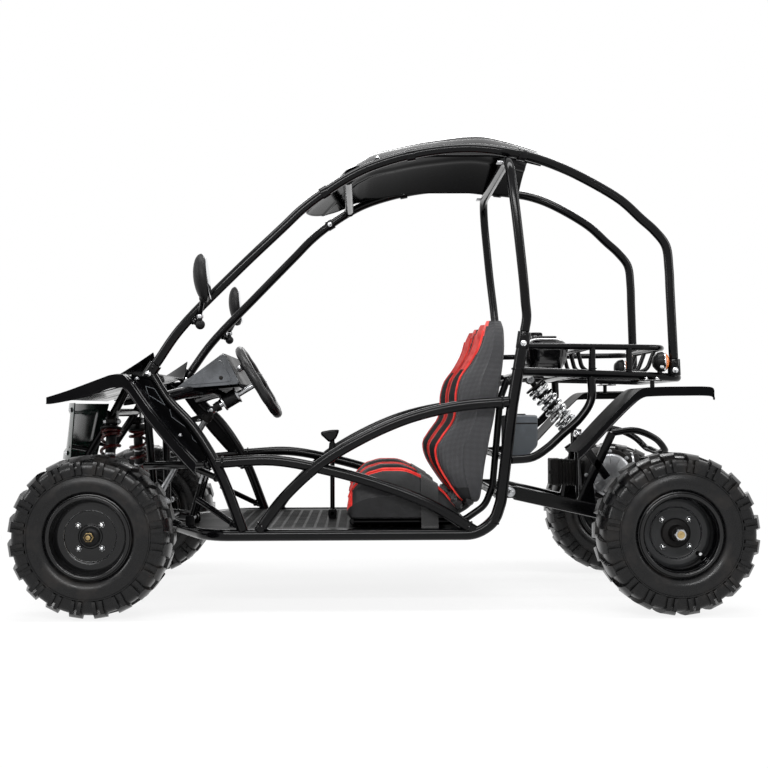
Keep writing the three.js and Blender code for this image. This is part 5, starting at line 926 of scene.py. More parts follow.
def floor_frame():
    """Rails, posts, cross tubes, seat rails, tread pan and the pivots that stand on them."""
    shape = Shape()
    fine = bpy.context.scene.kart_cage.sides
    for _, side in SIDES:
        shape.tube(bent(route(FLOOR_RAIL, side), 0.09), TUBE["floor"], sides=fine)
        shape.tube(bent(route(SEAT_RAIL, side), 0.06), TUBE["seat"])
        ends = [x * WHEELBASE + turn * (0.017 + GAP + PLATE / 2) for x, turn in zip(ARM_FEET, (-1, 1))]
        hinge = [Vector((x, side * ARM_SPREAD, ARM_PIVOT_HEIGHT)) for x in ends]
        shape.tube(hinge, 0.006, "zinc")
        inner = 0.26 * HALF_TRACK
        for x, turn in zip(ends, (-1, 1)):
            foot, head = FLOOR_RAIL[0][2] * CAGE_HEIGHT, ARM_PIVOT_HEIGHT + 0.012
            outer = ARM_SPREAD + 0.012
            shape.block(Vector((x, side * (inner + outer) / 2, (foot + head) / 2)),
                        (PLATE, outer - inner, head - foot), ease=0.0)
            shape.bolt(Vector((x + turn * PLATE / 2, side * ARM_SPREAD, ARM_PIVOT_HEIGHT)), ALONG * turn,
                       0.0085, "zinc")
        ear = Vector((PIVOT.x, side * PIVOT_EARS, PIVOT.z))
        tail = Vector((at_share(POST, 2, PIVOT.z).x, ear.y, PIVOT.z))
        shape.bar(tail, ear + ALONG * 0.016, PLATE, 0.032)
        shape.bolt(ear + ACROSS * side * 0.0028, ACROSS * side, 0.0105, "zinc")
        sleeve_at(shape, spot(HOOP[0], side), spot(HOOP[1], side))
        for share in (0.168, 0.5):
            here = at_share([Vector((p.x, side * p.y, p.z)) for p in POST], 2, share * CAGE_HEIGHT + 0.02)
            shape.weld(here, UP, TUBE["floor"])
    level = FLOOR_RAIL[4][2] * CAGE_HEIGHT
    half = 0.845 * HALF_TRACK
    for share in (-0.28, -0.12, 0.08):
        shape.tube(crosswise(Vector((share * WHEELBASE, 0, level)), half), TUBE["front"])

    def cross(point, spread, radius, name="gloss_tube"):
        shape.tube(crosswise(point, spread), radius, name)
        for end in (-1, 1):
            shape.weld(Vector((point.x, end * (spread - 0.012), point.z)), ACROSS, radius, name, 0.002)
    nose = spot(FLOOR_RAIL[0]) + ALONG * TUBE["floor"]
    cross(nose, nose.y, TUBE["front"])
    cross(spot(FLOOR_RAIL[1]), nose.y, TUBE["front"])
    cross(at_share(POST, 2, PIVOT.z), LOW_CROSS.y, TUBE["front"])
    cross(LOW_CROSS, LOW_CROSS.y, TUBE["seat"])
    seat_top = at_share(route(SEAT_RAIL), 2, 0.49 * CAGE_HEIGHT)
    post_top = at_share(POST, 2, seat_top.z)
    cross(seat_top.lerp(post_top, 0.4), post_top.y, TUBE["seat"])
    for share in (SEAT_RAIL[0], SEAT_RAIL[1]):
        cross(Vector((share[0] * WHEELBASE, 0, share[2] * CAGE_HEIGHT)), share[1] * HALF_TRACK, TUBE["rail"])
    shape.tube(crosswise(PIVOT, PIVOT_EARS + PLATE + 0.008), 0.008, "zinc")
    top = FLOOR_TOP - SHEET
    edge = [(-0.373, 0.37), (-0.325, 0.7), (-0.295, 0.8), (0.16, 0.8)]
    outline = [(x * WHEELBASE, y * HALF_TRACK) for x, y in edge]
    outline += [(x, -y) for x, y in reversed(outline)]
    shape.plate(outline, Matrix.Translation((0, 0, top - SHEET)), SHEET, "matt_sheet", 0.0006)
    tread = Shape().plate([(-0.011, -0.0016), (0.011, -0.0016), (0.011, 0.0016), (-0.011, 0.0016)],
                          Matrix.Translation((-0.4, -0.3, top - 0.0004)), 0.0012, "matt_sheet", 0.0004)
    row = Shape()
    copied(row, tread, 19, (0, 0, 0), (0.029, 0, 0))
    copied(shape, row, 25, (0, 0, 0), (0, 0.025, 0))
    for y in (EAR_REACH, -EAR_REACH):
        ear_at(shape, LEVER_FOOT.x, y, top, LEVER_FOOT.z + 0.012)
    shape.tube([LEVER_FOOT + ACROSS * end * (EAR_REACH + PLATE / 2) for end in (-1, 1)], 0.006, "zinc")
    pedal_z = FLOOR_TOP + 0.014
    ends = [PEDALS["brake_pedal"] - EAR_REACH, PEDALS["throttle_pedal"] + EAR_REACH]
    for y in ends:
        ear_at(shape, PEDAL_X, y, top, pedal_z + 0.012)
    shape.tube([Vector((PEDAL_X, y, pedal_z)) for y in ends], 0.006, "zinc")
    return shape.piece("floor_frame_tubes", "floor_frame", "frame_tube")


def side_frame(name, side):
    """Down tube and leg, sill arc, entry guard, side arm and their braces."""
    shape = Shape()
    for shares, size in ((DOWN_TUBE, "side"), (SILL_ARC, "side"), (GUARD, "side")):
        shape.tube(flowing(route(shares, side)), TUBE[size], sides=bpy.context.scene.kart_cage.sides)
    for shares, size in ((SIDE_ARM, "front"), (UPPER_BRACE, "rail"), (LOWER_BRACE, "rail")):
        line = route(shares, side)
        shape.tube(line, TUBE[size])
        run = (line[1] - line[0]).normalized()
        shape.weld(line[1] - run * 0.014, run, TUBE[size], size=0.0022)
    for shares, at in ((SILL_ARC, 0), (SILL_ARC, -1), (GUARD, 0), (GUARD, -1)):
        line = route(shares, side)
        end, near = (line[0], line[1]) if at == 0 else (line[-1], line[-2])
        run = (near - end).normalized()
        shape.weld(end + run * 0.018, run, TUBE["side"])
    sleeve_at(shape, spot(ROOF_RAIL[0], side), spot(ROOF_RAIL[1], side))
    return shape.piece(f"side_frame_tubes_{name}", f"side_frame_{name}", "frame_tube")


def roof_frame():
    """Two long rails, the cross tube and the mirror stubs."""
    shape = Shape()
    fine = bpy.context.scene.kart_cage.sides
    for _, side in SIDES:
        points = route(ROOF_RAIL, side)
        points[0] = above_sleeve(points[0], points[1])
        points[-1] = above_sleeve(points[-1], points[-2])
        shape.tube(flowing(points), TUBE["cage"], sides=fine)
        foot = mirror_foot(side)
        root = at_share(route(ROOF_RAIL, side), 0, foot.x - 0.026)
        shape.tube([root, foot + (root - foot).normalized() * (0.013 + GAP)], 0.009, sides=20)
        shape.weld(root.lerp(foot, 0.35), foot - root, 0.009, size=0.0022)
        for x in (-0.105, 0.05, 0.25):
            at = at_share(route(ROOF_RAIL, side), 0, x * WHEELBASE)
            ahead = at_share(route(ROOF_RAIL, side), 0, (x + 0.01) * WHEELBASE)
            run = (ahead - at).normalized()
            shape.ring(at - run * 0.011, run, TUBE["cage"] + 0.003, TUBE["cage"] - 0.001, 0.022,
                       "gloss_tube", 28)
            inward = (-side * ACROSS + run * side * run.dot(ACROSS)).normalized()
            shape.bolt(at + inward * 0.0155, inward, 0.0055, "zinc")
    x, y, z = ROOF_CROSS
    ends = [Vector((x * WHEELBASE, side * y * HALF_TRACK, z * CAGE_HEIGHT)) for side in (-1, 1)]
    shape.tube(ends, TUBE["cage"], sides=fine)
    for end, other in (ends, ends[::-1]):
        shape.weld(end.lerp(other, 0.03), ACROSS, TUBE["cage"])
    return shape.piece("roof_frame_tubes", "roof_frame", "frame_tube")


def main_hoop():
    """The hoop behind the seats, one bent tube."""
    shape = Shape()
    top_z = at_share(route(ROOF_RAIL), 0, HOOP[-1][0] * WHEELBASE).z - 2 * TUBE["cage"] - GAP
    half = route(HOOP)
    half[0] = above_sleeve(half[0], half[1])
    half[-1].z = top_z - TUBE["cage"] / 2
    top = Vector((HOOP[-1][0] * WHEELBASE, 0.66 * HALF_TRACK, top_z))
    shape.tube(flowing([*half, top, *mirrored([top, *half[::-1]])]), TUBE["cage"],
               sides=bpy.context.scene.kart_cage.sides)
    for side in (-1, 1):
        tab = Vector((top.x, side * 0.69 * HALF_TRACK, top_z))
        shape.block(tab - ALONG * 0.016 - UP * 0.002, (0.02, 0.034, 0.004), "zinc")
    return shape.piece("main_hoop_tube", "main_hoop", "frame_tube")


def front_frame():
    """Hoops under the cowl, dash hoop, column bearing and the steering rack's housing."""
    shape = Shape()
    under = SHEET + TUBE["front"] * 1.05 + GAP
    tops = []
    for _, side in SIDES:
        front, rear = route(FRONT_HOOP, side), route(REAR_HOOP, side)
        for line in (front, rear):
            line[-1].z = cowl_height(line[-1].x) - under
            shape.tube(flowing(line), TUBE["front"])
            tops.append(line[-1])
        shape.tube([front[-1], rear[-1]], TUBE["front"])
        shape.tube(route(COWL_STAY, side), TUBE["rail"])
        shape.tube(route(NOSE_STAY, side), TUBE["slat"])
        eye = front_eyes(side)[0]
        for end in (-1, 1):
            x = eye.x + end * FRONT_EAR
            low, high = eye.z - 0.012, eye.z + 0.03
            near = [(eye.y + side * 0.011, low), (eye.y + side * 0.011, high), (eye.y - side * 0.022, high),
                    (eye.y - side * 0.022, low)]
            place = Matrix.Translation((x - PLATE / 2, 0, 0)) @ facing(ACROSS, UP, ALONG)
            shape.plate(near, place, PLATE, "gloss_tube", 0.0006, 0.006)
            shape.bolt(Vector((x + end * PLATE / 2, eye.y, eye.z)), ALONG * end, 0.0075, "zinc")
        shape.tube([eye - ALONG * 0.0143, eye + ALONG * 0.0143], 0.005, "zinc")
    shock = at_share(route(FRONT_HOOP), 2, 0.425 * CAGE_HEIGHT)
    for point in (shock, Vector((tops[0].x, -tops[0].y, tops[0].z)),
                  Vector((tops[1].x, -tops[1].y, tops[1].z))):
        shape.tube(crosswise(point, point.y), TUBE["front"])
    foot = spot(REAR_HOOP[0])
    shape.tube(crosswise(foot, foot.y), TUBE["rail"])
    dash = route(DASH_HOOP)
    whole = [*dash, *mirrored(dash[:-1][::-1])]
    shape.tube(flowing(whole), TUBE["dash"], sides=20)
    hold = spot(DASH_HOOP[2], -1).lerp(spot(DASH_HOOP[1], -1), 0.05)
    bearing = WHEEL_HUB.lerp(COLUMN_JOINT, 0.6)
    shape.tube([hold, bearing + (hold - bearing).normalized() * 0.015], TUBE["seat"])
    shape.ring(bearing - COLUMN_LINE * 0.023, COLUMN_LINE, 0.02, BORE["shaft"], 0.046, "soft_plastic", 32,
               0.002)
    for step in (-0.024, 0.019):
        shape.ring(bearing + COLUMN_LINE * step, COLUMN_LINE, 0.0225, BORE["shaft"], 0.005, "zinc", 32)
    shape.ring(Vector((RACK_X, -RACK_HOUSING, ARM_PIVOT_HEIGHT)), ACROSS, 0.017, BORE["shaft"],
               2 * RACK_HOUSING, "alloy", 28, 0.002)
    for y in (-0.1, 0.1):
        shape.ring(Vector((RACK_X, y - 0.006, ARM_PIVOT_HEIGHT)), ACROSS, 0.0195, BORE["shaft"], 0.012,
                   "zinc", 28)
    shape.ring(PINION + PINION_LINE * 0.001, PINION_LINE, 0.014, BORE["shaft"], 0.021, "alloy", 28)
    return shape.piece("front_frame_tubes", "front_frame", "frame_tube")


def rear_frame():
    """Lower rack rails, luggage rack, curved braces, cross tubes and the turn signals."""
    shape = Shape()
    lower, upper = route(LOWER_RACK), route(UPPER_RACK)
    shape.tube(bent([*lower, *mirrored(lower[::-1])], 0.05), TUBE["rack"], sides=18)
    shape.tube(bent([*upper, *mirrored(upper[::-1])], 0.05), TUBE["rail"])
    for _, side in SIDES:
        shape.tube(flowing(route(CURVED_BRACE, side)), TUBE["rack"], sides=18)
        for share in (0.375, 0.445):
            foot, head = at_share(lower, 0, share * WHEELBASE), at_share(upper, 0, share * WHEELBASE)
            ends = [Vector((p.x, side * p.y, p.z)) for p in (foot, head)]
            shape.tube(ends, TUBE["rail"])
            shape.weld(ends[0].lerp(ends[1], 0.2), UP, TUBE["rail"], size=0.002)
        sleeve_at(shape, spot(ROOF_RAIL[-1], side), spot(ROOF_RAIL[-2], side))
        signal_lamp(shape, side, lower)
    for share in (-0.28, 0, 0.28):
        line = [Vector((x * WHEELBASE, share * HALF_TRACK, z * CAGE_HEIGHT)) for x, z in RACK_SLAT]
        shape.tube(bent(line, 0.03), TUBE["slat"], sides=14)
    slat_end = at_share(upper, 0, RACK_SLAT[-1][0] * WHEELBASE)
    shape.tube(crosswise(slat_end, slat_end.y), TUBE["rail"])
    crosses = [at_share(lower, 0, share * WHEELBASE) for share in (0.268, 0.352)]
    for end in crosses:
        shape.tube(crosswise(end, end.y), TUBE["rack"], sides=18)
    top = REAR_EYES[0]
    for end in (-1, 1):
        root = Vector((crosses[0].x, end * REAR_EAR, crosses[0].z))
        shape.bar(root, Vector((top.x + 0.0065, root.y, top.z)), PLATE, 0.021)
        shape.bolt(Vector((top.x, end * (REAR_EAR + PLATE / 2), top.z)), ACROSS * end, 0.0085, "zinc")
    shape.tube(crosswise(top, REAR_EAR), 0.006, "zinc")
    return shape.piece("rear_frame_tubes", "rear_frame", "frame_tube")


def signal_lamp(shape, side, rail):
    """A turn signal on its stalk: black housing, amber lens in a bright ring, two small side lenses."""
    lamp = spot((0.504, 0.6, 0.534), side)
    root = at_share(rail, 0, lamp.x)
    root = Vector((root.x, side * root.y, root.z))
    shape.tube([root, lamp - UP * 0.015], [0.0075, 0.006], "soft_plastic")
    shape.ring(root.lerp(lamp, 0.45), lamp - root, 0.0085, 0.004, 0.006, "soft_plastic", 20)
    shape.lathe([(0, -0.02), (0.014, -0.018), (0.024, -0.008), (0.0268, 0.003), (0.0268, 0.009), (0, 0.009)],
                lamp, ALONG, "soft_plastic", 32, 0.002)
    shape.lathe([(0, 0.0094), (0.0235, 0.0094), (0.0235, 0.015), (0.018, 0.021), (0.009, 0.0245),
                 (0, 0.0255)],
                lamp, ALONG, "lens_amber", 32, 0.002)
    shape.ring(lamp + ALONG * 0.0085, ALONG, 0.0262, 0.0232, 0.004, "chrome", 32)
    for part, name in ((-1, "lens_clear"), (1, "lens_red")):
        place = lamp - UP * 0.005 + ALONG * 0.002
        shape.ball(place + ACROSS * side * 0.0195 + UP * part * 0.007, 0.0068, name, 14, 0.8, ACROSS * side)


# Moulded panels

VISOR_CROWN = [(-0.1455, 0.9025), (-0.043, 1.015), (0.0369, 1.049), (0.116, 1.068), (0.183, 1.0775),
               (0.2964, 1.044)]
VISOR_EDGE = [(-0.066, 0.9555), (-0.045, 0.967), (0.03, 0.983), (0.105, 0.991), (0.19, 0.991), (0.29, 0.977)]
VISOR_HALF = (0.66, 0.66, 0.66, 0.66, 0.66, 0.56)


def along_table(table, u):
    """A row of a table of numbers at a place between its rows, on a smooth line."""
    spot_on = u * (len(table) - 1)
    i = min(int(spot_on), len(table) - 2)
    t = spot_on - i
    rows = [table[max(i - 1, 0)], table[i], table[i + 1], table[min(i + 2, len(table) - 1)]]
    return [smooth_between(t, *(row[k] for row in rows)) for k in range(len(table[0]))]


def smooth_between(t, a, b, c, d):
    """A smooth step from b to c that keeps flat where the numbers turn."""
    m1, m2 = (c - a) / 2, (d - b) / 2
    if (b - a) * (c - b) <= 0:
        m1 = 0
    if (c - b) * (d - c) <= 0:
        m2 = 0
    near, far = 2 * t ** 3 - 3 * t ** 2 + 1, 3 * t ** 2 - 2 * t ** 3
    return near * b + (t ** 3 - 2 * t ** 2 + t) * m1 + far * c + (t ** 3 - t ** 2) * m2


def roof_visor():
    """The moulded sun visor: peaked at its front, bowed over the rails, with pressed creases."""
    def point(u, v):
        cx, cz = along_table(VISOR_CROWN, u)
        ex, ez = along_table(VISOR_EDGE, u)
        wide = along_table([(half,) for half in VISOR_HALF], u)[0]
        spread = abs(2 * v - 1)
        crease = 0.0035 * max(0, 1 - abs(spread - 0.52) / 0.05) + 0.0025 * max(0, 1 - abs(u - 0.22) / 0.03)
        x = cx + (ex - cx) * spread ** 1.5
        z = cz + (ez - cz) * spread ** 2
        return Vector((x * WHEELBASE, (2 * v - 1) * wide * HALF_TRACK, z * CAGE_HEIGHT - crease))
    shape = Shape().sheet(point, 60, 72, SHEET, "gloss_panel")
    lip = [point(u / 40, v) + UP * -0.0015 for v in (0, 1) for u in range(41)]
    for side in (lip[:41], lip[41:]):
        shape.tube(side, 0.0032, "gloss_panel", 8)
    shape.tube([point(0, v / 40) - UP * 0.0015 for v in range(41)], 0.0034, "gloss_panel", 8)
    for u in (0.3, 0.62, 0.93):
        for v in (0.06, 0.94):
            at = point(u, v)
            shape.bolt(at + UP * 0.0004, UP, 0.0055, "chrome")
    return shape.piece("roof_visor_panel", "roof_visor", "panel")


def front_cowl():
    """The flat cowl over the front frame, folded, with raised ears at its rear corners."""
    def point(u, v):
        x = COWL["front"] + u * (COWL["rear"] - COWL["front"])
        spread = abs(2 * v - 1)
        ear = 0.045 * CAGE_HEIGHT * max(0, (u - 0.3) / 0.7) ** 1.4 * max(0, (spread - 0.72) / 0.28) ** 1.2
        rib = 0.004 * max(0, 1 - abs(spread - 0.5) / 0.06) * min(u * 4, 1, (1 - u) * 8)
        return Vector((x, (2 * v - 1) * COWL["half"], cowl_height(x) + ear + rib))
    shape = Shape().sheet(point, 40, 80, SHEET, "gloss_panel")
    for v in (0.06, 0.3, 0.7, 0.94):
        shape.bolt(point(0.12, v), UP, 0.0055, "zinc")
    return shape.piece("front_cowl_panel", "front_cowl", "panel")


def nose_cover():
    """The dark green nose: a swept face with a framed recess."""
    def point(u, v):
        spread = 2 * v - 1
        width = 0.53 * HALF_TRACK * (1 - 0.25 * u)
        x = (-0.6 - 0.016 * u + 0.036 * spread ** 2) * WHEELBASE
        dish = 0.006 * min(max((0.8 - abs(spread)) / 0.08, 0),
                           1) * min(max((0.5 - abs(u - 0.5) - 0.14) / 0.06, 0), 1)
        return Vector((x + dish, spread * width, (0.447 - 0.129 * u) * CAGE_HEIGHT))
    shape = Shape().sheet(point, 30, 60, -SHEET, "nose_panel")
    for u, v in ((0.12, 0.06), (0.12, 0.94), (0.88, 0.08), (0.88, 0.92)):
        shape.bolt(point(u, v) - ALONG * 0.0006, -ALONG, 0.0055, "zinc")
    return shape.piece("nose_cover_panel", "nose_cover", "nose")


FENDER_LINE = [(-0.568, 0.4572), (-0.53, 0.472), (-0.478, 0.4955), (-0.46, 0.503), (-0.446, 0.5035),
               (-0.433, 0.495),
               (-0.4, 0.438), (-0.36, 0.377), (-0.319, 0.322)]
FENDER_PANEL = [(-0.45, 0.497), (-0.433, 0.49), (-0.4, 0.433), (-0.36, 0.372), (-0.319, 0.317),
                (-0.31, 0.312),
                (-0.3, 0.323), (-0.336, 0.391), (-0.385, 0.456), (-0.405, 0.495), (-0.425, 0.503)]
REAR_FENDER = [(0.325, 0.342), (0.337, 0.354), (0.38, 0.41), (0.415, 0.4525), (0.435, 0.471), (0.455, 0.4745),
               (0.5, 0.4755), (0.55, 0.4745), (0.556, 0.465)]


def fender_sheet(shape, shares, inner, outer, side, crown, name="gloss_panel"):
    """A fender's top: a folded line carried outwards, crowned between its ribs."""
    def point(u, v):
        x, z = along_table(shares, u)
        across = inner + (outer - inner) * v
        rib = crown * (max(0, 1 - abs(v - 0.3) / 0.06) + max(0, 1 - abs(v - 0.7) / 0.06))
        round_off = -0.006 * max(0, (v - 0.9) / 0.1) ** 2
        return Vector((x * WHEELBASE, side * across * HALF_TRACK, z * CAGE_HEIGHT + rib + round_off))
    turn = 1 if side > 0 else -1
    shape.sheet(point, 64, 40, SHEET * turn, name)
    return point


def fender_lip(shape, shares, side, outer, drop):
    """The lip turned down along a fender's outer edge."""
    def point(u, v):
        x, z = along_table(shares, u)
        return Vector((x * WHEELBASE, side * outer * HALF_TRACK, (z - drop(u) * v) * CAGE_HEIGHT))
    shape.sheet(point, 64, 3, SHEET * side, "gloss_panel")
    foot = [point(i / 64, 1) - Vector((0, side * 0.0016, 0)) for i in range(65)]
    shape.tube(foot, 0.0026, "gloss_panel", 8)


def front_fender(name, side):
    """Fender with its lip and the vented side panel."""
    shape = Shape()
    inner, outer = 0.805, 1.18
    point = fender_sheet(shape, FENDER_LINE, inner, outer, side, 0.003)
    fender_lip(shape, FENDER_LINE, side, outer, lambda u: 0.011 + 0.014 * min(u * 5, 1))
    panel = rounded(flat_route(FENDER_PANEL), 0.012, True)
    face = side * inner * HALF_TRACK
    shape.slab(panel, face, face + side * SHEET, "gloss_panel", 0.0008)
    for a, b in zip(panel, panel[1:] + panel[:1]):
        if (b - a).length > 0.004:
            ends = [Vector((p.x, face + side * 0.004, p.y)) for p in (a, b)]
            shape.tube(ends, 0.003, "gloss_panel", 8)
    for start, end, wide in (((-0.432, 0.478), (-0.398, 0.437), 0.011),
                             ((-0.39, 0.428), (-0.362, 0.39), 0.009),
                             ((-0.352, 0.377), (-0.33, 0.345), 0.007)):
        a, b = spot((start[0] + 0.012, 0, start[1] + 0.004)), spot((end[0] + 0.012, 0, end[1] + 0.004))
        run = (b - a).normalized()
        over = Vector((-run.z, 0, run.x)) * wide
        vent = [(p.x, p.z) for p in (a, a.lerp(b, 0.3) + over, b, a.lerp(b, 0.3) - over)]
        near, far = face + side * 0.001, face + side * 0.0055
        shape.slab(vent, near, far, "gloss_panel", 0.0012, 0.004)
        # Thin pale grey tubes round each vent: painted highlights for the reflections on the vent edges.
        for c, d in zip(vent, vent[1:] + vent[:1]):
            shape.tube([Vector((q[0], far, q[1])) for q in (c, d)], 0.0011, "vent_edge_painted_highlight", 6)
    for u, v in ((0.35, 0.08), (0.62, 0.08), (0.88, 0.08)):
        shape.bolt(point(u, v), UP, 0.005, "zinc")
    return shape.piece(f"front_fender_panel_{name}", f"front_fender_{name}", "panel")


def rear_fender(name, side):
    """Rear fender with its lip and stay."""
    shape = Shape()
    inner, outer = 0.72, 1.17
    fender_sheet(shape, REAR_FENDER, inner, outer, side, 0.0, "matt_sheet")
    fender_lip(shape, REAR_FENDER, side, outer, lambda u: 0.017)
    rail = at_share(route(LOWER_RACK), 0, 0.48 * WHEELBASE)
    reach = 0.72 * HALF_TRACK
    stay = Vector((rail.x, side * ((rail.y + reach) / 2 + 0.011), rail.z - 0.011 - SHEET * 0.9))
    shape.block(stay, (0.044, reach - rail.y + 0.044, SHEET), "gloss_tube")
    leg = [Vector((rail.x, side * 0.75 * HALF_TRACK, z)) for z in (rail.z - 0.011, 0.47 * CAGE_HEIGHT)]
    shape.tube(leg, TUBE["slat"])
    for step in (-0.014, 0.014):
        shape.bolt(Vector((rail.x + step, side * (reach + 0.006), rail.z - 0.011)), UP, 0.005, "chrome")
    return shape.piece(f"rear_fender_panel_{name}", f"rear_fender_{name}", "panel")


DASH = [(-0.379, 0.4765), (-0.289, 0.558), (-0.2595, 0.4875)]


def dash_housing():
    """The wedge-shaped dash in front of the wheel, with its side plates and screws."""
    shape = Shape()
    points = flat_route(DASH)
    wide = 0.6 * HALF_TRACK
    apex, top, foot = points
    outer = rounded(points, 0.014, True, 4)
    for side in (-1, 1):
        face = side * wide
        # The side plates are mid grey: painted sheen on black plastic.
        shape.slab(outer, face, face - side * SHEET, "dash_plastic_painted_sheen", 0.0012)
        middle = sum(points, Vector((0, 0))) / 3
        inner = [middle.lerp(p, 0.72) for p in points]
        near, far = face - side * 0.0005, face + side * 0.0022
        shape.slab(rounded(inner, 0.012, True, 4), near, far, "dash_plastic_painted_sheen", 0.001)
        screw = middle.lerp(foot, 0.3)
        shape.bolt(Vector((screw.x, far, screw.y)), ACROSS * side, 0.0042, "heat_paint", False)
    for a, b in ((apex, top), (top, foot)):
        run = (b - a).normalized()
        inward = Vector((run.y, -run.x)) * SHEET
        bars = [a + run * 0.004, b - run * 0.004, b - run * 0.004 + inward, a + run * 0.004 + inward]
        shape.slab(bars, -wide + SHEET, wide - SHEET, "soft_plastic", 0.0006)
    return shape.piece("dash_housing_shell", "dash_housing", "panel")


def dash_controls():
    """The ignition key and the red kill button on the dash."""
    top, foot = (Vector((x * WHEELBASE, 0, z * CAGE_HEIGHT)) for x, z in DASH[1:])
    face = -ACROSS.cross((foot - top).normalized())
    shape = Shape()
    spot_at = top.lerp(foot, 0.45) + ACROSS * -0.12 * HALF_TRACK
    shape.disc(spot_at - face * 0.006, face, 0.0095, 0.013, "zinc", 28)
    bow = basis(spot_at + face * 0.007, face)
    outline = [(-0.009, 0), (0.009, 0), (0.011, 0.012), (0.007, 0.02), (-0.007, 0.02), (-0.011, 0.012)]
    turn = bow @ Matrix(((1, 0, 0, 0), (0, 0, -1, 0.002), (0, 1, 0, 0), (0, 0, 0, 1)))
    shape.plate(outline, turn, 0.004, "soft_plastic", 0.0008, 0.004)
    shape.piece("ignition_key_detail", "ignition_key", "steel")
    button = Shape()
    spot_at = top.lerp(foot, 0.4) + ACROSS * 0.12 * HALF_TRACK
    button.disc(spot_at - face * 0.004, face, 0.0045, 0.012, "zinc", 20)
    button.disc(spot_at + face * 0.0045, face, 0.0108, 0.007, "button_red", 32, 0.002)
    button.piece("kill_button_detail", "kill_button", "button")


# Seats

SEAT_CENTRE, SEAT_HALF, SEAT_FLOOR = 0.197, 0.176, 0.233
BEHIND = 2  # stands for the share of a place on the hidden side of a seat's form
CUSHION = [
    (-0.066, 0.203, 0.222, 0.218, 0.86), (-0.058, 0.1955, 0.256, 0.246, 0.96),
    (-0.034, 0.1945, 0.289, 0.272, 1),
    (-0.016, 0.1945, 0.298, 0.267, 1), (0.002, 0.1945, 0.303, 0.275, 1), (0.02, 0.1945, 0.303, 0.265, 1),
    (0.038, 0.1945, 0.301, 0.268, 1), (0.056, 0.1945, 0.292, 0.255, 1), (0.08, 0.1945, 0.276, 0.252, 1),
    (0.104, 0.1955, 0.252, 0.235, 0.985), (0.12, 0.197, 0.228, 0.22, 0.96), (0.132, 0.2, 0.212, 0.21, 0.88)]
BACK = [
    (0.228, 0.15, 0.164, 0.15, 0.82), (0.24, 0.133, 0.17, 0.14, 0.94), (0.29, 0.104, 0.1755, 0.126, 1),
    (0.318, 0.093, 0.179, 0.136, 1), (0.343, 0.09, 0.183, 0.139, 1), (0.374, 0.104, 0.188, 0.155, 0.99),
    (0.405, 0.122, 0.194, 0.155, 0.97), (0.436, 0.127, 0.199, 0.169, 0.94),
    (0.466, 0.128, 0.204, 0.169, 0.92),
    (0.5, 0.136, 0.209, 0.182, 0.88), (0.532, 0.155, 0.213, 0.184, 0.84), (0.57, 0.172, 0.216, 0.193, 0.8),
    (0.605, 0.18, 0.2155, 0.195, 0.73), (0.625, 0.187, 0.212, 0.199, 0.6)]
ROUND = [(0, 0), (0.34, 0.04), (0.62, 0.3), (0.82, 1), (0.95, 0.88), (1, 0.45)]


def raised(spread, low, edge, middle):
    """Height of a seat's section at a share of its half width: dished middle, raised sides."""
    table = [(s, (low + (edge - low) * lift) if s > 0.85 else middle + (edge - middle) * lift) for s,
             lift in ROUND]
    for i in range(len(table) - 1):
        if table[i][0] <= spread <= table[i + 1][0] + 1e-9:
            rows = [table[max(i - 1, 0)], table[i], table[i + 1], table[min(i + 2, len(table) - 1)]]
            t = (spread - table[i][0]) / (table[i + 1][0] - table[i][0])
            return smooth_between(t, *(row[1] for row in rows))
    return table[-1][1]


def seat_form(side, table, upright, steps=72, fine=44):
    """A seat's padded form, with each face's share along and across; the front of a back faces forwards."""
    rings, spreads = [], []
    seam = bpy.context.scene.kart_seats.puff * 0.35
    for i in range(steps + 1):
        u = i / steps
        at, low, edge, middle, wide = along_table(table, u)
        if upright:
            low, edge = edge, low
        ring, spread = [], []
        for k in range(fine + 1):
            s = -math.cos(math.pi * k / fine)
            y = side * SEAT_CENTRE + s * wide * SEAT_HALF
            groove = seam * max(0, 1 - abs(abs(s) - 0.5) / 0.04)
            if upright:
                depth = raised(abs(s), low, edge, middle)
                ring.append(Vector((depth * WHEELBASE + groove, y, at * CAGE_HEIGHT)))
            else:
                bottom = max(low * CAGE_HEIGHT, SEAT_FLOOR)
                height = raised(abs(s), bottom, edge * CAGE_HEIGHT, middle * CAGE_HEIGHT)
                ring.append(Vector((at * WHEELBASE, y, max(height - groove, bottom + 0.001))))
            spread.append(s)
        for s in (0.985, 0.93, 0.5, 0, -0.5, -0.93, -0.985):
            y = side * SEAT_CENTRE + s * wide * SEAT_HALF
            corner = 0.004 if abs(s) > 0.95 else 0
            if upright:
                ring.append(Vector((low * WHEELBASE - corner + 0.006 * (1 - s * s), y, at * CAGE_HEIGHT)))
            else:
                ring.append(Vector((at * WHEELBASE, y, max(low * CAGE_HEIGHT, SEAT_FLOOR) + corner)))
            spread.append(BEHIND)
        rings.append(ring)
        spreads.append(spread)

    def region(i, k):
        s, u = abs(spreads[i][k]), i / steps
        if not upright:
            return "leather_red" if s < BEHIND and (u < 0.09 or 0.87 < s <= 0.92) else "leather_black"
        if s == BEHIND:
            return "seat_mesh"
        if u > 0.74:
            wing = 0.88 + 0.1 * (u - 0.72) / 0.28
            return "leather_black" if s <= 0.5 else "leather_wing" if s < wing else "seat_mesh"
        if s <= 0.8 or u < 0.1:
            return "leather_black"
        return "leather_red" if s <= 0.88 else "seat_mesh"
    return Shape().rings(rings, "seat_mesh", mark=region), rings


def seat_line(rings, share, fine=44, lift=None):
    """The line that a seam or piping follows, at a share of the half width."""
    k = round(math.acos(-share) / math.pi * fine)
    return [ring[k] + (lift or Vector()) for ring in rings]


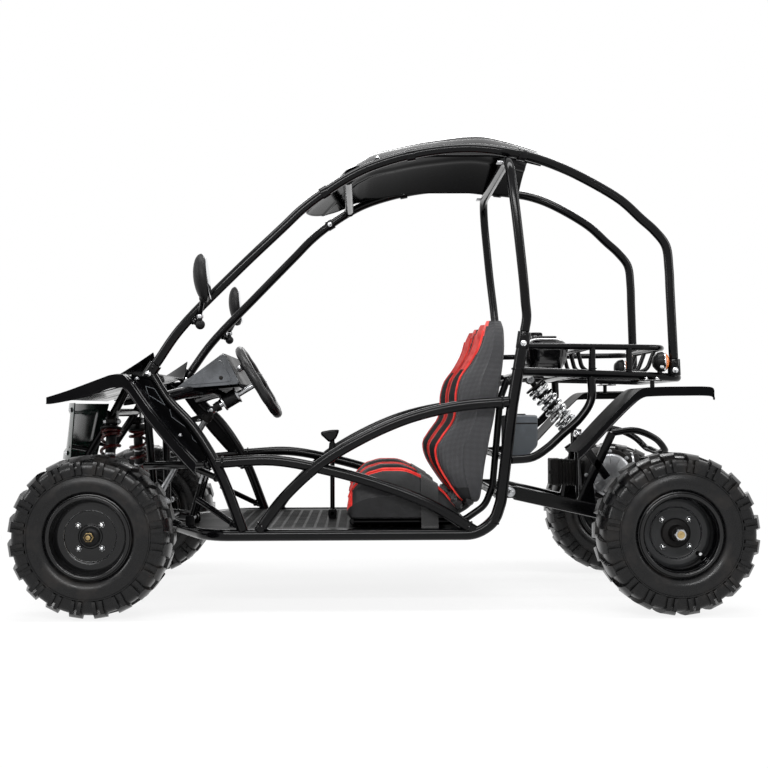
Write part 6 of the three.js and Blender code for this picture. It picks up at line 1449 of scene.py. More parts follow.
def crumpled(side, middle):
    """Loose cloth where a seat's back meets its cushion, as the rings of a rumpled roll."""
    rings = []
    for k in range(49):
        y = side * SEAT_CENTRE + (k / 24 - 1) * SEAT_HALF * 0.9
        swell = 0.0135 * (1 - 0.45 * abs(k / 24 - 1) ** 6)
        ring = []
        for j in range(24):
            angle = PI2 * j / 24
            fold = 1 + 0.16 * math.sin(3 * angle + 0.9 * k) + 0.1 * math.sin(5 * angle - 0.5 * k)
            ring.append(Vector((middle[0] * WHEELBASE + swell * fold * math.cos(angle), y,
                                middle[1] * CAGE_HEIGHT + 1.3 * swell * fold * math.sin(angle))))
        rings.append(ring)
    return rings


def seat_parts(name, side):
    """One seat: cushion and back, each padded, with piping, seams and stitches."""
    for kind, table, upright in (("cushion", CUSHION, False), ("back", BACK, True)):
        shape, rings = seat_form(side, table, upright)
        outward = -ALONG if upright else UP
        last = 68 if upright else 66
        for share in (-0.88, 0.88):
            line = seat_line(rings, share, lift=outward * 0.0008)[4:last]
            shape.tube(line[::2], 0.0034, "leather_red", 8)
        for share in (-0.5, 0.5):
            line = seat_line(rings, share, lift=outward * 0.0004)[6:last - 4]
            shape.tube(line[::2], 0.0016, "thread_black", 6)
            for shift in (-0.035, 0.035):
                row = seat_line(rings, share + shift, lift=outward * 0.0003)[8:last - 6]
                strung(shape, stitch("thread_red"), row, 60 if upright else 36)
        shape.rings(crumpled(side, (0.1315, 0.2235) if not upright else (0.151, 0.2315)), "leather_black")
        if upright:
            across = [rings[53][k] + outward * 0.0006 for k in range(10, 35)]
            shape.tube(across, 0.0022, "thread_black", 6)
        piece = shape.piece(f"seat_{kind}_padded_{name}", f"seat_{kind}_{name}", "seat_cover", crease=50)


def stitch(name):
    """One stitch of thread, for copying."""
    return Shape().tube([Vector((0, 0, -0.0022)), Vector((0, 0, 0)), Vector((0, 0, 0.0022))], 0.0006, name, 6)


def seat_belts():
    """One lap strap over both seats, with its buckle plates and anchor plates."""
    half = [(0.86, 0.1763), (0.83, 0.182), (0.819, 0.2), (0.819, 0.27), (0.79, 0.291), (0.68, 0.291),
            (0.43, 0.274),
            (0.18, 0.293), (0.06, 0.293), (0.032, 0.27)]
    line = [Vector((y * HALF_TRACK, z * CAGE_HEIGHT)) for y, z in half]
    line += [Vector((-p.x, p.y)) for p in reversed(line)]
    line = rounded(line, 0.014, False, 5)
    low, high = half[0][1] * CAGE_HEIGHT, half[4][1] * CAGE_HEIGHT
    rings = []
    for i, p in enumerate(line):
        run = (line[min(i + 1, len(line) - 1)] - line[max(i - 1, 0)]).normalized()
        rise = max((p.y - low) / (high - low), 0)
        ring = []
        for x, t in ((0, 0), (0.014, 0.0004), (0.03, 0.0004), (0.044, 0), (0.044, 1), (0.03, 0.9),
                     (0.014, 0.9), (0, 1)):
            drop = t * SHEET
            ring.append(Vector((0.065 * WHEELBASE + x, p.x - run.y * drop,
                                p.y + run.x * drop - 0.6 * x * rise)))
        rings.append(ring)
    shape = Shape().rings(rings, "webbing")
    for _, side in SIDES:
        at = Vector((0.065 * WHEELBASE + 0.022, side * 0.43 * HALF_TRACK, 0.274 * CAGE_HEIGHT - 0.012))
        tilt = Matrix.Rotation(0.54, 4, "Y")
        shape.block(at + UP * 0.006, (0.05, 0.07, 0.012), "soft_plastic", tilt, 0.002, 0.006)
        shape.block(at + UP * 0.0125, (0.02, 0.022, 0.004), "button_red", tilt, 0.001, 0.002)
        shape.block(at + UP * 0.003 + ACROSS * side * 0.05, (0.048, 0.03, 0.003), "chrome", tilt, 0.0008,
                    0.004)
    return shape.piece("seat_belt_straps", "seat_belts", "webbing")


# Wheels

def walled(line, wall):
    """A closed profile: a line and the same line set off by a wall."""
    line = [Vector(p) for p in line]
    back = []
    for i, p in enumerate(line):
        run = (line[min(i + 1, len(line) - 1)] - line[max(i - 1, 0)]).normalized()
        back.append(p + Vector((-run.y, run.x)) * wall)
    return line + back[::-1]


# Radius and half width along a tyre's outside and inside, from its bead to its crown
CARCASS = [(0.097, 0.066), (0.1, 0.0705), (0.1045, 0.0722), (0.107, 0.0712), (0.1095, 0.0735), (0.113, 0.077),
           (0.1175, 0.0805), (0.123, 0.0832), (0.129, 0.0845), (0.1355, 0.0842), (0.142, 0.0825),
           (0.148, 0.0805), (0.1505, 0.08), (0.1518, 0.0816), (0.1545, 0.0816), (0.156, 0.0796),
           (0.168, 0.0796), (0.179, 0.0785), (0.188, 0.07), (0.1925, 0.052), (0.1938, 0.02)]
LINER = [(0.097, 0.056), (0.13, 0.07), (0.165, 0.06), (0.178, 0.03)]


def tyre(name, end, x, side):
    """A knobbly tyre: bulged carcass with its bead ring, and two staggered rows of lugs."""
    sizes = bpy.context.scene.kart_wheels
    centre = Vector((x, side * HALF_TRACK, AXLE_HEIGHT))
    out = ACROSS * side
    crown = CARCASS + [(r, -h) for r, h in reversed(CARCASS)]
    inner = [(r, -h) for r, h in LINER] + LINER[::-1]
    shape = Shape().lathe(crown + inner, centre, out, "tyre_rubber", 96)
    count = sizes.lugs
    for row, turn in ((1, 0), (-1, 0.5)):
        lug = lug_form(centre, row, turn * PI2 / count, sizes.lug_width)
        copied(shape, lug, count, (0, PI2 / count, 0), pivot=centre)
    return shape.piece(f"{end}_tyre_tread_{name}", f"{end}_tyre_{name}", "tyre", crease=42)


def lug_form(centre, row, start, width):
    """One lug: a leaning tread block that runs over the shoulder into two side ridges."""
    shape = Shape()

    def at(height, radius, around):
        angle = start + around / max(radius, 0.01)
        return centre + Vector((radius * math.sin(angle), row * height, radius * math.cos(angle)))

    def run(stations, wide, shift=0.0):
        rings = []
        for height, low, top_height, high, lean, share in stations:
            w = wide * share
            rings.append([at(height, low, shift + lean - w * 1.12), at(top_height, high, shift + lean - w),
                          at(top_height, high, shift + lean + w), at(height, low, shift + lean + w * 1.12)])
        shape.rings(rings, "tyre_rubber")
    run([(0.004, 0.19, 0.006, 0.2015, 0.012, 1.35), (0.03, 0.19, 0.03, 0.2025, 0.006, 1.5),
         (0.052, 0.187, 0.052, 0.2018, 0.001, 1.45),
         (0.062, 0.184, 0.064, 0.1995, 0, 1.35), (0.07, 0.18, 0.0745, 0.1955, 0, 1.2),
         (0.077, 0.174, 0.0845, 0.189, 0, 1.06)], width / 2)
    for shift in (-0.36 * width, 0.36 * width):
        run([(0.077, 0.172, 0.087, 0.188, 0, 1), (0.0782, 0.168, 0.0905, 0.179, 0, 1),
             (0.0785, 0.164, 0.0895, 0.167, 0, 1),
             (0.0785, 0.156, 0.0865, 0.1565, 0, 0.8)], width * 0.19, shift)
    return shape


def lifted(profile, height):
    """A profile of radius and height, moved up."""
    return [(radius, at + height) for radius, at in profile]


def rim(name, end, x, side):
    """A pressed rim with its disc, stud nuts and hub, and with a valve at the rear."""
    centre, out = Vector((x, side * HALF_TRACK, AXLE_HEIGHT)), ACROSS * side
    front = end == "front"
    shape = Shape()
    barrel = [(0.1025, 0.0745), (0.1005, 0.0772), (0.0972, 0.0762), (0.0955, 0.07), (0.0948, 0.06),
              (0.0895, 0.05), (0.0885, 0.03)]
    barrel += [(r, -h) for r, h in reversed(barrel)]
    shape.lathe(walled(rounded(barrel, 0.004, False, 3), -0.0032), centre, out, "rim_paint", 72)
    face = 0.041 if front else 0.012
    disc = [(0.0875, 0.003), (0.079, 0.0045), (0.071, 0.003), (0.0655, 0.0015), (0.064, -0.003),
            (0.056, -0.004),
            (0.0305, -0.004), (0.0285, -0.001), (0.0245, -0.001)]
    # The rear discs take a lighter grey than the front ones: painted light, not a paint of their own.
    paint = "rim_paint" if front else "hub_paint"
    shape.lathe(walled(rounded(lifted(disc, face), 0.002, False, 3), 0.0038), centre, out, paint, 72)
    bead = [(0.0646, 0.0016), (0.0654, 0.0008), (0.0662, 0.0018), (0.0654, 0.0024)]
    shape.lathe(lifted(bead, face), centre, out, "zinc", 72)
    radius = 0.041 if front else 0.048
    nut = Shape()
    spot_at = centre + out * (face - 0.0045) + Vector((radius * math.cos(0.8), 0, radius * math.sin(0.8)))
    nut.disc(spot_at, out, 0.0076, 0.0066, "chrome", 6, 0.0008)
    nut.ball(spot_at + out * 0.0066, 0.0066, "chrome", 14, 0.9, out)
    copied(shape, nut, 4, (0, math.pi / 2, 0), pivot=centre)
    if front:
        cap = [(0.0245, -0.012), (0.0245, 0.006), (0.021, 0.0095), (0.014, 0.0115), (0.0105, 0.0115),
               (0.0105, -0.012)]
        shape.lathe(lifted(cap, face), centre, out, "soft_plastic", 48)
    else:
        hub = [(0.037, -0.004), (0.037, 0.003), (0.034, 0.006), (0.021, 0.008), (0.019, 0.0415),
               (0.0155, 0.0415),
               (0.0155, -0.004)]
        shape.lathe(lifted(hub, face), centre, out, "heat_paint", 48, 0.001)
    shape.ring(centre - out * 0.006, out, 0.031, 0.0157 if not front else 0.0105, face + 0.002, "alloy", 40,
               0.0015)
    if not front:
        valve = Vector((0.074 * math.cos(-0.75), 0, 0.074 * math.sin(-0.75)))
        base = centre + valve + out * (face + 0.002)
        shape.lathe([(0, 0), (0.0055, 0), (0.0055, 0.005), (0.0036, 0.009), (0.0034, 0.024), (0, 0.026)],
                    base, out, "grip_rubber", 16, 0.0006)
        shape.disc(base + out * 0.023, out, 0.0042, 0.009, "chrome", 16)
    return shape.piece(f"{end}_rim_disc_{name}", f"{end}_rim_{name}", "rim")


def castle_nut(shape, centre, out, size, height, name="brass"):
    """A castle nut with its slots."""
    shape.disc(centre, out, size, height * 0.62, name, 6, 0.001)
    place = basis(centre + out * height * 0.6, out)
    for k in range(6):
        angle = math.pi * (k + 0.5) / 3
        at = place @ Vector((size * 0.6 * math.cos(angle), size * 0.6 * math.sin(angle), height * 0.18))
        turn = place.to_3x3().to_4x4() @ Matrix.Rotation(angle, 4, "Z")
        shape.block(at, (size * 0.42, size * 0.5, height * 0.38), name, turn, 0.0005, 0.001)


def rear_axle():
    """Live axle with its nuts, collars, toothed sprocket and drilled brake disc."""
    shape = Shape()
    centre = Vector((REAR_AXLE, 0, AXLE_HEIGHT))
    shape.tube([centre + ACROSS * end * (HUB_END + 0.016) for end in (-1, 0, 1)], 0.015, "zinc", 28)
    for _, side in SIDES:
        out = ACROSS * side
        castle_nut(shape, centre + out * (HUB_END + GAP), out, 0.0185, 0.0157, "heat_paint")
        shape.disc(centre + out * (HUB_END + 0.0155), out, 0.0095, 0.0012, "brass", 32, 0.0004)
        shape.disc(centre + out * (HALF_TRACK + 0.024 - 0.0303), -out, 0.0255, 0.018, "alloy", 32)
    shape.disc(centre + ACROSS * 0.105, ACROSS, 0.0745, 0.006, "chain_steel", 72)
    tooth = Shape()
    profile = [(-0.0055, 0.073), (0.0055, 0.073), (0.002, 0.0795), (-0.002, 0.0795)]
    tooth.slab([(centre.x + x, centre.z + z) for x, z in profile], 0.1056, 0.1104, "chain_steel", 0.0006)
    copied(shape, tooth, 37, (0, PI2 / 37, 0), pivot=centre)
    shape.disc(centre + ACROSS * 0.1025, ACROSS, 0.05, 0.011, "alloy", 6, 0.002)
    shape.disc(centre - ACROSS * 0.1095, ACROSS, 0.084, 0.003, "zinc", 72, 0.0004)
    shape.disc(centre - ACROSS * 0.114, ACROSS, 0.046, 0.012, "alloy", 40, 0.002)
    # The brake disc's holes are dark plugs set through it: painted shade where the holes would be.
    hole = Shape().disc(centre + ACROSS * -0.1101 + UP * 0.068, ACROSS, 0.0045, 0.0042, "heat_paint", 14,
                        0.0002)
    copied(shape, hole, 18, (0, math.pi / 9, 0), pivot=centre)
    bolt = Shape().bolt(centre + ACROSS * 0.1135 + UP * 0.036, ACROSS, 0.0062)
    copied(shape, bolt, 6, (0, math.pi / 3, 0), pivot=centre)
    return shape.piece("rear_axle_detail", "rear_axle", "steel")


# Steering and pedals

def steering_wheel():
    """Foam rim with stitches, three pressed spokes, hub cover, shaft and joint yoke."""
    shape = Shape()
    place = basis(WHEEL_HUB, COLUMN_LINE, ACROSS)

    def around(radius, angle, height=0.0):
        return place @ Vector((radius * math.cos(angle), radius * math.sin(angle), height))
    ring = [around(0.098, PI2 * k / 96) for k in range(96)]
    shape.tube(ring, [0.0126 + 0.0004 * math.cos(12 * PI2 * k / 96) for k in range(96)], "grip_foam", 20,
               loop=True)
    seam = [around(0.0855, PI2 * k / 60) for k in range(61)]
    strung(shape, stitch("thread_black"), seam, 110)
    for degrees in (90, 210, 330):
        angle = math.radians(degrees)
        start, end = around(0.02, -angle, -0.002), around(0.089, -angle, 0.001)
        for shift in (-1, 1):
            off = (around(1, -angle + math.pi / 2) - WHEEL_HUB) * 0.006 * shift
            shape.tube([start + off * 1.4, start.lerp(end, 0.5) + off, end + off * 1.3], 0.0042,
                       "gloss_tube", 12)
        shape.tube([start, end], 0.005, "soft_plastic", 12)
    shape.lathe([(0, -0.017), (0.018, -0.0165), (0.0235, -0.012), (0.024, 0.004), (0.021, 0.013),
                 (0, 0.013)], WHEEL_HUB, COLUMN_LINE,
                "soft_plastic", 40, 0.002)
    for k in range(3):
        at = around(0.0145, k * PI2 / 3 + 0.5, -0.0165)
        shape.disc(at, -COLUMN_LINE, 0.0026, 0.0022, "zinc", 6)
    shape.tube([WHEEL_HUB, COLUMN_JOINT - COLUMN_LINE * 0.004], 0.008, "zinc", 24)
    shape.ring(COLUMN_JOINT - COLUMN_LINE * 0.026, COLUMN_LINE, 0.0125, 0.0075, 0.016, "heat_paint", 28)
    shape.ball(COLUMN_JOINT, 0.0115, "zinc", 20)
    yoke(shape, COLUMN_JOINT, -COLUMN_LINE, ACROSS)
    return shape.piece("steering_wheel_detail", "steering_wheel", "grip")


def yoke(shape, centre, away, near):
    """One fork of a universal joint."""
    place = basis(centre, away, near)
    for end in (-1, 1):
        at = place @ Vector((end * 0.0108, 0, 0.007))
        shape.block(at, (0.0034, 0.014, 0.024), "heat_paint", place.to_3x3().to_4x4(), 0.0008, 0.002)
        pin = place @ Vector((end * 0.0122, 0, 0))
        shape.disc(pin, (pin - centre), 0.0048, 0.0022, "zinc", 16)
    shape.disc(place @ Vector((0, 0, 0.0165)), away, 0.0135, 0.009, "heat_paint", 28)


def lower_shaft():
    """The shaft from the universal joint down to the steering gear."""
    shape = Shape()
    head, foot = COLUMN_JOINT + -PINION_LINE * 0.0143, PINION + PINION_LINE * 0.0078
    shape.tube([head - PINION_LINE * 0.008, foot], 0.008, "zinc", 24)
    shape.disc(head, -PINION_LINE, 0.0138, 0.02, "heat_paint", 28, 0.002)
    for end in (-1, 1):
        place = basis(COLUMN_JOINT, -PINION_LINE, ALONG)
        at = place @ Vector((0, end * 0.0112, 0.0085))
        shape.block(at, (0.013, 0.0032, 0.016), "heat_paint", place.to_3x3().to_4x4(), 0.0008, 0.001)
    for share in (0.55, 0.62):
        shape.disc(COLUMN_JOINT.lerp(foot, share), PINION_LINE, 0.0105, 0.005, "zinc", 24)
    return shape.piece("lower_shaft_detail", "steering_lower_shaft", "steel")


def steering_gear():
    """Rack bar and tie rods with their bellows and ball joints."""
    shape = Shape().tube([Vector((RACK_X, y, ARM_PIVOT_HEIGHT)) for y in (-RACK_HALF, 0, RACK_HALF)], 0.008,
                         "zinc", 24)
    for end in (-1, 1):
        shape.disc(Vector((RACK_X, end * (RACK_HALF - 0.0024), ARM_PIVOT_HEIGHT)), ACROSS * end, 0.0138,
                   0.0024, "zinc", 24, 0.0004)
    shape.piece("steering_rack_detail", "steering_rack", "steel")
    for name, side in SIDES:
        out = ACROSS * side
        start = Vector((RACK_X, side * (RACK_HALF + 0.0008), ARM_PIVOT_HEIGHT))
        stop = steering_arm_end(side) - out * 0.0105
        rod = Shape().tube([start + out * 0.005, stop], 0.006, "zinc", 18)
        rings = [(0.0092 if k % 2 else 0.007, 0.0125 + 0.0026 * k) for k in range(11)]
        ball = [(0, 0.0004), (0.0035, 0.0011), (0.0062, 0.0028), (0.0082, 0.0056), (0.009, 0.0095)]
        rod.lathe([*ball, *rings, (0, 0.0405)], start, out, "hose_black", 24)
        rod.disc(stop - out * 0.05, out, 0.0088, 0.009, "zinc", 6)
        rod.disc(stop - out * 0.016, out, 0.0088, 0.0155, "heat_paint", 20, 0.002)
        rod.piece(f"tie_rod_detail_{name}", f"tie_rod_{name}", "steel")


def pedals():
    """Throttle and brake pedals with ribbed rubber pads."""
    for node, y in PEDALS.items():
        foot = Vector((PEDAL_X, y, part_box(node)[0].z + 0.0102))
        tip = Vector((foot.x + 0.035, y, foot.z + 0.125))
        shape = Shape()
        shape.ring(foot - ACROSS * 0.015, ACROSS, 0.0102, BORE["hinge"], 0.03, "gloss_tube", 28)
        shape.tube([foot + (tip - foot).normalized() * 0.009, foot.lerp(tip, 0.5), tip], 0.007)
        turn = Matrix.Rotation(0.3, 4, "Y")
        shape.block(tip, (0.006, 0.047, 0.06), "zinc", turn, 0.001, 0.0)
        for k in range(6):
            at = tip + turn @ Vector((0.0048, 0, -0.024 + 0.0096 * k))
            shape.block(at, (0.0035, 0.042, 0.005), "grip_rubber", turn, 0.0012, 0.0)
        shape.piece(f"{node}_detail", node, "frame_tube")


def shift_lever():
    """Gear lever with its moulded knob."""
    head = LEVER_FOOT + UP * 0.215
    shape = Shape()
    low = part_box("shift_lever")[0]
    shape.ring(LEVER_FOOT - ACROSS * 0.0095, ACROSS, LEVER_FOOT.z - low.z, BORE["hinge"], 0.019,
               "gloss_tube", 28)
    shape.tube([LEVER_FOOT + UP * 0.011, LEVER_FOOT + UP * 0.12, head], 0.0065, "gloss_tube", 20)
    shape.lathe([(0, -0.05), (0.0095, -0.05), (0.0105, -0.03), (0.0085, -0.015), (0, -0.012)], head, UP,
                "grip_rubber", 24, 0.001)
    wide, tall = 0.052, 0.03
    knob = [(-0.62, 0.55), (-0.1, 0.72), (0.36, 0.74), (0.36, 0.5), (0.2, -0.15), (-0.15, -0.5),
            (-0.45, -0.02),
            (-0.63, 0.25)]
    outline = [(head.x + wide * x, head.z + tall * z) for x, z in knob]
    shape.slab(outline, -0.014, 0.014, "soft_plastic", 0.005, 0.006)
    return shape.piece("shift_lever_detail", "shift_lever", "frame_tube")


# Front suspension

def shock_absorber(shapes, top, foot, line, size):
    """A shock's upper part, its rod, and the spring between their seats."""
    body, rod, spring = shapes
    run, length = (foot - top).normalized(), (foot - top).length
    neck = 1.7 * size["eye"]
    body.ring(top - line * size["eye_length"] / 2, line, size["eye"], size["bolt"] + 0.0008,
              size["eye_length"], "heat_paint", 28)
    body.ring(top - line * size["eye_length"] * 0.48, line, size["eye"] * 0.78, size["bolt"] + 0.0008,
              size["eye_length"] * 0.96, "grip_rubber", 24)
    body.tube([top + run * size["eye"] * 0.8, top + run * (neck + 0.004)], size["rod"] + 0.001,
              size["metal"], 18)
    body.disc(top + run * neck, run, size["body"], length * 0.26 - neck, size["metal"], 32, 0.0015)
    body.ring(top + run * length * 0.25, run, size["body"], size["rod"] + 0.0012, length * 0.33,
              size["metal"], 32, 0.001)
    body.disc(top + run * neck, run, size["seat"], 0.005, size["metal"], 40, 0.0015)
    for share in (0.36, 0.54):
        body.ring(top + run * length * share, run, size["body"] + 0.0016, size["body"] - 0.001, 0.005,
                  "zinc", 32)
    rod.ring(foot - line * size["eye_length"] / 2, line, size["eye"], size["bolt"] + 0.0012,
             size["eye_length"], "heat_paint", 28)
    rod.tube([foot - run * size["eye"] * 0.8, top + run * length * 0.52], size["rod"], "chrome", 20)
    rod.disc(foot - run * (neck + 0.005), run, size["seat"], 0.005, size["metal"], 40, 0.0015)
    rod.disc(foot - run * (neck - 0.002), run, size["rod"] + 0.004, neck * 0.55, size["metal"], 24)
    spring.coil(top + run * (neck + 0.0052), foot - run * (neck + 0.0052), size["spring"], size["wire"],
                size["turns"], size["paint"])


FRONT_SHOCK = {"spring": 0.024, "wire": 0.0045, "turns": 7.5, "body": 0.0138, "rod": 0.006, "eye": 0.011,
               "eye_length": 0.018,
               "bolt": 0.005, "seat": 0.0305, "metal": "soft_plastic", "paint": "spring_red", "travel": 0.018}
REAR_SHOCK = {"spring": 0.0262, "wire": 0.006, "turns": 8.5, "body": 0.0158, "rod": 0.007, "eye": 0.013,
              "eye_length": 0.024,
              "bolt": 0.006, "seat": 0.0325, "metal": "soft_plastic", "paint": "chrome", "travel": 0.03}


def spring_seat(top, foot, size):
    """The foot of a spring and the share of its length that is left when its shock is closed."""
    lift = 1.7 * size["eye"] + 0.0052
    return foot + (top - foot).normalized() * lift, 1 - size["travel"] / ((top - foot).length - 2 * lift)


def front_suspension(name, side):
    """A-arm, knuckle and shock of one side."""
    pin, out = king_pin(side), ACROSS * side
    arm = Shape()
    yoke_root = pin - out * 0.038
    half = 0.036
    for end in (-1, 1):
        arm.block(pin - out * 0.004 + UP * end * (half + 0.005), (0.022, 0.05, 0.0098), "gloss_tube", None,
                  0.0015, 0.003)
        arm.bolt(pin + UP * end * (half + 0.0098), UP * end, 0.0085, "zinc", True, False)
    arm.block(yoke_root + out * 0.006, (0.022, 0.014, 2 * half + 0.012), "gloss_tube", None, 0.0015, 0.0)
    arm.tube([pin - UP * half, pin + UP * half], 0.008, "zinc", 20)
    for share in ARM_FEET:
        foot = Vector((share * WHEELBASE, side * ARM_SPREAD, ARM_PIVOT_HEIGHT))
        arm.ring(foot - ALONG * 0.017, ALONG, 0.013, BORE["hinge"], 0.034, "gloss_tube", 28)
        arm.tube([foot + (yoke_root - foot).normalized() * 0.012, yoke_root], 0.011)
        arm.weld(foot + (yoke_root - foot).normalized() * 0.015, yoke_root - foot, 0.011, size=0.002)
    top, eye = front_eyes(side)
    share = (abs(eye.y) - ARM_SPREAD) / (abs(yoke_root.y) - ARM_SPREAD)
    middle = Vector((FRONT_AXLE, side * ARM_SPREAD, ARM_PIVOT_HEIGHT)).lerp(yoke_root, share)
    for end in (-1, 1):
        at = Vector((eye.x + end * FRONT_EAR, eye.y, (eye.z + middle.z) / 2))
        arm.block(at, (PLATE, 0.0132, abs(eye.z - middle.z) + 0.008), "gloss_tube", None, 0.0006, 0.0)
        arm.bolt(at + ALONG * end * PLATE / 2 + UP * (eye.z - at.z), ALONG * end, 0.0075, "zinc")
    arm.tube([eye - ALONG * 0.0143, eye + ALONG * 0.0143], 0.005, "zinc", 16)
    arm.tube([Vector((FRONT_AXLE - 0.04, middle.y, middle.z)),
              Vector((FRONT_AXLE + 0.03, middle.y, middle.z))], 0.008)
    arm.piece(f"front_arm_tubes_{name}", f"front_arm_{name}", "frame_tube")
    knuckle = Shape()
    knuckle.ring(pin - UP * 0.0357, UP, 0.017, 0.0085, 0.0714, "heat_paint", 32, 0.002)
    tip = Vector((pin.x, side * (HUB_END + 0.0163), pin.z))
    knuckle.tube([pin + out * 0.012, tip], 0.01, "heat_paint", 24)
    knuckle.disc(tip - out * 0.0006, out, 0.0058, 0.0012, "brass", 24, 0.0003)
    knuckle.lathe([(0.0105, 0), (0.022, 0), (0.024, 0.006), (0.02, 0.03), (0.0105, 0.03)], pin + out * 0.016,
                  out, "heat_paint", 32, 0.0015)
    castle_nut(knuckle, Vector((pin.x, side * (HUB_END + GAP), pin.z)), out, 0.0125, 0.0157)
    end = steering_arm_end(side)
    knuckle.tube([pin + UP * 0.018 + ALONG * 0.012,
                  (pin + end) / 2 + UP * (end.z - (pin.z + end.z) / 2 - 0.003), end - ALONG * 0.008,
                  end + ALONG * 0.0078],
                 0.0078, "heat_paint", 16)
    knuckle.ball(end, 0.0095, "zinc", 18)
    knuckle.piece(f"knuckle_detail_{name}", f"knuckle_{name}", "steel")
    shapes = (Shape(), Shape(), Shape())
    shock_absorber(shapes, top, eye, ALONG, FRONT_SHOCK)
    shapes[0].piece(f"front_shock_body_detail_{name}", f"front_shock_body_{name}", "steel")
    spring = shapes[2].piece(f"front_spring_coil_{name}", f"front_spring_{name}", "spring_coat")
    shapes[1].piece(f"front_shock_rod_detail_{name}", f"front_spring_{name}", "steel", stands=False)
    anchor, keep = spring_seat(top, eye, FRONT_SHOCK)
    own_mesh(spring)
    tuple(anchor)


# Rear drive

def swing_arm():
    """Box-section swing arm with its struts, shock tower, rear guard loop and caliper."""
    shape = Shape()
    spread, wide, tall = SWING_SPREAD, 0.03, 0.038
    axle = Vector((REAR_AXLE, 0, AXLE_HEIGHT))

    def at(share, y):
        return Vector((PIVOT.x + (axle.x - PIVOT.x) * share, y, PIVOT.z + (axle.z - PIVOT.z) * share))
    reach = spread + wide - 0.0028
    for _, side in SIDES:
        shape.ring(Vector((PIVOT.x, min(side * reach, side * 0.03), PIVOT.z)), ACROSS, 0.016, BORE["pivot"],
                   reach - 0.03, "gloss_tube", 28)
        y = side * spread
        shape.bar(at(0.032, y), at(0.97, y), wide, tall, bevel=0.004)
        shape.ring(Vector((axle.x, y - 0.018, axle.z)), ACROSS, 0.032, BORE["axle"], 0.036, "alloy", 48,
                   0.002)
        shape.ring(Vector((axle.x, y + side * 0.012 - 0.004, axle.z)), ACROSS, 0.027, BORE["axle"], 0.016,
                   "zinc",
                   40, 0.001)
        tower = Vector((REAR_EYES[1].x, side * REAR_EAR, REAR_EYES[1].z))
        near = Vector((tower.x, side * (0.0123 + 0.00675), tower.z - 0.013))
        shape.tube([at(0.5, y), at(0.5, y).lerp(near, 0.8), near], 0.009)
        shape.block(tower - UP * 0.0065, (0.026, PLATE, 0.039), "gloss_tube", None, 0.0006, 0.0)
        shape.bolt(tower + ACROSS * side * 0.0026, ACROSS * side, 0.009, "chrome")
        strut = Vector((0.43 * WHEELBASE, y, 0.375 * CAGE_HEIGHT))
        shape.bar(at(0.49, y), strut, 0.016, 0.022)
        ends = [Vector((x * WHEELBASE, y, z * CAGE_HEIGHT)) for x, z in ((0.38, 0.34), (0.42, 0.272))]
        shape.bar(*ends, 0.016, 0.022)
        gusset = [at(0.49, y) + UP * 0.012, at(0.62, y) + UP * 0.012, at(0.5, y).lerp(strut, 0.4)]
        shape.slab([(p.x, p.z) for p in gusset], y - 0.002, y + 0.002)
    shape.ring(Vector((PIVOT.x, -0.035, PIVOT.z)), ACROSS, 0.016, BORE["pivot"], 0.07, "gloss_tube", 28)
    shape.tube([at(0.56, -spread), at(0.56, spread)], TUBE["rack"])
    shape.tube(crosswise(REAR_EYES[1], 0.012 + PLATE + 0.006), 0.006, "zinc")
    guard = route(REAR_GUARD)
    shape.tube(flowing([*guard, *mirrored(guard[:-1][::-1])]), 0.009)
    caliper = Vector((axle.x - 0.084 + 0.009, -0.108, axle.z - 0.01))
    for end in (-1, 1):
        shape.block(caliper + ACROSS * end * 0.0145, (0.054, 0.017, 0.06), "alloy", None, 0.003, 0.008)
        for step in (-0.016, 0.016):
            shape.bolt(caliper + ACROSS * end * 0.023 + UP * step, ACROSS * end, 0.005, "zinc")
    shape.block(caliper - ALONG * 0.022, (0.01, 0.045, 0.04), "alloy", None, 0.002, 0.003)
    bracket = spread - 0.108 - wide / 2 + 0.005
    shape.block(Vector((caliper.x, -0.108 - bracket / 2 - 0.01, caliper.z + 0.015)), (0.027, bracket, 0.016),
                "gloss_tube")
    return shape.piece("swing_arm_tubes", "swing_arm", "frame_tube")


CRANK = Vector((0.437 * WHEELBASE, 0, 0.275 * CAGE_HEIGHT))
DRIVE = Vector((0.412 * WHEELBASE, CHAIN_SIDE, 0.25 * CAGE_HEIGHT))


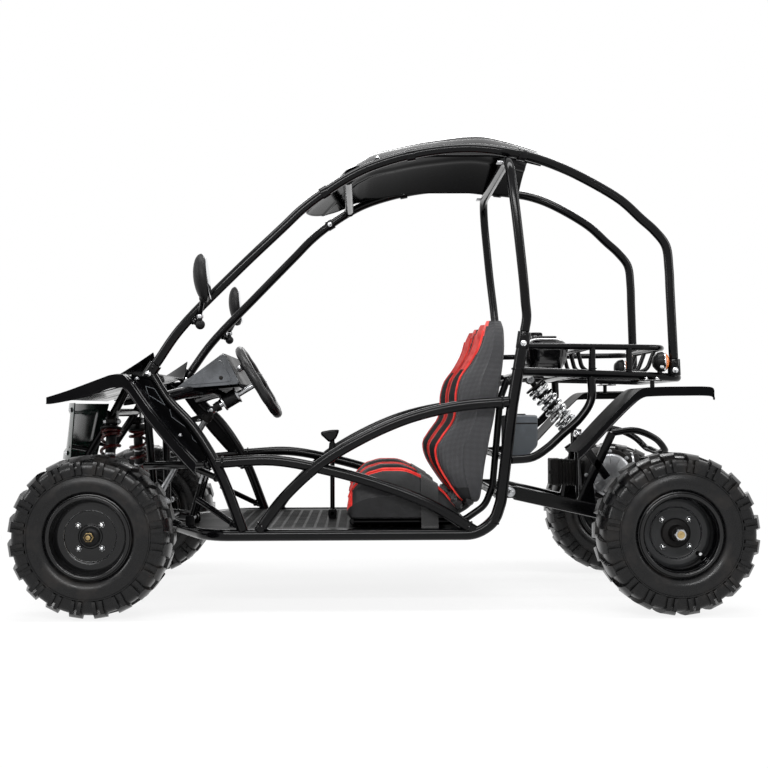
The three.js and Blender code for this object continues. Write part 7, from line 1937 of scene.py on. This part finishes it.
def engine():
    """Horizontal single: ribbed case with its covers and bolts, finned barrel, head and drive sprocket."""
    shape = Shape()
    shape.disc(CRANK - ACROSS * 0.075, ACROSS, 0.0735, 0.15, "heat_paint", 56, 0.006)
    for side, name in ((-1, "alloy"), (1, "soft_plastic")):
        out = ACROSS * side
        shape.lathe([(0, 0.07), (0.0605, 0.07), (0.0605, 0.082), (0.054, 0.0885), (0.03, 0.0905),
                     (0, 0.0905)], CRANK, out, name, 48, 0.003)
        rib = Shape().block(CRANK + out * 0.0885 + UP * 0.04, (0.004, 0.005, 0.024), name, None, 0.001, 0.001)
        copied(shape, rib, 12, (0, math.pi / 6, 0), pivot=CRANK)
        bolt = Shape().bolt(CRANK + out * 0.0745 + UP * 0.0665, out, 0.0046, "zinc", False)
        copied(shape, bolt, 8, (0, math.pi / 4, 0), pivot=CRANK)
    end = Vector((CRANK.x - 0.074 - 0.072, 0, CRANK.z + 0.0074))
    root = CRANK.lerp(end, 0.4)
    run = (end - root).normalized()
    shape.block(root.lerp(end, 0.35), (0.1, 0.07, 0.06), "heat_paint", None, 0.003, 0.006)
    fin = Shape().block(root.lerp(end, 0.12), (0.0022, 0.095, 0.0735), "heat_paint", None, 0.0006, 0.01)
    copied(shape, fin, 9, move=tuple(run * 0.0085))
    shape.block(end, (0.03, 0.076, 0.074), "heat_paint", None, 0.003, 0.008)
    head_fin = Shape().block(end - ALONG * 0.012, (0.0022, 0.0775, 0.0745), "heat_paint", None, 0.0006, 0.008)
    copied(shape, head_fin, 4, move=(0.008, 0, 0))
    shape.tube([end - ACROSS * 0.02 - ALONG * 0.012, end - ACROSS * 0.045 - ALONG * 0.016], 0.006,
               "heat_paint", 14)
    shape.tube([Vector((DRIVE.x, 0, DRIVE.z)), Vector((DRIVE.x, DRIVE.y + 0.006, DRIVE.z))], 0.0105, "zinc",
               24)
    shape.disc(DRIVE - ACROSS * 0.003, ACROSS, 0.0205, 0.006, "chain_steel", 36)
    tooth = Shape().slab([(DRIVE.x - 0.004, DRIVE.z + 0.019), (DRIVE.x + 0.004, DRIVE.z + 0.019),
                          (DRIVE.x, DRIVE.z + 0.0238)],
                         0.1058, 0.1102, "chain_steel", 0.0005)
    copied(shape, tooth, 12, (0, math.pi / 6, 0), pivot=DRIVE)
    x = 0.4 * WHEELBASE
    level = PIVOT.z + (AXLE_HEIGHT - PIVOT.z) * ((x - PIVOT.x) / (REAR_AXLE - PIVOT.x))
    shape.block(Vector((x, 0, level)), (0.016, 0.2994, 0.022), "gloss_tube")
    shape.block(Vector((x, 0, (level + CRANK.z) / 2)), (0.016, 0.06, CRANK.z - level), "gloss_tube")
    return shape.piece("engine_detail", "engine", "alloy")


def exhaust():
    """Exhaust pipe and silencer with its bands and end cap."""
    head = Vector((CRANK.x - 0.074 - 0.0432, 0.0483, CRANK.z))
    end = Vector((0.44 * WHEELBASE, 0.55 * HALF_TRACK, 0.29 * CAGE_HEIGHT))
    shape = Shape()
    points = [head, head + ACROSS * 0.026, Vector((head.x + 0.013, 0.47 * HALF_TRACK, head.z + 0.013)),
              end - ALONG * 0.0375, end]
    shape.tube(flowing(points), 0.0125, "heat_paint", 20)
    shape.lathe([(0, 0), (0.02, 0), (0.033, 0.012), (0.034, 0.03), (0.034, 0.12), (0.033, 0.138),
                 (0.02, 0.15), (0, 0.15)], end, ALONG, "heat_paint", 40, 0.004)
    for step in (0.026, 0.118):
        shape.ring(end + ALONG * step, ALONG, 0.0348, 0.033, 0.006, "zinc", 40)
    shape.tube([end + ALONG * 0.148, end + ALONG * 0.1725], 0.0125, "heat_paint", 20)
    near = end + ALONG * 0.03
    shape.bar(near, Vector((near.x, SWING_SPREAD + 0.008 + GAP, near.z)), 0.009, 0.009)
    shape.disc(head, ACROSS, 0.019, 0.005, "zinc", 24)
    return shape.piece("exhaust_detail", "exhaust", "pipe")


def drive_chain():
    """A roller chain around both sprockets."""
    axle = Vector((REAR_AXLE, CHAIN_SIDE, AXLE_HEIGHT))
    small, big = 0.0275, 0.0845
    gap = axle - DRIVE
    gap.y = 0
    lean, heading = math.acos((small - big) / gap.length), math.atan2(gap.z, gap.x)
    points = []
    for centre, radius, low, high in ((DRIVE, small, heading + lean, heading + PI2 - lean),
                                      (axle, big, heading - lean, heading + lean)):
        for k in range(25):
            angle = low + (high - low) * k / 24
            points.append(Vector((centre.x + radius * math.cos(angle), CHAIN_SIDE,
                                  centre.z + radius * math.sin(angle))))
    points.append(points[0])
    link = Shape()
    for end in (-1, 1):
        y = end * 0.0036
        link.block(Vector((0, y, 0)), (0.0085, 0.0013, 0.0138), "chain_steel", None, 0.0003, 0.003)
    link.tube([Vector((0, -0.0045, 0)), Vector((0, 0.0045, 0))], 0.0038, "chain_steel", 8)
    shape = Shape()
    total = sum((b - a).length for a, b in zip(points, points[1:]))
    chain_links(shape, link, points, round(total / 0.0127))
    return shape.piece("drive_chain_links", "drive_chain", "steel")


def chain_links(shape, link, points, count):
    """Copies a link at even steps along a level line, turned about the axle's direction only."""
    lengths = [0.0]
    for a, b in zip(points, points[1:]):
        lengths.append(lengths[-1] + (b - a).length)
    for k in range(count):
        want = lengths[-1] * k / count
        i = max(j for j in range(len(points) - 1) if lengths[j] <= want)
        run = (points[i + 1] - points[i]).normalized()
        at = points[i].lerp(points[i + 1], (want - lengths[i]) / (lengths[i + 1] - lengths[i]))
        place = Matrix.Translation(at) @ facing(ACROSS.cross(run), ACROSS, run)
        first = len(shape.corners)
        shape.corners.extend(place @ corner for corner in link.corners)
        shape.faces.extend([first + corner for corner in face] for face in link.faces)
        shape.slots.extend(shape.slot("chain_steel") for _ in link.faces)


def rear_shock():
    """Chrome shock with its spring."""
    shapes = (Shape(), Shape(), Shape())
    shock_absorber(shapes, *REAR_EYES, ACROSS, REAR_SHOCK)
    shapes[0].piece("rear_shock_body_detail", "rear_shock_body", "chrome")
    shapes[1].piece("rear_shock_rod_detail", "rear_shock_rod", "steel")
    spring = shapes[2].piece("rear_spring_coil", "rear_spring", "chrome")
    anchor, keep = spring_seat(*REAR_EYES, REAR_SHOCK)
    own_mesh(spring)
    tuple(anchor)


# Tank, boxes, line, mirrors

def fuel_tank():
    """Bowl-shaped tank with a rolled rim, its neck and its knurled cap."""
    floor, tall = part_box("fuel_tank")[0].z, 0.098
    centre = Vector((0.316 * WHEELBASE, 0, floor))
    cap = Vector((0.302 * WHEELBASE, 0, floor + tall))
    rises = [(0, 0.5), (0.02, 0.6), (0.1, 0.75), (0.25, 0.88), (0.45, 0.97), (0.6, 1), (0.62, 1.012),
             (0.66, 1.012), (0.68, 0.985), (0.85, 0.9), (0.95, 0.72), (0.99, 0.5), (1, 0.3)]
    rings = []
    for rise, wide in rises:
        ring = []
        for k in range(64):
            angle = PI2 * k / 64
            c, s = math.cos(angle), math.sin(angle)
            flat = (abs(c) ** 4 + abs(s) ** 4) ** -0.25
            ring.append(centre + Vector((c * flat * wide * 0.0622, s * flat * wide * 0.1235, rise * tall)))
        rings.append(ring)
    shape = Shape().rings(rings, "tank_plastic")
    shape.disc(cap - UP * 0.012, UP, 0.021, 0.02, "tank_plastic", 40, 0.0015)
    for _, side in SIDES:
        shape.block(centre + Vector((0, side * 0.1, tall * 0.99)), (0.05, 0.012, 0.006), "tank_plastic",
                    None, 0.002, 0.003)
    shape.piece("fuel_tank_body", "fuel_tank", "plastic")
    spot_at = Vector((cap.x, 0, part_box("fuel_cap")[0].z))
    lid = Shape().lathe([(0, 0), (0.018, 0), (0.0185, 0.009), (0.0165, 0.0118), (0.007, 0.012), (0, 0.0122)],
                        spot_at, UP, "soft_plastic", 48, 0.0008)
    rib = Shape().block(spot_at + ALONG * 0.0183 + UP * 0.005, (0.0018, 0.0016, 0.0088), "soft_plastic",
                        None, 0.0003, 0.0)
    copied(lid, rib, 30, (0, 0, math.pi / 15), pivot=spot_at)
    lid.piece("fuel_cap_knurled", "fuel_cap", "plastic")


def battery_box():
    """Battery box with its cut corner, lid and lead."""
    low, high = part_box("battery_box")
    length, tall = high.x - low.x, high.z - low.z
    outline = [(low.x, low.z), (low.x + length * 0.6, low.z), (high.x, low.z + 0.3 * tall), (high.x, high.z),
               (low.x, high.z)]
    shape = Shape().slab(outline, low.y + 0.001, high.y - 0.001, "box_plastic", 0.004, 0.008)
    lid = high.z - 0.022
    shape.block(Vector(((low.x + high.x) / 2, (low.y + high.y) / 2, lid)), (length, high.y - low.y, 0.005),
                "soft_plastic", None, 0.0015, 0.006)
    shape.tube([Vector((x, (low.y + high.y) / 2, high.z - 0.001)) for x in (low.x + 0.02, low.x + 0.06)],
               0.0045, "hose_black", 12)
    return shape.piece("battery_box_shell", "battery_box", "plastic")


def brake_line():
    """The red brake line under the floor, with its brass adjuster."""
    shares = [(-0.4, -0.1, 0.15), (-0.36, -0.25, 0.149), (-0.3, -0.4, 0.15032), (-0.1, -0.43, 0.15032),
              (0.1, -0.43, 0.15032),
              (0.15, -0.4, 0.15), (0.185, -0.32, 0.165), (0.205, -0.28, 0.185), (0.216, -0.27, 0.203)]
    points = flowing(route(shares))
    shape = Shape().tube(points, 0.0034, "cable_red", 12)
    last, before = points[-1], points[-6]
    run = (last - before).normalized()
    shape.disc(last - run * 0.03, run, 0.0048, 0.024, "brass", 6)
    shape.disc(last - run * 0.018, run, 0.0062, 0.005, "brass", 6)
    start = points[0]
    shape.disc(start, (points[1] - start), 0.0048, 0.02, "brass", 6)
    return shape.piece("brake_line_red", "brake_cable", "hose")


def side_mirror(name, side):
    """A rounded mirror on its bent stem and ball foot, with its glass facing backwards."""
    foot = mirror_foot(side)
    head = Vector((-0.311 * WHEELBASE, side * HALF_TRACK, 0.7075 * CAGE_HEIGHT))
    tall, wide, deep = 0.122, 0.092, 0.04
    shape = Shape()
    rings, glass = [], []
    for k in range(25):
        share = (1 - math.cos(math.pi * k / 24)) / 2
        size = math.sqrt(max(1 - (2 * share - 1) ** 2 * 0.985, 0.001))
        z, lean = head.z + (share - 0.5) * tall, (share - 0.5) * deep * 0.3
        ring, plate = [], []
        for i in range(40):
            angle = PI2 * i / 40
            depth = 0.3 if math.cos(angle) > 0 else 0.65
            flat = min(math.cos(angle) * 0.65,
                       depth) * deep if math.cos(angle) > 0 else math.cos(angle) * deep * depth
            ring.append(Vector((head.x - lean + flat * size, head.y + math.sin(angle) * wide / 2 * size, z)))
            plate.append(Vector((head.x - lean + deep * 0.3 + math.cos(angle) * 0.0008,
                                 head.y + math.sin(angle) * wide * 0.43 * size,
                                 head.z + (z - head.z) * 0.88)))
        rings.append(ring)
        glass.append(plate)
    shape.rings(rings, "soft_plastic")
    shape.rings(glass, "mirror_glass")
    shape.ball(foot, 0.0128, "soft_plastic", 24)
    elbow = Vector((foot.x, foot.y + side * 0.003, foot.z + 0.026))
    shape.tube(flowing([foot + UP * 0.008, elbow, head - UP * tall * 0.3]), 0.006, "gloss_tube", 18)
    shape.disc(elbow - UP * 0.01, UP, 0.0085, 0.009, "zinc", 6)
    shape.ball(head - UP * tall * 0.42, 0.012, "soft_plastic", 20)
    return shape.piece(f"mirror_detail_{name}", f"mirror_{name}", "plastic")


def small_fittings():
    """Red side reflectors and the wiring under the dash."""
    shape = Shape()
    for _, side in SIDES:
        at = spot((-0.452, 0.4, 0.286), side)
        shape.block(at, (0.03, 0.008, 0.014), "soft_plastic", None, 0.001, 0.002)
        shape.block(at + ACROSS * side * 0.0042, (0.026, 0.003, 0.011), "lens_red", None, 0.0008, 0.002)
    start = spot((-0.3, -0.1, 0.47))
    for k in range(4):
        y = -0.02 - 0.012 * k
        shares = [(-0.33, -0.2 - 0.02 * k, 0.43 - 0.006 * k), (-0.4, -0.1 - 0.02 * k, 0.4),
                  (-0.43, 0.02, 0.4 - 0.01 * k)]
        shape.tube(flowing([start + ACROSS * y, *route(shares)], 5), 0.0026, "hose_black", 8)
    return shape.piece("wiring_and_reflectors", "front_frame", "plastic", stands=False)


# Stage

def stage():
    """Pale floor, soft lamps, even world light and the camera of the photograph."""
    sizes = bpy.context.scene.kart_stage
    scene = bpy.context.scene
    world = bpy.data.worlds.new("studio")
    world.use_nodes = True
    scene.world = world
    tree = world.node_tree
    back = tree.nodes["Background"]
    rays = tree.nodes.new("ShaderNodeLightPath")
    seen = tree.nodes.new("ShaderNodeMath")
    seen.operation = "MAXIMUM"
    tree.links.new(rays.outputs["Is Camera Ray"], seen.inputs[0])
    also = tree.nodes.new("ShaderNodeMath")
    also.operation = "MAXIMUM"
    tree.links.new(rays.outputs["Is Glossy Ray"], also.inputs[0])
    tree.links.new(rays.outputs["Is Transmission Ray"], also.inputs[1])
    tree.links.new(also.outputs[0], seen.inputs[1])
    level = tree.nodes.new("ShaderNodeMapRange")
    level.inputs["To Min"].default_value = sizes.world_light
    level.inputs["To Max"].default_value = 1.0
    tree.links.new(seen.outputs[0], level.inputs["Value"])
    tree.links.new(level.outputs[0], back.inputs["Strength"])
    back.inputs["Color"].default_value = (1, 1, 1, 1)
    floor = Shape().put([Vector((x, y, z)) for z in (-0.012, -0.0005) for x,
                         y in ((-9, -9), (9, -9), (9, 9), (-9, 9))],
                        [[0, 3, 2, 1], [4, 5, 6, 7], [0, 1, 5, 4], [1, 2, 6, 5], [2, 3, 7, 6], [3, 0, 4, 7]],
                        "soft_plastic").mesh("studio_floor")
    floor.materials.clear()
    floor.materials.append(floor_paint())
    thing = bpy.data.objects.new("studio_floor", floor)
    scene.collection.objects.link(thing)
    for name, at, size, power in (("overhead", (0.0, -0.5, 3.2), (3.4, 0.8), 110),
                                  ("camera_side", (-0.4, -3.4, 2.3), (3.4, 0.35), 100),
                                  ("nose_side", (-3.4, -1.0, 1.9), (0.6, 1.8), 34),
                                  ("tail_side", (3.4, -0.6, 1.9), (0.6, 1.8), 34),
                                  ("far_side", (0.4, 3.6, 2.4), (3.0, 0.6), 34)):
        lamp = bpy.data.lights.new(name, "AREA")
        lamp.shape, lamp.size, lamp.size_y, lamp.energy = "RECTANGLE", size[0], size[1], power * sizes.lamps
        holder = bpy.data.objects.new(name, lamp)
        holder.location = at
        aim = Vector((0, 0, 0.5)) - holder.location
        holder.rotation_euler = aim.to_track_quat("-Z", "Y").to_euler()
        scene.collection.objects.link(holder)
    scene.view_settings.view_transform = "Standard"
    yaw, pitch, roll = (math.radians(angle) for angle in (0.965, 1.083, -0.193))
    ahead = Vector((math.sin(yaw) * math.cos(pitch), math.cos(yaw) * math.cos(pitch), math.sin(pitch)))
    right = Vector((math.cos(yaw), -math.sin(yaw), 0))
    top = right.cross(ahead)
    turned_right = right * math.cos(roll) + top * math.sin(roll)
    turned_top = top * math.cos(roll) - right * math.sin(roll)
    camera = bpy.data.objects.new("camera", bpy.data.cameras.new("camera"))
    camera.data.lens = sizes.lens
    camera.data.sensor_width = 36
    camera.matrix_world = Matrix.Translation((-0.0593, -3.8925, 0.5156)) @ facing(
        turned_right, turned_top, -ahead)
    scene.collection.objects.link(camera)
    scene.camera = camera


def floor_paint():
    """White floor that shows white to the camera and keeps a soft shadow."""
    recipe = Recipe("studio_floor_paint")
    recipe.shader.inputs["Roughness"].default_value = 0.9
    slow = recipe.noise(3)
    recipe.feed("Base Color", recipe.mix(recipe.fit(slow, 0.3, 0.7), tint("f4f4f4"), tint("fafafa")))
    rays = recipe.make("ShaderNodeLightPath", out="Is Camera Ray")
    seen = rays
    for name in ("Is Glossy Ray", "Is Transmission Ray"):
        seen = seen.maths("MAXIMUM", seen, Wire(recipe, rays.socket.node.outputs[name]))
    glow = recipe.make("ShaderNodeEmission", None, {"Color": (1, 1, 1, 1), "Strength": 1.0}, "Emission")
    x, y, _ = recipe.split()
    far = recipe.fit(x * x + y * y, 0.8, 5.0, 0.86, 1.0)
    both = recipe.make("ShaderNodeMixShader", None,
                       {0: seen * far, 1: Wire(recipe, recipe.shader.outputs[0]), 2: glow}, 0)
    out = next(node for node in recipe.tree.nodes if node.type == "OUTPUT_MATERIAL")
    recipe.tree.links.new(both.socket, out.inputs["Surface"])
    return recipe.material


# Sizes and colours that a user may change

def user_colour(label, note, code):
    """A colour that a user may change."""
    return bpy.props.FloatVectorProperty(name=label, description=note, default=tint(code)[:3], min=0, max=1,
                                         subtype="COLOR")


def user_count(label, note, start, least, most):
    """A number of parts or faces that a user may change."""
    return bpy.props.IntProperty(name=label, description=note, default=start, min=least, max=most)


def user_length(label, note, start, least, most):
    """A length that a user may change."""
    return bpy.props.FloatProperty(name=label, description=note, default=start, min=least, max=most,
                                   unit="LENGTH")


def user_level(label, note, start, least=0):
    """A plain amount that a user may change."""
    return bpy.props.FloatProperty(name=label, description=note, default=start, min=least)


class KartCage(bpy.types.PropertyGroup):
    """Cage tubes."""
    paint: user_colour("Paint", "Colour of the tube paint", "050506")
    sides: user_count("Tube sides", "Faces around each cage tube", 20, 12, 48)


class KartWheels(bpy.types.PropertyGroup):
    """Tyres."""
    lugs: user_count("Lugs", "Lugs in each row of a tyre", 20, 12, 30)
    lug_width: user_length("Lug width", "Width of a lug around the tyre", 0.024, 0.01, 0.04)
    rubber: user_colour("Rubber", "Colour of the tyre rubber", "080809")


class KartSeats(bpy.types.PropertyGroup):
    """Seats."""
    puff: user_length("Seam depth", "Depth of the sewn channels", 0.006, 0, 0.02)
    red: user_colour("Red leather", "Colour of the red panels", "b01512")


class KartStage(bpy.types.PropertyGroup):
    """Studio."""
    world_light: user_level("Room light", "Level of the even light from all sides", 0.32)
    lamps: user_level("Lamps", "Level of the soft lamps", 1.0)
    lens: user_level("Lens", "Focal length of the camera in millimetres", 63.75, 10)


def operator(idname, label, note, *makers):
    """An operator that makes one piece, or a group of like pieces."""
    def execute(self, context):
        for maker in makers:
            maker()
        return {"FINISHED"}
    return type("KART_OT_" + idname, (bpy.types.Operator,), {
        "__doc__": note, "bl_idname": f"kart.{idname}", "bl_label": label, "bl_options": {"REGISTER", "UNDO"},
        "execute": execute})


def both(maker):
    """Makes a piece on each side."""
    return lambda: [maker(name, side) for name, side in SIDES]


def all_wheels(maker):
    """Makes a piece at each wheel."""
    ends = (("front", FRONT_AXLE), ("rear", REAR_AXLE))
    return lambda: [maker(name, end, x, side) for name, side in SIDES for end, x in ends]


OPERATORS = (
    operator("floor", "Floor frame", "Makes the floor frame with its pan and pivots", floor_frame),
    operator("cage", "Cage", "Makes the side frames, roof frame and hoop", both(side_frame), roof_frame,
             main_hoop),
    operator("ends", "Front and rear frame", "Makes the tubes under the cowl and the luggage rack",
             front_frame, rear_frame, small_fittings),
    operator("visor", "Roof visor", "Makes the moulded sun visor", roof_visor),
    operator("panels", "Cowl and nose", "Makes the cowl, the nose and the dash", front_cowl, nose_cover,
             dash_housing, dash_controls),
    operator("fenders", "Fenders", "Makes the four fenders", both(front_fender), both(rear_fender)),
    operator("seats", "Seats", "Makes both seats and their straps", both(seat_parts), seat_belts),
    operator("tyres", "Tyres", "Makes the four knobbly tyres", all_wheels(tyre)),
    operator("rims", "Rims and axle", "Makes the four rims and the rear axle", all_wheels(rim), rear_axle),
    operator("steering", "Steering", "Makes the steering wheel, shafts, rack and tie rods", steering_wheel,
             lower_shaft, steering_gear),
    operator("controls", "Pedals and lever", "Makes the pedals and the gear lever", pedals, shift_lever),
    operator("suspension", "Front suspension", "Makes the arms, knuckles and shocks", both(front_suspension)),
    operator("drive", "Rear drive", "Makes the swing arm, engine, exhaust, chain and rear shock", swing_arm,
             engine, exhaust, drive_chain, rear_shock),
    operator("boxes", "Tank and boxes", "Makes the tank, the battery box and the brake line", fuel_tank,
             battery_box, brake_line),
    operator("mirrors", "Mirrors", "Makes both mirrors", both(side_mirror)),
    operator("stage", "Studio", "Makes the floor, the lamps and the camera", stage),
)
GROUPS = (("kart_cage", KartCage), ("kart_wheels", KartWheels), ("kart_seats", KartSeats),
          ("kart_stage", KartStage))


class KART_PT_panel(bpy.types.Panel):
    """Lists the kart's sizes and pieces."""
    bl_idname, bl_label = "KART_PT_panel", "Off road go kart"
    bl_space_type, bl_region_type, bl_category = "VIEW_3D", "UI", "Kart"

    def draw(self, context):
        for name, group in GROUPS:
            for key in group.__annotations__:
                self.layout.prop(getattr(context.scene, name), key)
        for made in OPERATORS:
            self.layout.operator(made.bl_idname)


def register():
    for name, group in GROUPS:
        bpy.utils.register_class(group)
        setattr(bpy.types.Scene, name, bpy.props.PointerProperty(type=group))
    for made in (*OPERATORS, KART_PT_panel):
        bpy.utils.register_class(made)


def unregister():
    for made in (KART_PT_panel, *reversed(OPERATORS)):
        bpy.utils.unregister_class(made)
    for name, group in reversed(GROUPS):
        delattr(bpy.types.Scene, name)
        bpy.utils.unregister_class(group)


def main():
    """Registers, makes every piece and notes the sizes."""
    register()
    for made in OPERATORS:
        getattr(bpy.ops.kart, made.bl_idname.split(".")[1])()


if __name__ == "__main__":
    main()
